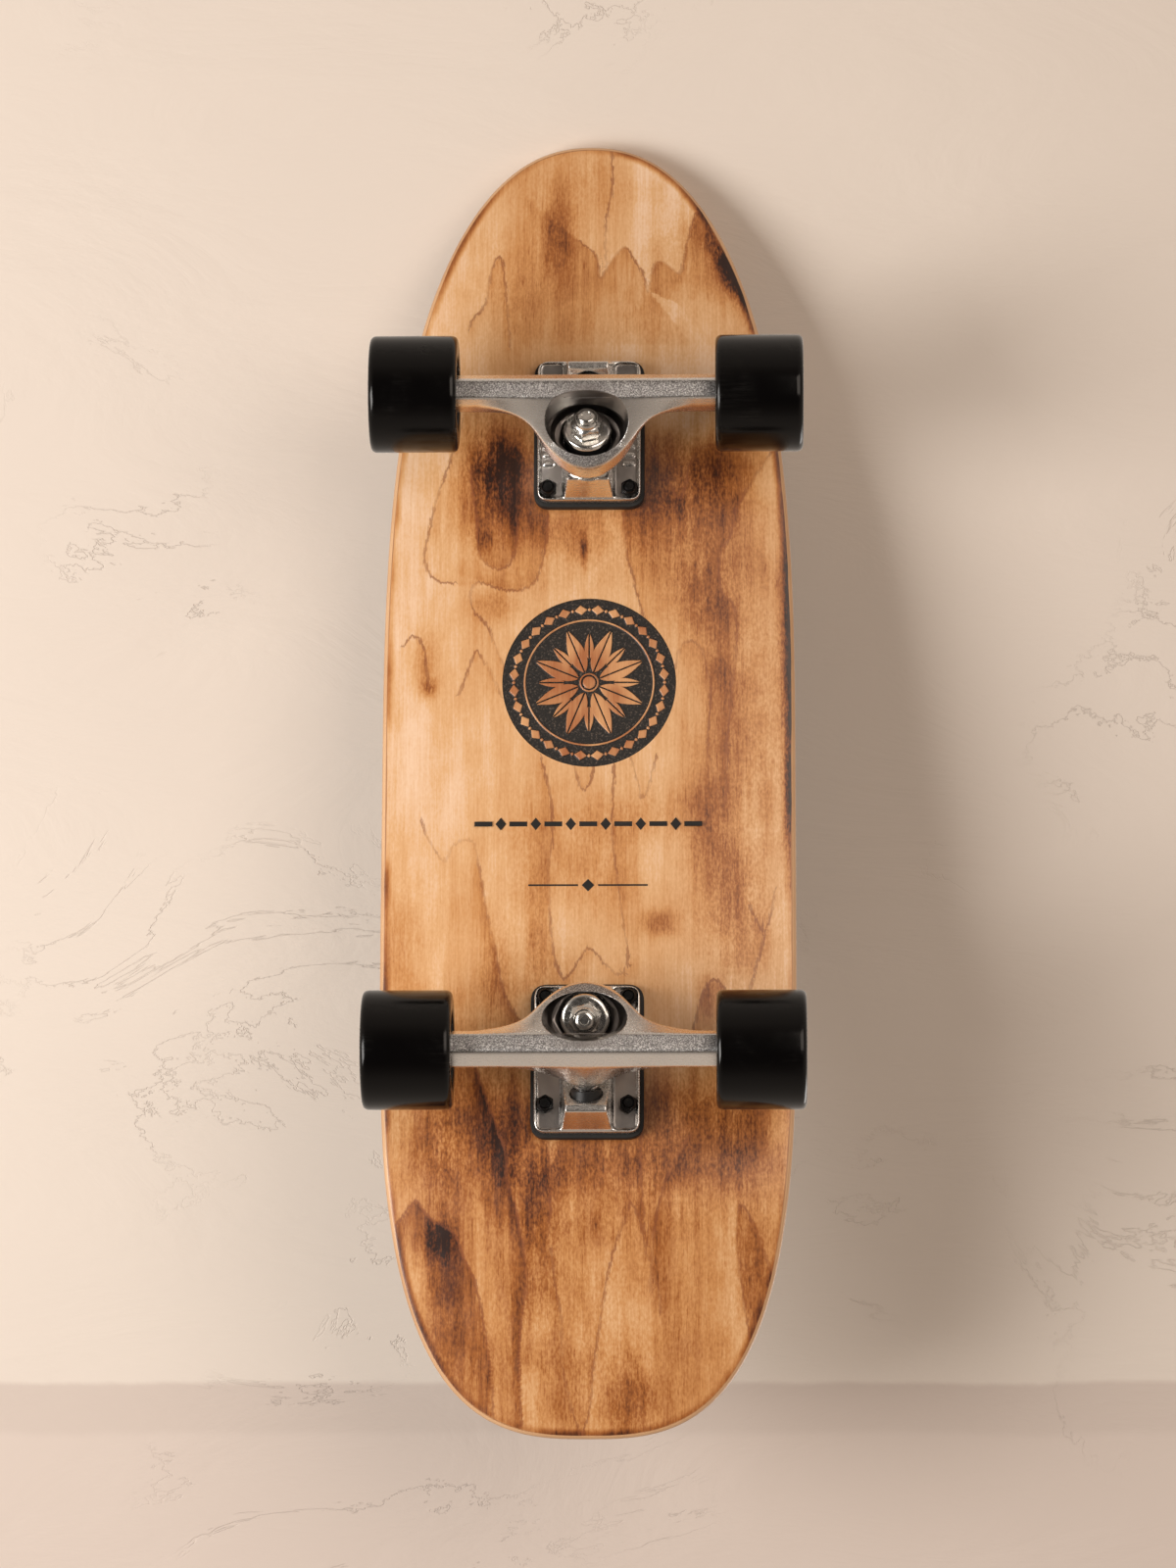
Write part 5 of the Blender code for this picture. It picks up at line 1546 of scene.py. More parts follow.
    def build_grip(self) -> None:
        """Builds the grip tape, a sheet a little inside the deck's edge."""
        loop = self.shape.outline(self.outline_points)
        low = self.shape.thickness + self.gap
        high = low + self.grip_thickness
        edge = drawn_in(loop, self.grip_inset + np.array([0.0, 0.0, self.grip_edge]))
        edge_heights = np.array([low, high - self.grip_edge, high])
        centre = self.centre_of(edge[2])
        under = centre + np.linspace(0.0, 1.0, 14)[:-1, None, None] * (edge[0] - centre)
        over = centre + np.linspace(1.0, 0.0, 26)[1:, None, None] * (edge[2] - centre)
        flat = np.concatenate([under, edge, over])
        heights = np.concatenate([np.full(len(under), low), edge_heights, np.full(len(over), high)])
        grid = np.broadcast_to(heights[:, None], flat.shape[:2])
        points = self.shape.bent(flat[..., 0], flat[..., 1], grid)
        show("grip_sheet", skin("grip_sheet", points), self.finishes.grip, BOARD, ("grip_tape",))


# Trucks


@dataclass
class TruckPlace:
    """Where a truck stands and which way it heads."""

    prefix: str
    centre: tuple[float, float]
    heading: float

    def matrix(self) -> Matrix:
        """Returns the placement of the truck's own frame."""
        turn = Matrix.Rotation(0.0 if self.heading > 0.0 else math.pi, 4, "Z")
        return Matrix.Translation((self.centre[0], 0.0, self.centre[1])) @ turn

    def hanger_body(self) -> str:
        """Returns the name of the body that steers."""
        return self.prefix + "_hanger_body"


def standing(middle: tuple[float, float], angle: float, axis: str) -> Matrix:
    """Returns a frame in the truck's middle plane, at (x, z), turned about an axis."""
    return Matrix.Translation((middle[0], 0.0, middle[1])) @ Matrix.Rotation(angle, 4, axis)


def facing_down(place: Matrix, height: float) -> Matrix:
    """Returns a frame turned over, at a height in millimetres along another's Z."""
    return place @ Matrix.Translation((0.0, 0.0, height * MM)) @ Matrix.Rotation(math.pi, 4, "X")


@dataclass
class TruckSizes:
    """The sizes that a truck's pieces share, in metres and in its own frame."""

    kingpin_tilt: float = math.radians(16.0)
    ring_centre: tuple[float, float] = (12.0 * MM, -32.4 * MM)
    pivot_angle: float = math.radians(22.5)
    axle: tuple[float, float] = (-8.8 * MM, -52.4 * MM)
    bolt_length_spacing: float = 53.98 * MM
    bolt_width_spacing: float = 41.3 * MM
    kingpin_radius: float = 4.75 * MM
    seat_station: float = 14.0 * MM
    pivot_reach: float = 44.5 * MM
    cup_depth: float = 8.0 * MM

    def kingpin_frame(self) -> Matrix:
        """Returns the kingpin's frame: Z up along it from the middle of the hanger's ring."""
        return standing(self.ring_centre, self.kingpin_tilt, "Y")

    def pivot_frame(self) -> Matrix:
        """Returns the pivot's frame: Z from the middle of the ring out to the cup."""
        return standing(self.ring_centre, self.pivot_angle - math.pi / 2.0, "Y")

    def axle_frame(self) -> Matrix:
        """Returns the axle's frame: Z along it to +Y."""
        return standing(self.axle, -math.pi / 2.0, "X")


def lathe(
    name: str, corners: Profile, radius: float, place: Matrix, sides: int = 72, closed: bool = True
) -> bpy.types.Mesh:
    """Turns a profile with rounded corners, given in millimetres.

    Args:
        name: The mesh's name.
        corners: The profile's (radius, height) corners.
        radius: The rounding of the corners.
        place: The placement of its axis.
        sides: How many steps a turn has.
        closed: Whether the profile is a closed ring, and doesn't start and end on the axis.

    Returns:
        The turned mesh.
    """
    profile = rounded(corners, radius, 4, closed) * MM
    return skin(name, moved(revolved(profile, sides), place), wrap_rows=closed)


def hexagon(angle: np.ndarray, across_flats: float) -> np.ndarray:
    """Works out a hexagon's radius, (a/2) / cos of the angle from the nearest flat's middle.

    Args:
        angle: Angles in radians.
        across_flats: The hexagon's width.

    Returns:
        The radius at each angle.
    """
    return across_flats / 2.0 / np.cos(angle_off(angle, 6))


def nut(
    name: str,
    across_flats: float,
    height: float,
    collar: float,
    bore: float,
    place: Matrix,
    turn: float = 0.0,
) -> bpy.types.Mesh:
    """Works out a lock nut: the lesser of a hexagon and a turned profile with chamfers and a collar.

    Args:
        name: The mesh's name.
        across_flats: The hexagon's width, in millimetres as the rest.
        height: The whole height.
        collar: The round collar's height on top.
        bore: The bore's radius.
        place: The placement of its seat, with Z to its top.
        turn: The turn about its axis.

    Returns:
        The nut's mesh.
    """
    corner = across_flats / math.sqrt(3.0)
    flat = across_flats / 2.0
    shoulder = height - collar
    outer = [
        (flat * 0.97, 0.0),
        (corner, 0.13 * across_flats * 0.5),
        (corner, shoulder - 0.1 * across_flats),
        (flat * 0.93, shoulder),
        (flat * 0.86, shoulder + 0.12 * collar),
        (flat * 0.84, height - 0.35 * collar),
        (flat * 0.74, height),
    ]
    turned = rounded(outer, 0.5, 4, closed=False)
    sides = 144
    angle = np.arange(sides) * (FULL_TURN / sides)
    radii = np.minimum(turned[:, 0, None], hexagon(angle + turn, across_flats))
    bevel = 0.4
    inner = np.array([(bore + bevel, height), (bore, height - bevel), (bore, bevel), (bore + bevel, 0.0)])
    radii = np.concatenate([radii, np.broadcast_to(inner[:, 0, None], (len(inner), sides))])
    grid = wound(radii, np.concatenate([turned[:, 1], inner[:, 1]]))
    return skin(name, moved(grid * MM, place), wrap_rows=True, crisp=28.0)


def threaded(
    name: str, radius: float, low: float, high: float, thread_end: float, pitch: float, place: Matrix
) -> bpy.types.Mesh:
    """Works out a shank with a threaded lower end, where its radius falls by a triangle wave along a helix.

    Args:
        name: The mesh's name.
        radius: The shank's radius, in millimetres as the rest.
        low: The height of its lower end.
        high: The height of its upper end.
        thread_end: The height up to which it is threaded.
        pitch: The thread's pitch.
        place: The placement of its axis.

    Returns:
        The shank's mesh.
    """
    sides = 48
    angle = np.arange(sides) * (FULL_TURN / sides)
    steps = int(abs(thread_end - low) / pitch * 8.0)
    levels = np.concatenate([np.linspace(low, thread_end, steps), [thread_end + 0.3, high]])
    phase = levels[:, None] / pitch - angle / FULL_TURN
    wave = np.abs(np.mod(phase, 1.0) - 0.5) * 2.0
    cut = np.where(levels[:, None] <= thread_end, 0.09 * radius * wave, 0.0)
    lead = np.clip((levels[:, None] - low) / 0.9, 0.0, 1.0)
    shank = np.minimum(radius - cut, radius * (0.84 + 0.16 * lead))
    dimple = np.array([[0.0, low + 0.55], [0.42 * radius, low + 0.5], [0.5 * radius, low]])
    ends = np.broadcast_to(dimple[:, 0, None], (3, sides))
    radii = np.concatenate([ends, shank, np.zeros((1, sides))])
    grid = wound(radii, np.concatenate([dimple[:, 1], levels, [high]]))
    return skin(name, moved(grid * MM, place), crisp=50.0)


@dataclass
class Baseplate:
    """The riser pad and the cast baseplate with its urethane cup, in millimetres."""

    truck: TruckPlace
    finishes: Finishes
    sizes: TruckSizes = field(default_factory=TruckSizes)
    start: float = -40.99
    end: float = 32.99
    width: float = 52.5
    corner: float = 5.0
    land_depth: float = 4.5
    rim_depth: float = 6.3
    rim_width: float = 1.2
    land_width: float = 12.2
    riser_thickness: float = 5.0
    riser_overhang: float = 2.0
    boss_drop: float = 26.0
    boss_back_run: float = 6.5
    boss_lip: float = 3.4
    mouth_angle: float = math.radians(50.0)
    spine_width: tuple[float, float] = (25.0, 20.4)
    seat_radius: float = 12.3
    kingpin_bore_radius: float = 5.05
    head_recess_radius: float = 8.1
    cup_radius: float = 7.6
    cup_wall: float = 2.0
    cup_floor: float = 1.5
    ribs_on_a_side: int = 5
    rib_start: float = 13.5
    rib_spacing: float = 4.6
    rib_half_sizes: tuple[float, float] = (0.75, 2.6)
    rib_across: float = 20.3
    facet: float = 0.4 * MM
    smoothing_passes: int = 9

    def plate(
        self,
        name: str,
        box: tuple[float, float, float, float],
        corner: float,
        low: float,
        high: float,
        edge: float,
    ) -> bpy.types.Mesh:
        """Works out a plate with round corners and eased edges.

        Args:
            name: The mesh's name.
            box: Its start and end along X, and along Y, in millimetres as the rest.
            corner: The radius of its corners.
            low: The height of its lower face.
            high: The height of its upper face.
            edge: The radius of its lower edge.

        Returns:
            The plate's mesh.
        """
        x0, x1, y0, y1 = box
        loop = rounded([(x1, y1), (x0, y1), (x0, y0), (x1, y0)], corner * 1.25, 10)
        upper_edge = edge * 0.5
        turn = np.linspace(0.0, math.pi / 2.0, 5)
        inset = np.concatenate([edge * (1.0 - np.sin(turn)), upper_edge * (1.0 - np.cos(turn[1:]))])
        rise = low + edge * (1.0 - np.cos(turn))
        height = np.concatenate([rise, high - upper_edge * (1.0 - np.sin(turn[1:]))])
        rings = drawn_in(loop, inset)
        levels = np.broadcast_to(height[:, None, None], (*rings.shape[:2], 1))
        return skin(name, np.concatenate([rings, levels], axis=-1) * MM, crisp=50.0)

    def spine(self, name: str) -> bpy.types.Mesh:
        """Works out the raised middle: its side view, narrower the deeper it goes.

        Args:
            name: The mesh's name.

        Returns:
            The spine's mesh.
        """
        sizes = self.sizes
        up = np.array([math.sin(sizes.kingpin_tilt), math.cos(sizes.kingpin_tilt)])
        across = np.array([math.cos(sizes.kingpin_tilt), -math.sin(sizes.kingpin_tilt)])
        seat = (np.array(sizes.ring_centre) + up * sizes.seat_station) / MM
        seat_outer = seat - across * (self.seat_radius - 1.0)
        seat_inner = seat + across * (self.seat_radius - 1.0)
        lip = self.start + self.boss_back_run + self.boss_lip
        mouth = lip + (self.boss_drop - self.rim_depth) / math.tan(self.mouth_angle)
        inside = -self.rim_depth + 1.5
        side = [
            (self.start + 1.0, inside),
            (self.start + 1.0, -self.rim_depth),
            (self.start + self.boss_back_run, -self.boss_drop),
            (lip, -self.boss_drop),
            (mouth, -self.rim_depth - 1.2),
            (seat_outer[0] - 4.0, -self.rim_depth - 1.2),
            tuple(seat_outer),
            tuple(seat_inner),
            (self.end - 1.0, -self.rim_depth),
            (self.end - 1.0, inside),
        ]
        loop = rounded(side, 0.8, 3)
        wide, narrow = self.spine_width
        share = np.clip((-loop[:, 1] - self.rim_depth) / (self.boss_drop - self.rim_depth), 0.0, 1.0)
        half = (wide + (narrow - wide) * share) / 2.0
        columns = [np.stack([loop[:, 0], sign * half, loop[:, 1]], axis=-1) for sign in (-1.0, 1.0)]
        return skin(name, np.stack(columns) * MM)

    def ribs(self) -> list[bpy.types.Mesh]:
        """Makes the short raised ribs on the side lands.

        Returns:
            The ribs' meshes.
        """
        half_length, half_width = self.rib_half_sizes
        low = -self.land_depth - 0.9
        high = -self.land_depth + 0.6
        made = []
        for side in (-1.0, 1.0):
            y = side * self.rib_across
            for index in range(self.ribs_on_a_side):
                x = self.rib_start - index * self.rib_spacing
                box = (x - half_length, x + half_length, y - half_width, y + half_width)
                made.append(self.plate(f"rib_{index}", box, 0.5, low, high, 0.3))
        return made

    def cylinder(self, name: str, radius: float, low: float, high: float, place: Matrix) -> bpy.types.Mesh:
        """Makes a plain round tool about a placement's axis."""
        corners = [(0.0, low), (radius, low), (radius, high), (0.0, high)]
        return lathe(name, corners, 0.0, place, 64, closed=False)

    def build(self) -> None:
        """Builds the riser, the casting and the cup."""
        sizes = self.sizes
        place = self.truck.matrix()
        prefix = self.truck.prefix
        over = self.riser_overhang
        half = self.width / 2.0
        riser_box = (self.start - over, self.end + over, -half - over, half + over)
        corner = self.corner + over
        riser = self.plate(prefix + "_riser", riser_box, corner, GAP, GAP + self.riser_thickness, 0.6)
        riser.transform(place)
        show(prefix + "_riser", riser, self.finishes.rubber, BOARD, (prefix + "_riser_pad",))

        kingpin = sizes.kingpin_frame()
        pivot = sizes.pivot_frame()
        station = sizes.seat_station / MM
        reach = sizes.pivot_reach / MM
        bottom = reach + GAP + self.cup_floor
        tools = []
        for side in (-1.0, 1.0):
            outer = side * (half - self.rim_width)
            inner = side * (half - self.rim_width - self.land_width)
            ends = (self.start + self.rim_width, self.end - self.rim_width)
            box = (*ends, min(outer, inner), max(outer, inner))
            land = self.plate("land", box, 2.5, -3.0 * self.rim_depth, -self.land_depth, 0.2)
            tools.append((Cut.TAKE, land))
        tools += [(Cut.ADD, rib) for rib in self.ribs()]
        bore = self.kingpin_bore_radius
        recess = self.head_recess_radius
        tools += [
            (Cut.ADD, self.spine("spine")),
            (Cut.ADD, self.cylinder("seat", self.seat_radius, station, station + 4.0, kingpin)),
            (Cut.TAKE, self.cylinder("cup_bore", self.cup_radius + GAP, 24.0, bottom + GAP, pivot)),
            (Cut.TAKE, self.cylinder("kingpin_bore", bore, 0.0, station + 12.0, kingpin)),
            (Cut.TAKE, self.cylinder("head_recess", recess, station + 9.9, station + 35.0, kingpin)),
        ]
        box = (self.start, self.end, -half, half)
        blank = self.plate("blank", box, self.corner, -self.rim_depth, 0.0, 0.7)
        name = prefix + "_plate"
        casting = cast(name, carved(name, blank, tools), self.facet, self.smoothing_passes)
        places, normals = surface(casting)
        below = -places[:, 2]
        land = ease((-normals[:, 2] - 0.86) / 0.08)
        land *= ease((self.rim_depth - 0.6 - below) / 0.5) * ease((below - self.land_depth + 1.0) / 0.5)
        # The recessed lands get a little of the sand's grain, and painted shade through hollow.
        marked(casting, sand=0.3 * land, hollow=0.92 * land)
        casting.transform(place)
        show(name, casting, self.finishes.aluminium, BOARD, (prefix + "_baseplate",))

        mouth = reach - sizes.cup_depth / MM
        inside = self.cup_radius - self.cup_wall
        cup = [
            (0.0, bottom),
            (self.cup_radius, bottom),
            (self.cup_radius, mouth),
            (inside, mouth),
            (inside, reach + GAP),
            (0.0, reach + GAP),
        ]
        mesh = lathe(prefix + "_cup", cup, 0.5, place @ pivot, 64, closed=False)
        show(prefix + "_cup", mesh, self.finishes.urethane, BOARD, (prefix + "_pivot_cup",))


@dataclass
class Hanger:
    """The hanger's casting, in millimetres: a crossbar that swells into the yoke, with its pivot."""

    truck: TruckPlace
    finishes: Finishes
    sizes: TruckSizes = field(default_factory=TruckSizes)
    width: float = 147.0
    boss_length: float = 3.0
    bar: tuple[tuple[float, float], ...] = (
        (-9.4, -2.7),
        (-3.7, -12.5),
        (5.5, -11.8),
        (8.4, -6.3),
        (8.8, 3.5),
        (5.5, 8.2),
        (-6.5, 7.8),
    )
    roundings: tuple[float, ...] = (1.2, 2.3, 0.9, 1.3, 2.0, 3.0, 3.0)
    yoke_half_width: float = 33.0
    flare: float = 21.0
    flare_power: float = 8.0
    gusset_half_width: float = 50.0
    gusset_power: float = 2.3
    gusset_reach: float = 38.0
    ring_radius: float = 17.0
    ring_thickness: float = 10.0
    web: float = 5.0
    stem_radius: float = 5.3
    seat_radius: float = 12.7
    pocket_half_width: float = 20.5
    boss_radius: float = 7.0
    kingpin_bore_radius: float = 7.0
    axle_bore_radius: float = 4.3
    axle_radius: float = 4.0
    axle_half_length: float = 107.5
    facet: float = 0.6 * MM
    smoothing_passes: int = 12

    def yoke_share(self, across: np.ndarray) -> np.ndarray:
        """Finds how far back from its tip the yoke is as wide as a place across.

        Its half width at a share q is a sqrt(q) + b q^p, and this is the inverse, read from a fine table.

        Args:
            across: The places across.

        Returns:
            The share at each place, 0 at the tip.
        """
        share = np.linspace(0.0, 1.0, 4000) ** 2
        half = self.yoke_half_width * np.sqrt(share) + self.flare * share**self.flare_power
        return np.interp(np.abs(across), half, share)

    def sections(self, across: np.ndarray) -> np.ndarray:
        """Works out the casting's section at places across it.

        Args:
            across: The places, shaped (stations,).

        Returns:
            The sections' corners as (x, z) in millimetres, shaped (stations, 7, 2).
        """
        sizes = self.sizes
        bar = np.array(self.bar) + np.array(sizes.axle) / MM
        up = np.array([math.sin(sizes.kingpin_tilt), math.cos(sizes.kingpin_tilt)])
        inward = np.array([math.cos(sizes.kingpin_tilt), -math.sin(sizes.kingpin_tilt)])
        ring = np.array(sizes.ring_centre) / MM
        share = self.yoke_share(across)[:, None]
        half = np.abs(across)[:, None]
        tip = ring + inward * self.ring_radius - up * (self.ring_thickness / 2.0)
        tip_point = tip + (bar[3] - tip) * share
        behind = tip_point + up * (self.ring_thickness + 2.0 * share)
        inner_point = behind + (bar[4] - behind) * ease(share * share)
        past_ring = half - 0.6 * self.ring_radius
        fade = 1.0 - ease(past_ring / (self.gusset_half_width - 0.9 * self.ring_radius))
        back = ring + up * (self.ring_thickness / 2.0) - inward * (self.ring_radius - 1.0)
        back_point = bar[5] + (back - bar[5]) * fade
        gusset = np.maximum(1.0 - half / self.gusset_half_width, 0.0) ** self.gusset_power
        outward = np.array([-math.cos(sizes.pivot_angle), math.sin(sizes.pivot_angle)])
        across_stem = np.array([math.sin(sizes.pivot_angle), math.cos(sizes.pivot_angle)])
        apex = ring + outward * self.gusset_reach - across_stem * self.stem_radius
        pivot_point = bar[6] + (apex - bar[6]) * gusset
        fixed = [np.broadcast_to(corner, tip_point.shape) for corner in bar[:3]]
        return np.stack([*fixed, tip_point, inner_point, back_point, pivot_point], axis=1)

    def loft(self, name: str) -> bpy.types.Mesh:
        """Makes the crossbar and yoke from end to end, as rounded sections along the axle.

        Args:
            name: The mesh's name.

        Returns:
            The mesh.
        """
        end = self.width / 2.0 - self.boss_length
        across = np.linspace(-1.0, 1.0, 241)
        across = end * (0.35 * across + 0.65 * across * np.abs(across))
        outline = rounded(self.sections(across), np.array(self.roundings), 5)
        y = np.broadcast_to(across[:, None, None], (*outline.shape[:2], 1))
        points = np.concatenate([outline[..., :1], y, outline[..., 1:]], axis=-1)
        return skin(name, points * MM)

    def pocket(self) -> bpy.types.Mesh:
        """Works out the oval funnel on the road side, which leads round the axle to the bushing's seat.

        Each level is an oval between two points of the middle plane, the outer and the inward one.

        Returns:
            The funnel, as a tool.
        """
        axle = np.array(self.sizes.axle) / MM
        ring = np.array(self.sizes.ring_centre) / MM
        inner = ring[0] + math.cos(self.sizes.kingpin_tilt) * (self.ring_radius - 4.6)
        levels = [
            ((axle[0] + 1.5, axle[1] - 13.5), (inner - 5.0, ring[1] - 21.0), 1.05),
            ((axle[0] + 5.5, axle[1] - 0.4), (inner - 1.9, ring[1] - 12.6), 0.97),
            ((axle[0] + 2.8, axle[1] + 7.6), (inner - 1.6, ring[1] - 11.2), 0.9),
            ((axle[0] + 4.6, axle[1] + 13.6), (inner - 1.4, ring[1] - 9.6), 0.8),
        ]
        known = np.array([(*outer, *inward, wide) for outer, inward, wide in levels])
        rows = np.linspace(0.0, len(levels) - 1.0, 15 * (len(levels) - 1) + 1)
        between = np.stack([np.interp(rows, np.arange(len(levels)), column) for column in known.T], axis=-1)
        first = between[:, 0:2]
        last = between[:, 2:4]
        half = self.pocket_half_width * between[:, 4]
        angle = np.arange(240) * (FULL_TURN / 240)
        share = ((1.0 + np.cos(angle)) / 2.0)[None, :, None]
        line = first[:, None] + (last - first)[:, None] * share
        y = half[:, None] * np.sin(angle)
        return skin("pocket", np.stack([line[..., 0], y, line[..., 1]], axis=-1) * MM)

    def sandy(self, places: np.ndarray, normals: np.ndarray) -> np.ndarray:
        """Finds where the casting keeps the sand's grain: the crossbar's road face and round the yoke's tip.

        Args:
            places: The casting's points.
            normals: The directions that they face.

        Returns:
            A share for each point, 1 where it is all grain.
        """
        under = self.sizes.axle[1] / MM - 10.0
        bar = ease((-normals[:, 2] - 0.9) / 0.07) * ease((under - places[:, 2]) / 0.5 + 1.0)
        slope = np.array([0.594, 0.0, -0.805])
        past_ring = places[:, 0] - self.sizes.ring_centre[0] / MM
        tip = ease((normals @ slope - 0.93) / 0.05) * ease(past_ring / 8.0)
        board_side = ease((normals[:, 2] - 0.8) / 0.1)
        return np.maximum.reduce([bar, 0.75 * tip, 0.8 * board_side])

    def hollow(self, places: np.ndarray, normals: np.ndarray) -> np.ndarray:
        """Finds the inside of the funnel and the seats, where the casting is duller and is painted dark as
        shade.

        Inside, a point's normal leans towards the kingpin's axis, and the point is less far from the axis
        than the funnel is wide.

        Args:
            places: The casting's points.
            normals: The directions that they face.

        Returns:
            A share for each point, 1 where it is inside.
        """
        frame_of_pin = np.array(self.sizes.kingpin_frame().inverted())
        local = places @ frame_of_pin[:3, :3].T + frame_of_pin[:3, 3] / MM
        facing = normals @ frame_of_pin[:3, :3].T
        distance = np.maximum(np.hypot(local[:, 0], local[:, 1]), 1e-3)
        inwards = -(facing[:, 0] * local[:, 0] + facing[:, 1] * local[:, 1]) / distance
        near = ease((self.pocket_half_width + 1.5 - distance) / 1.5)
        return ease(inwards / 0.35 - 0.3) * near * ease((6.0 - local[:, 2]) / 2.0)

    def build(self) -> None:
        """Builds the casting with its seats and bores, and the axle."""
        sizes = self.sizes
        kingpin = sizes.kingpin_frame()
        axle = sizes.axle_frame()
        reach = sizes.pivot_reach / MM
        mouth = reach - sizes.cup_depth / MM
        stem = [
            (0.0, reach),
            (self.stem_radius, reach),
            (self.stem_radius, mouth - 1.0),
            (9.0, 24.0),
            (9.0, 14.0),
            (0.0, 14.0),
        ]
        half_ring = self.ring_thickness / 2.0
        half_web = self.web / 2.0
        half_width = self.width / 2.0
        bore = self.kingpin_bore_radius
        forms = [
            (Cut.ADD, lathe("stem", stem, 1.8, sizes.pivot_frame(), 64, closed=False)),
            (Cut.ADD, self.round_tool("ring", self.ring_radius, -half_ring, half_ring, kingpin)),
            (Cut.ADD, self.round_tool("boss", self.boss_radius, -half_width, half_width, axle)),
        ]
        tools = [
            (Cut.TAKE, self.pocket()),
            (Cut.TAKE, self.round_tool("road_seat", self.seat_radius, -13.5, -half_web, kingpin)),
            (Cut.TAKE, self.round_tool("board_seat", self.seat_radius, half_web, 15.0, kingpin)),
            (Cut.TAKE, self.round_tool("bore", bore, -8.0, 8.0, kingpin)),
            (Cut.TAKE, self.round_tool("axle_bore", self.axle_bore_radius, -90.0, 90.0, axle)),
        ]
        prefix = self.truck.prefix
        name = prefix + "_casting"
        body = self.truck.hanger_body()
        solid = carved(name, self.loft(name), forms)
        solid = cast(name, solid, self.facet, self.smoothing_passes)
        casting = carved(name, solid, tools, Solver.FINE)
        casting.shade_smooth()
        places, normals = surface(casting)
        marked(casting, sand=self.sandy(places, normals), hollow=self.hollow(places, normals))
        casting.transform(self.truck.matrix())
        show(name, casting, self.finishes.aluminium, body, (prefix + "_hanger",))

        radius = self.axle_radius
        end = self.axle_half_length
        shaft = [(0.0, -end), (radius, -end), (radius, end), (0.0, end)]
        mesh = lathe(prefix + "_shaft", shaft, 0.7, self.truck.matrix() @ axle, 48, closed=False)
        show(prefix + "_shaft", mesh, self.finishes.steel, body, (prefix + "_axle",))

    def round_tool(self, name: str, radius: float, low: float, high: float, place: Matrix) -> bpy.types.Mesh:
        """Makes a finely meshed round tool about a placement's axis."""
        profile = rounded([(0.0, low), (radius, low), (radius, high), (0.0, high)], 0.6, 4, closed=False)
        return skin(name, moved(revolved(refined(profile, 0.7) * MM, 144), place))


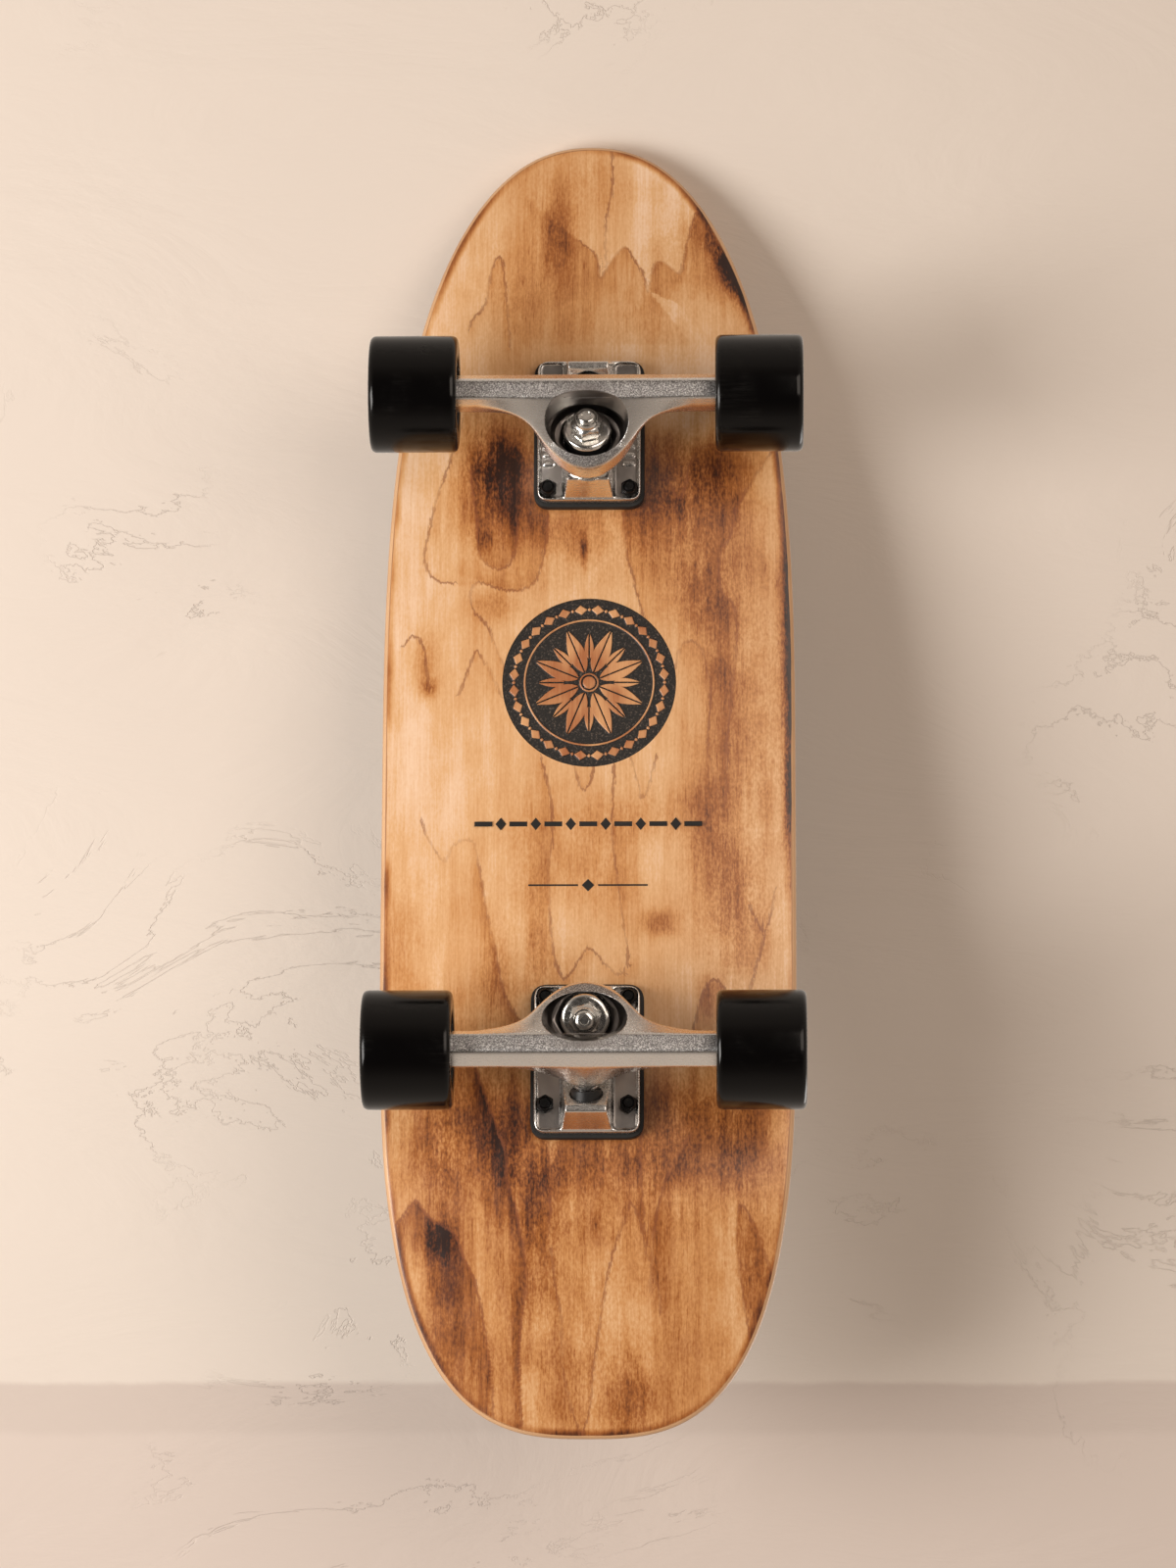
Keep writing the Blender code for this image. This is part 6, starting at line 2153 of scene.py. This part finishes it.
@dataclass
class KingpinStack:
    """The kingpin with its nut, its cup washers and its bushings, in millimetres."""

    truck: TruckPlace
    finishes: Finishes
    sizes: TruckSizes = field(default_factory=TruckSizes)
    web: float = 5.0
    washer: float = 1.5
    bushing_radius: float = 11.8
    road_bushing_height: float = 10.5
    end: float = -27.5
    thread_end: float = -14.0
    thread_pitch: float = 1.06
    head_radius: float = 7.5
    head_station: float = 10.2
    head_height: float = 6.0
    nut_across_flats: float = 14.3
    nut_height: float = 10.0
    nut_collar: float = 2.9

    def place(self) -> Matrix:
        """Returns the kingpin's placement."""
        return self.truck.matrix() @ self.sizes.kingpin_frame()

    def build(self) -> None:
        """Builds the stack from the baseplate's boss down to the nut."""
        prefix = self.truck.prefix
        station = self.sizes.seat_station / MM
        shank = self.sizes.kingpin_radius / MM
        bore = shank + GAP
        wide = self.bushing_radius

        name = prefix + "_pin"
        top = station + 10.0
        mesh = threaded(name, shank, self.end, top, self.thread_end, self.thread_pitch, self.place())
        show(name, mesh, self.finishes.plated, BOARD, (prefix + "_kingpin",))
        under = station + self.head_station
        top = under + self.head_height
        head = [(0.0, top), (self.head_radius, top), (self.head_radius, under), (0.0, under)]
        mesh = lathe(prefix + "_pin_head", head, 0.8, self.place(), 48, closed=False)
        show(prefix + "_pin_head", mesh, self.finishes.plated, BOARD)

        top = station - GAP
        bottom = top - self.washer
        board_washer = [
            (bore, top - 0.4),
            (9.4, top - 0.4),
            (10.6, top),
            (11.7, bottom - 0.9),
            (10.9, bottom - 0.9),
            (10.2, bottom),
            (bore, bottom),
        ]
        self.build_washer("_boardside_cup", board_washer, 0.4, "_boardside_washer")

        high = bottom - GAP
        low = self.web / 2.0 + GAP
        middle = (low + high) / 2.0
        barrel = [(bore, high), (10.0, high), (wide, middle + 1.0), (wide, low), (bore, low)]
        self.build_bushing("_boardside_barrel", barrel, "_boardside_bushing")

        high = -low
        low = high - self.road_bushing_height
        cone = [(bore, high), (wide, high), (wide, high - 2.6), (9.75, low), (bore, low)]
        self.build_bushing("_roadside_cone", cone, "_roadside_bushing")

        top = low - GAP
        bottom = top - self.washer
        road_washer = [
            (bore, top),
            (10.2, top),
            (11.2, top + 1.3),
            (12.2, top + 1.1),
            (11.5, bottom + 0.5),
            (10.3, bottom),
            (bore, bottom),
        ]
        self.build_washer("_roadside_cup", road_washer, 0.5, "_roadside_washer")

        seat = facing_down(self.place(), bottom - GAP)
        name = prefix + "_lock_nut"
        mesh = nut(
            name, self.nut_across_flats, self.nut_height, self.nut_collar, bore, seat, FULL_TURN / 24.0
        )
        show(name, mesh, self.finishes.plated, BOARD, (prefix + "_kingpin_nut",))

    def build_washer(self, name: str, corners: Profile, radius: float, node: str) -> None:
        """Turns a cup washer.

        Args:
            name: Its name after the truck's.
            corners: Its profile's corners.
            radius: Their rounding.
            node: The name after the truck's of the node that it replaces.
        """
        prefix = self.truck.prefix
        mesh = lathe(prefix + name, corners, radius, self.place(), 96)
        show(prefix + name, mesh, self.finishes.plated, BOARD, (prefix + node,))

    def build_bushing(self, name: str, corners: Profile, node: str) -> None:
        """Turns a bushing that gives between the board and the hanger.

        Args:
            name: Its name after the truck's.
            corners: Its profile's corners.
            node: The name after the truck's of the node that it replaces.
        """
        prefix = self.truck.prefix
        place = self.place()
        profile = rounded(corners, 1.3, 4)
        ring = np.concatenate([profile, profile[:1]])
        even = np.linspace(0.0, len(profile), len(profile) * 5 // 2 + 1)[:-1]
        profile = np.stack([np.interp(even, np.arange(len(ring)), column) for column in ring.T], axis=-1)
        mesh = skin(prefix + name, moved(revolved(profile * MM, 72), place), wrap_rows=True)
        piece = loose(prefix + name, mesh)
        mesh.materials.append(self.finishes.urethane)
        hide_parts(prefix + node)
        self.truck.hanger_body()
        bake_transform(piece)
        LOG.info("%s: blended between the board and the hanger", prefix + name)


@dataclass
class MountingBolts:
    """A truck's four bolts through the deck, with their lock nuts, in millimetres."""

    truck: TruckPlace
    finishes: Finishes
    sizes: TruckSizes = field(default_factory=TruckSizes)
    head_height: float = 17.7
    head_radius: float = 4.7
    length: float = 28.6
    shank_radius: float = 2.5
    land: float = -4.8
    nut_across_flats: float = 8.0
    nut_height: float = 5.8
    nut_collar: float = 1.7
    sides: int = 64

    def head(self) -> np.ndarray:
        """Works out the head's top: a low dome with a cross-shaped recess.

        Returns:
            A polar grid from the middle to the rim, about the bolt's axis.
        """
        angle = np.arange(self.sides) * (FULL_TURN / self.sides)
        radius, angle = np.meshgrid(np.linspace(0.0, self.head_radius, 16), angle, indexing="ij")
        x = radius * np.cos(angle)
        y = radius * np.sin(angle)
        arm = np.minimum(np.abs(x), np.abs(y))
        recess = (1.0 - ease((arm - 0.35) / 0.3)) * (1.0 - ease((radius - 1.9) / 0.6))
        dome = 0.25 * (1.0 - (radius / self.head_radius) ** 2)
        return np.stack([x, y, self.head_height + 0.05 + dome - 1.2 * recess], axis=-1)

    def build(self) -> None:
        """Builds the four bolts and their nuts."""
        for end, along in (("inner", 1.0), ("outer", -1.0)):
            for side, sign in (("left", 1.0), ("right", -1.0)):
                x = along * self.sizes.bolt_length_spacing / 2.0
                y = sign * self.truck.heading * self.sizes.bolt_width_spacing / 2.0
                place = self.truck.matrix() @ Matrix.Translation((x, y, 0.0))
                self.build_bolt(f"{self.truck.prefix}_{end}_{side}", place)

    def build_bolt(self, name: str, place: Matrix) -> None:
        """Builds one bolt and its nut.

        Args:
            name: The bolt's name.
            place: Its placement, with its axis along Z.
        """
        shank = self.shank_radius
        high = self.head_height
        low = high - self.length
        head = (self.head_radius, high - 0.2)
        profile = np.array([head, (shank, high - 3.0), (shank, low + 0.5), (2.0, low), (0.0, low)])
        points = np.concatenate([self.head(), revolved(profile, self.sides)])
        mesh = skin(name + "_screw", moved(points * MM, place), crisp=40.0)
        show(name + "_screw", mesh, self.finishes.oxide, BOARD, (name + "_bolt",))
        seat = facing_down(place, self.land)
        bore = shank + 0.25
        mesh = nut(name + "_nut", self.nut_across_flats, self.nut_height, self.nut_collar, bore, seat)
        show(name + "_nut", mesh, self.finishes.oxide, BOARD, (name + "_lock_nut",))


@dataclass
class Wheel:
    """A wheel with its bearings, the stack clamped inside them and the axle nut, in millimetres."""

    name: str
    hanger_body: str
    place: Matrix
    finishes: Finishes
    radius: float = 29.25
    half_width: float = 22.0
    bearing_middle: float = 8.5
    bearing_half_width: float = 3.5
    bearing_radius: float = 11.0
    nut_seat: float = 13.0
    nut_across_flats: float = 13.0
    nut_height: float = 7.2
    nut_collar: float = 1.9
    nut_bore: float = 4.3

    def both_halves(self, half: Profile) -> Profile:
        """Adds to the half of a profile at heights over 0 its mirror image under 0."""
        return half + [(radius, -height) for radius, height in reversed(half)]

    def tyre(self) -> np.ndarray:
        """Works out the urethane's section: rounded edges, dished sides, and the seats of the bearings.

        Returns:
            The closed section, shaped (points, 2).
        """
        half = self.half_width
        seat = self.bearing_radius + GAP
        inner = self.bearing_middle - self.bearing_half_width - GAP
        outer = self.bearing_middle + self.bearing_half_width + GAP
        corners = self.both_halves(
            [
                (8.5, inner),
                (seat, inner),
                (seat, outer),
                (13.5, outer),
                (19.5, half - 0.2),
                (22.0, half),
                (self.radius, half),
            ]
        )
        roundings = np.array([0.3, 0.3, 0.3, 1.0, 1.2, 1.0, 4.2])
        return rounded(corners, np.concatenate([roundings, roundings[::-1]]), 7)

    def build(self) -> None:
        """Builds the wheel and what turns with it, and what the axle nut clamps."""
        body = self.name + "_wheel_body"
        name = self.name + "_tyre"
        mesh = skin(name, moved(revolved(self.tyre() * MM, 160), self.place), wrap_rows=True, crisp=42.0)
        show(name, mesh, self.finishes.wheel, body, (self.name + "_wheel",))
        self.build_bearing("outboard", self.bearing_middle, body)
        self.build_bearing("inboard", -self.bearing_middle, body)
        half_stack = [(5.2, 5.0), (6.1, 5.0), (6.1, 11.8), (5.9, 11.9), (5.9, 12.7), (self.nut_bore, 12.7)]
        name = self.name + "_sleeve"
        mesh = lathe(name, self.both_halves(half_stack), 0.2, self.place, 64)
        node = self.name + "_bearing_stack"
        show(name, mesh, self.finishes.steel, self.hanger_body, (node,))
        name = self.name + "_end_nut"
        seat = self.place @ Matrix.Translation((0.0, 0.0, self.nut_seat * MM))
        mesh = nut(name, self.nut_across_flats, self.nut_height, self.nut_collar, self.nut_bore, seat)
        show(name, mesh, self.finishes.plated, self.hanger_body, (self.name + "_axle_nut",))

    def build_bearing(self, end: str, middle: float, body: str) -> None:
        """Builds a bearing's outer ring and its shield.

        Args:
            end: Its name after the wheel's.
            middle: The height of its middle.
            body: The wheel's body.
        """
        outer = self.bearing_radius
        low = middle - self.bearing_half_width
        high = middle + self.bearing_half_width
        name = f"{self.name}_{end}_race"
        race = [(outer, high), (outer, low), (9.5, low), (9.5, high)]
        mesh = lathe(name, race, 0.4, self.place, 72)
        show(name, mesh, self.finishes.steel, body, (f"{self.name}_{end}_bearing",))
        name = f"{self.name}_{end}_shield"
        shield = [(9.4, 3.1), (9.4, -3.1), (8.9, -3.3), (6.5, -3.1), (6.5, 3.1), (8.9, 3.3)]
        mesh = lathe(name, [(radius, middle + height) for radius, height in shield], 0.3, self.place, 72)
        show(name, mesh, self.finishes.shield, body)


@dataclass
class Truck:
    """One truck with its two wheels."""

    place: TruckPlace
    finishes: Finishes
    sizes: TruckSizes = field(default_factory=TruckSizes)
    wheel_offset: float = 86.5 * MM

    def build(self) -> None:
        """Builds the truck from the riser down to the wheels."""
        Baseplate(self.place, self.finishes, self.sizes).build()
        Hanger(self.place, self.finishes, self.sizes).build()
        KingpinStack(self.place, self.finishes, self.sizes).build()
        MountingBolts(self.place, self.finishes, self.sizes).build()
        for side, sign in (("left", 1.0), ("right", -1.0)):
            across = sign * self.place.heading * self.wheel_offset
            outward = Matrix.Rotation(-math.pi / 2.0 if across > 0.0 else math.pi / 2.0, 4, "X")
            middle = Matrix.Translation((self.sizes.axle[0], across, self.sizes.axle[1]))
            wheel_place = self.place.matrix() @ middle @ outward
            name = f"{self.place.prefix}_{side}"
            Wheel(name, self.place.hanger_body(), wheel_place, self.finishes).build()


# Stage


@dataclass
class Studio:
    """The camera at the photograph's angle, the light, and a pale wall, ledge and ground.

    The board stands on its wheels here, and the camera looks at its underside from below, as at a board that
    leans on a wall with its nose up.
    """

    lean: float = math.radians(13.8)
    yaw: float = math.radians(1.4)
    roll: float = math.radians(-0.15)
    target: tuple[float, float, float] = (-9.0 * MM, -0.2 * MM, 87.25 * MM)
    distance: float = 3.0
    lens: float = 136.7
    sensor: float = 36.0
    wall_gap: float = 2.0 * MM
    wall_half_size: float = 6.0
    ground_half_size: float = 8.0
    ledge_corner: tuple[float, float] = (-314.5 * MM, -310.5 * MM)
    ledge_lip: tuple[float, float] = (-342.0 * MM, -336.0 * MM)
    wall_colour: Colour = seen(235, 223, 211)
    floor_colour: Colour = seen(223, 208, 197)
    ledge_colour: Colour = seen(217, 202, 191)
    marks_colour: Colour = seen(170, 147, 130)

    def axes(self) -> tuple[Vector, Vector, Vector]:
        """Works out the leaning board's directions, as the camera sees them.

        Returns:
            Forward, up and right.
        """
        forward = Vector((math.sin(self.lean), 0.0, math.cos(self.lean)))
        up = Vector((math.cos(self.lean), 0.0, -math.sin(self.lean)))
        return forward, up, forward.cross(up)

    def spot(self, right: float, up: float, nearer: float) -> Vector:
        """Returns the place that lies so far right of the target, above it, and nearer to the camera."""
        forward, upward, sideways = self.axes()
        return Vector(self.target) + sideways * right + upward * up - forward * nearer

    def wall_depth(self) -> float:
        """Finds how far behind the target the wall stands, so that the board just touches it.

        Returns:
            The distance along the camera's view.
        """
        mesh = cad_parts["deck"].data
        places = np.empty(len(mesh.vertices) * 3)
        mesh.vertices.foreach_get("co", places)
        along = places.reshape(-1, 3) @ np.array(self.axes()[0])
        return float(along.max()) - self.axes()[0].dot(Vector(self.target)) + self.wall_gap

    def build_camera(self) -> None:
        """Sets the camera at the photograph's viewing angle."""
        place = self.spot(self.distance * math.sin(self.yaw), 0.0, self.distance * math.cos(self.yaw))
        forward = (Vector(self.target) - place).normalized()
        up = self.axes()[1]
        right = forward.cross(up).normalized()
        up = right.cross(forward)
        turn = Matrix((right, up, -forward)).transposed().to_4x4() @ Matrix.Rotation(self.roll, 4, "Z")
        data = bpy.data.cameras.new("camera")
        data.lens = self.lens
        data.sensor_width = self.sensor
        camera = loose("camera", data)
        camera.matrix_world = Matrix.Translation(place) @ turn
        bpy.context.scene.camera = camera

    def build_lamp(
        self,
        name: str,
        place: Vector,
        aim: Vector,
        size: float,
        power: float,
        colour: Colour,
        mirrored: bool = True,
    ) -> None:
        """Hangs a soft square lamp.

        Args:
            name: Its name.
            place: Where it hangs.
            aim: The place that it faces.
            size: Its width and height.
            power: Its power in watts.
            colour: Its colour.
            mirrored: Whether glossy surfaces mirror it.
        """
        data = bpy.data.lights.new(name, "AREA")
        data.shape = "RECTANGLE"
        data.size = size
        data.size_y = size
        data.energy = power
        data.color = colour
        lamp = loose(name, data)
        direction = (place - aim).normalized()
        turn = direction.to_track_quat("Z", "Y").to_matrix().to_4x4()
        lamp.matrix_world = Matrix.Translation(place) @ turn
        lamp.visible_glossy = mirrored

    def build_lamps(self) -> None:
        """Hangs a key from the lower left, a fill from the right, and soft lamps above and behind."""
        aim = Vector(self.target)
        key = self.spot(-1.48, -0.14, 1.36)
        overhead = Vector((0.2, -0.9, 2.3))
        self.build_lamp("key", key, aim, 1.1, 38.0, (1.0, 0.96, 0.92))
        self.build_lamp("fill", self.spot(1.2, 0.7, 2.2), aim, 1.6, 20.0, (1.0, 0.87, 0.76))
        self.build_lamp("overhead", overhead, aim, 1.8, 31.0, (1.0, 0.98, 0.95), mirrored=False)
        self.build_lamp("back", Vector((-0.9, 1.6, 1.7)), aim, 1.2, 14.0, (1.0, 0.97, 0.93))

    def build_world(self) -> None:
        """Lights the air: pale to the camera, and dimmer from where the camera stands."""
        world = bpy.data.worlds.new("studio")
        world.use_nodes = True
        tree = world.node_tree
        place = tree.nodes.new("ShaderNodeTexCoord")
        along = tree.nodes.new("ShaderNodeVectorMath")
        along.operation = "DOT_PRODUCT"
        along.inputs[1].default_value = tuple(self.axes()[0])
        tree.links.new(place.outputs["Generated"], along.inputs[0])
        ramp = tree.nodes.new("ShaderNodeValToRGB")
        share = tree.nodes.new("ShaderNodeMapRange")
        share.inputs["From Min"].default_value = -1.0
        tree.links.new(along.outputs["Value"], share.inputs["Value"])
        tree.links.new(share.outputs[0], ramp.inputs[0])
        stops = [
            (0.0, (0.035, 0.03, 0.027)),
            (0.04, (0.045, 0.038, 0.033)),
            (0.1, (0.12, 0.098, 0.082)),
            (0.2, (0.3, 0.25, 0.21)),
            (0.4, (0.45, 0.38, 0.32)),
            (0.6, (0.55, 0.47, 0.4)),
            (1.0, (0.65, 0.57, 0.5)),
        ]
        while len(ramp.color_ramp.elements) < len(stops):
            ramp.color_ramp.elements.new(1.0)
        for element, (position, colour) in zip(ramp.color_ramp.elements, stops):
            element.position = position
            element.color = (*colour, 1.0)
        light_path = tree.nodes.new("ShaderNodeLightPath")
        pale = tree.nodes.new("ShaderNodeMix")
        pale.data_type = "RGBA"
        pale.inputs[7].default_value = (*self.wall_colour, 1.0)
        tree.links.new(light_path.outputs["Is Camera Ray"], pale.inputs[0])
        tree.links.new(ramp.outputs["Color"], pale.inputs[6])
        tree.links.new(pale.outputs[2], tree.nodes["Background"].inputs["Color"])
        bpy.context.scene.world = world

    def sheet(self, name: str, corners: list[Vector], material: bpy.types.Material) -> None:
        """Stretches a flat sheet of the stage between four corners.

        Args:
            name: Its name.
            corners: Its corners, anticlockwise as seen from its front.
            material: Its material.
        """
        mesh = bpy.data.meshes.new(name)
        mesh.from_pydata([tuple(corner) for corner in corners], [], [(0, 1, 2, 3)])
        mesh.materials.append(material)
        thing = loose(name, mesh)

    def one_sided(self, paint: Paint, share: Socket | float = 1.0) -> None:
        """Lets only the camera see a sheet, and only its front, so that it hides nothing from other sides.

        Args:
            paint: The sheet's material.
            share: How solid its front is, from 0 to 1.
        """
        light_path = paint.add("ShaderNodeLightPath")
        geometry = paint.add("ShaderNodeNewGeometry")
        front = paint.maths("SUBTRACT", 1.0, geometry.outputs["Backfacing"])
        shown = paint.maths("MULTIPLY", light_path.outputs["Is Camera Ray"], front)
        shown = paint.maths("MULTIPLY", shown, share)
        clear = paint.add("ShaderNodeBsdfTransparent")
        mix = paint.add("ShaderNodeMixShader")
        output = paint.tree.nodes["Material Output"]
        paint.feed(shown, mix.inputs[0])
        paint.feed(clear.outputs[0], mix.inputs[1])
        paint.feed(paint.shader.outputs[0], mix.inputs[2])
        paint.feed(mix.outputs[0], output.inputs["Surface"])

    def square(self, half_size: float) -> list[tuple[float, float]]:
        """Returns a square's corners about 0, anticlockwise."""
        signs = ((-1.0, -1.0), (1.0, -1.0), (1.0, 1.0), (-1.0, 1.0))
        return [(x * half_size, y * half_size) for x, y in signs]

    def build_wall(self) -> None:
        """Builds the wall behind the board, with the ledge that it stands on."""
        up = self.axes()[1]
        depth = self.wall_depth()
        paint = Paint("plaster")
        level = paint.maths("SUBTRACT", paint.measure("DOT_PRODUCT", up), up.dot(Vector(self.target)))
        clouds = paint.noise(paint.stretched((2.5, 2.5, 2.5)), 4.0, 0.5)
        trowel = paint.noise(paint.stretched((14.0, 5.0, 14.0), turn=30.0), 6.0, 0.62, 1.2)
        ragged = paint.noise(paint.stretched((9.0, 6.0, 9.0), (3.0, 1.0, 2.0), 20.0), 7.0, 0.66, 0.9)
        lips = paint.maths("ABSOLUTE", paint.maths("SUBTRACT", ragged, 0.5))
        lips = paint.span(lips, 0.0, 0.006, 1.0, 0.0)
        kept = paint.noise(paint.stretched((3.0, 3.0, 3.0), (7.0, 2.0, 5.0)), 3.0, 0.6)
        lips = paint.maths("MULTIPLY", lips, paint.span(kept, 0.52, 0.62))
        wall = paint.mix(paint.span(clouds, 0.35, 0.7, 0.0, 0.35), self.wall_colour, seen(226, 213, 202))
        wavy = paint.maths("ADD", level, paint.span(ragged, 0.3, 0.7, -1.2 * MM, 1.2 * MM))
        corner = paint.span(wavy, *self.ledge_corner, 1.0, 0.0)
        lip = paint.span(wavy, *self.ledge_lip, 1.0, 0.0)
        wall = paint.mix(paint.span(lips, 0.0, 1.0, 0.0, 0.13), wall, self.marks_colour)
        floor = paint.mix(lip, self.ledge_colour, self.floor_colour)
        paint.set(base_color=paint.mix(corner, wall, floor), roughness=0.9)
        paint.relief(paint.maths("ADD", trowel, paint.maths("MULTIPLY", lips, -0.25)), 3.0 * MM, 0.55)
        away = paint.measure("DISTANCE", Vector(self.target))
        self.one_sided(paint, paint.span(away, 0.75, 1.5, 1.0, 0.0))
        corners = [self.spot(x, y, -depth) for x, y in self.square(self.wall_half_size)]
        self.sheet("wall", corners, paint.material)

    def build_ground(self) -> None:
        """Builds the ground under the wheels."""
        paint = Paint("ground")
        clouds = paint.noise(paint.stretched((3.0, 3.0, 3.0)), 4.0, 0.5)
        colour = paint.mix(paint.span(clouds, 0.35, 0.7, 0.0, 0.3), self.wall_colour, self.floor_colour)
        paint.set(base_color=colour, roughness=0.9)
        self.one_sided(paint, paint.span(paint.measure("DISTANCE", Vector()), 0.7, 1.9, 1.0, 0.0))
        corners = [Vector((x, y, 0.0)) for x, y in self.square(self.ground_half_size)]
        self.sheet("ground", corners, paint.material)

    def build(self) -> None:
        """Builds the camera, the light and the stage."""
        bpy.context.scene.view_settings.view_transform = "Standard"
        self.build_camera()
        self.build_lamps()
        self.build_world()
        self.build_wall()
        self.build_ground()


def truck_place(prefix: str, heading: float) -> TruckPlace:
    """Finds a truck from its packed baseplate.

    Args:
        prefix: The truck's name.
        heading: 1 where its kingpin points to the nose, and -1 where it points to the tail.

    Returns:
        Where its own frame stands.
    """
    low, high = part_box(prefix + "_baseplate")
    middle_of_plate = -4.0 * MM
    return TruckPlace(prefix, ((low[0] + high[0]) / 2.0 - heading * middle_of_plate, high[2]), heading)


def main() -> None:
    """Builds the stage and the board."""
    logging.basicConfig(level=logging.INFO, format="%(name)s %(message)s")
    Studio().build()
    finishes = Finishes()
    Deck(finishes).build()
    for prefix, heading in (("rear", 1.0), ("front", -1.0)):
        Truck(truck_place(prefix, heading), finishes).build()


if __name__ == "__main__":
    main()
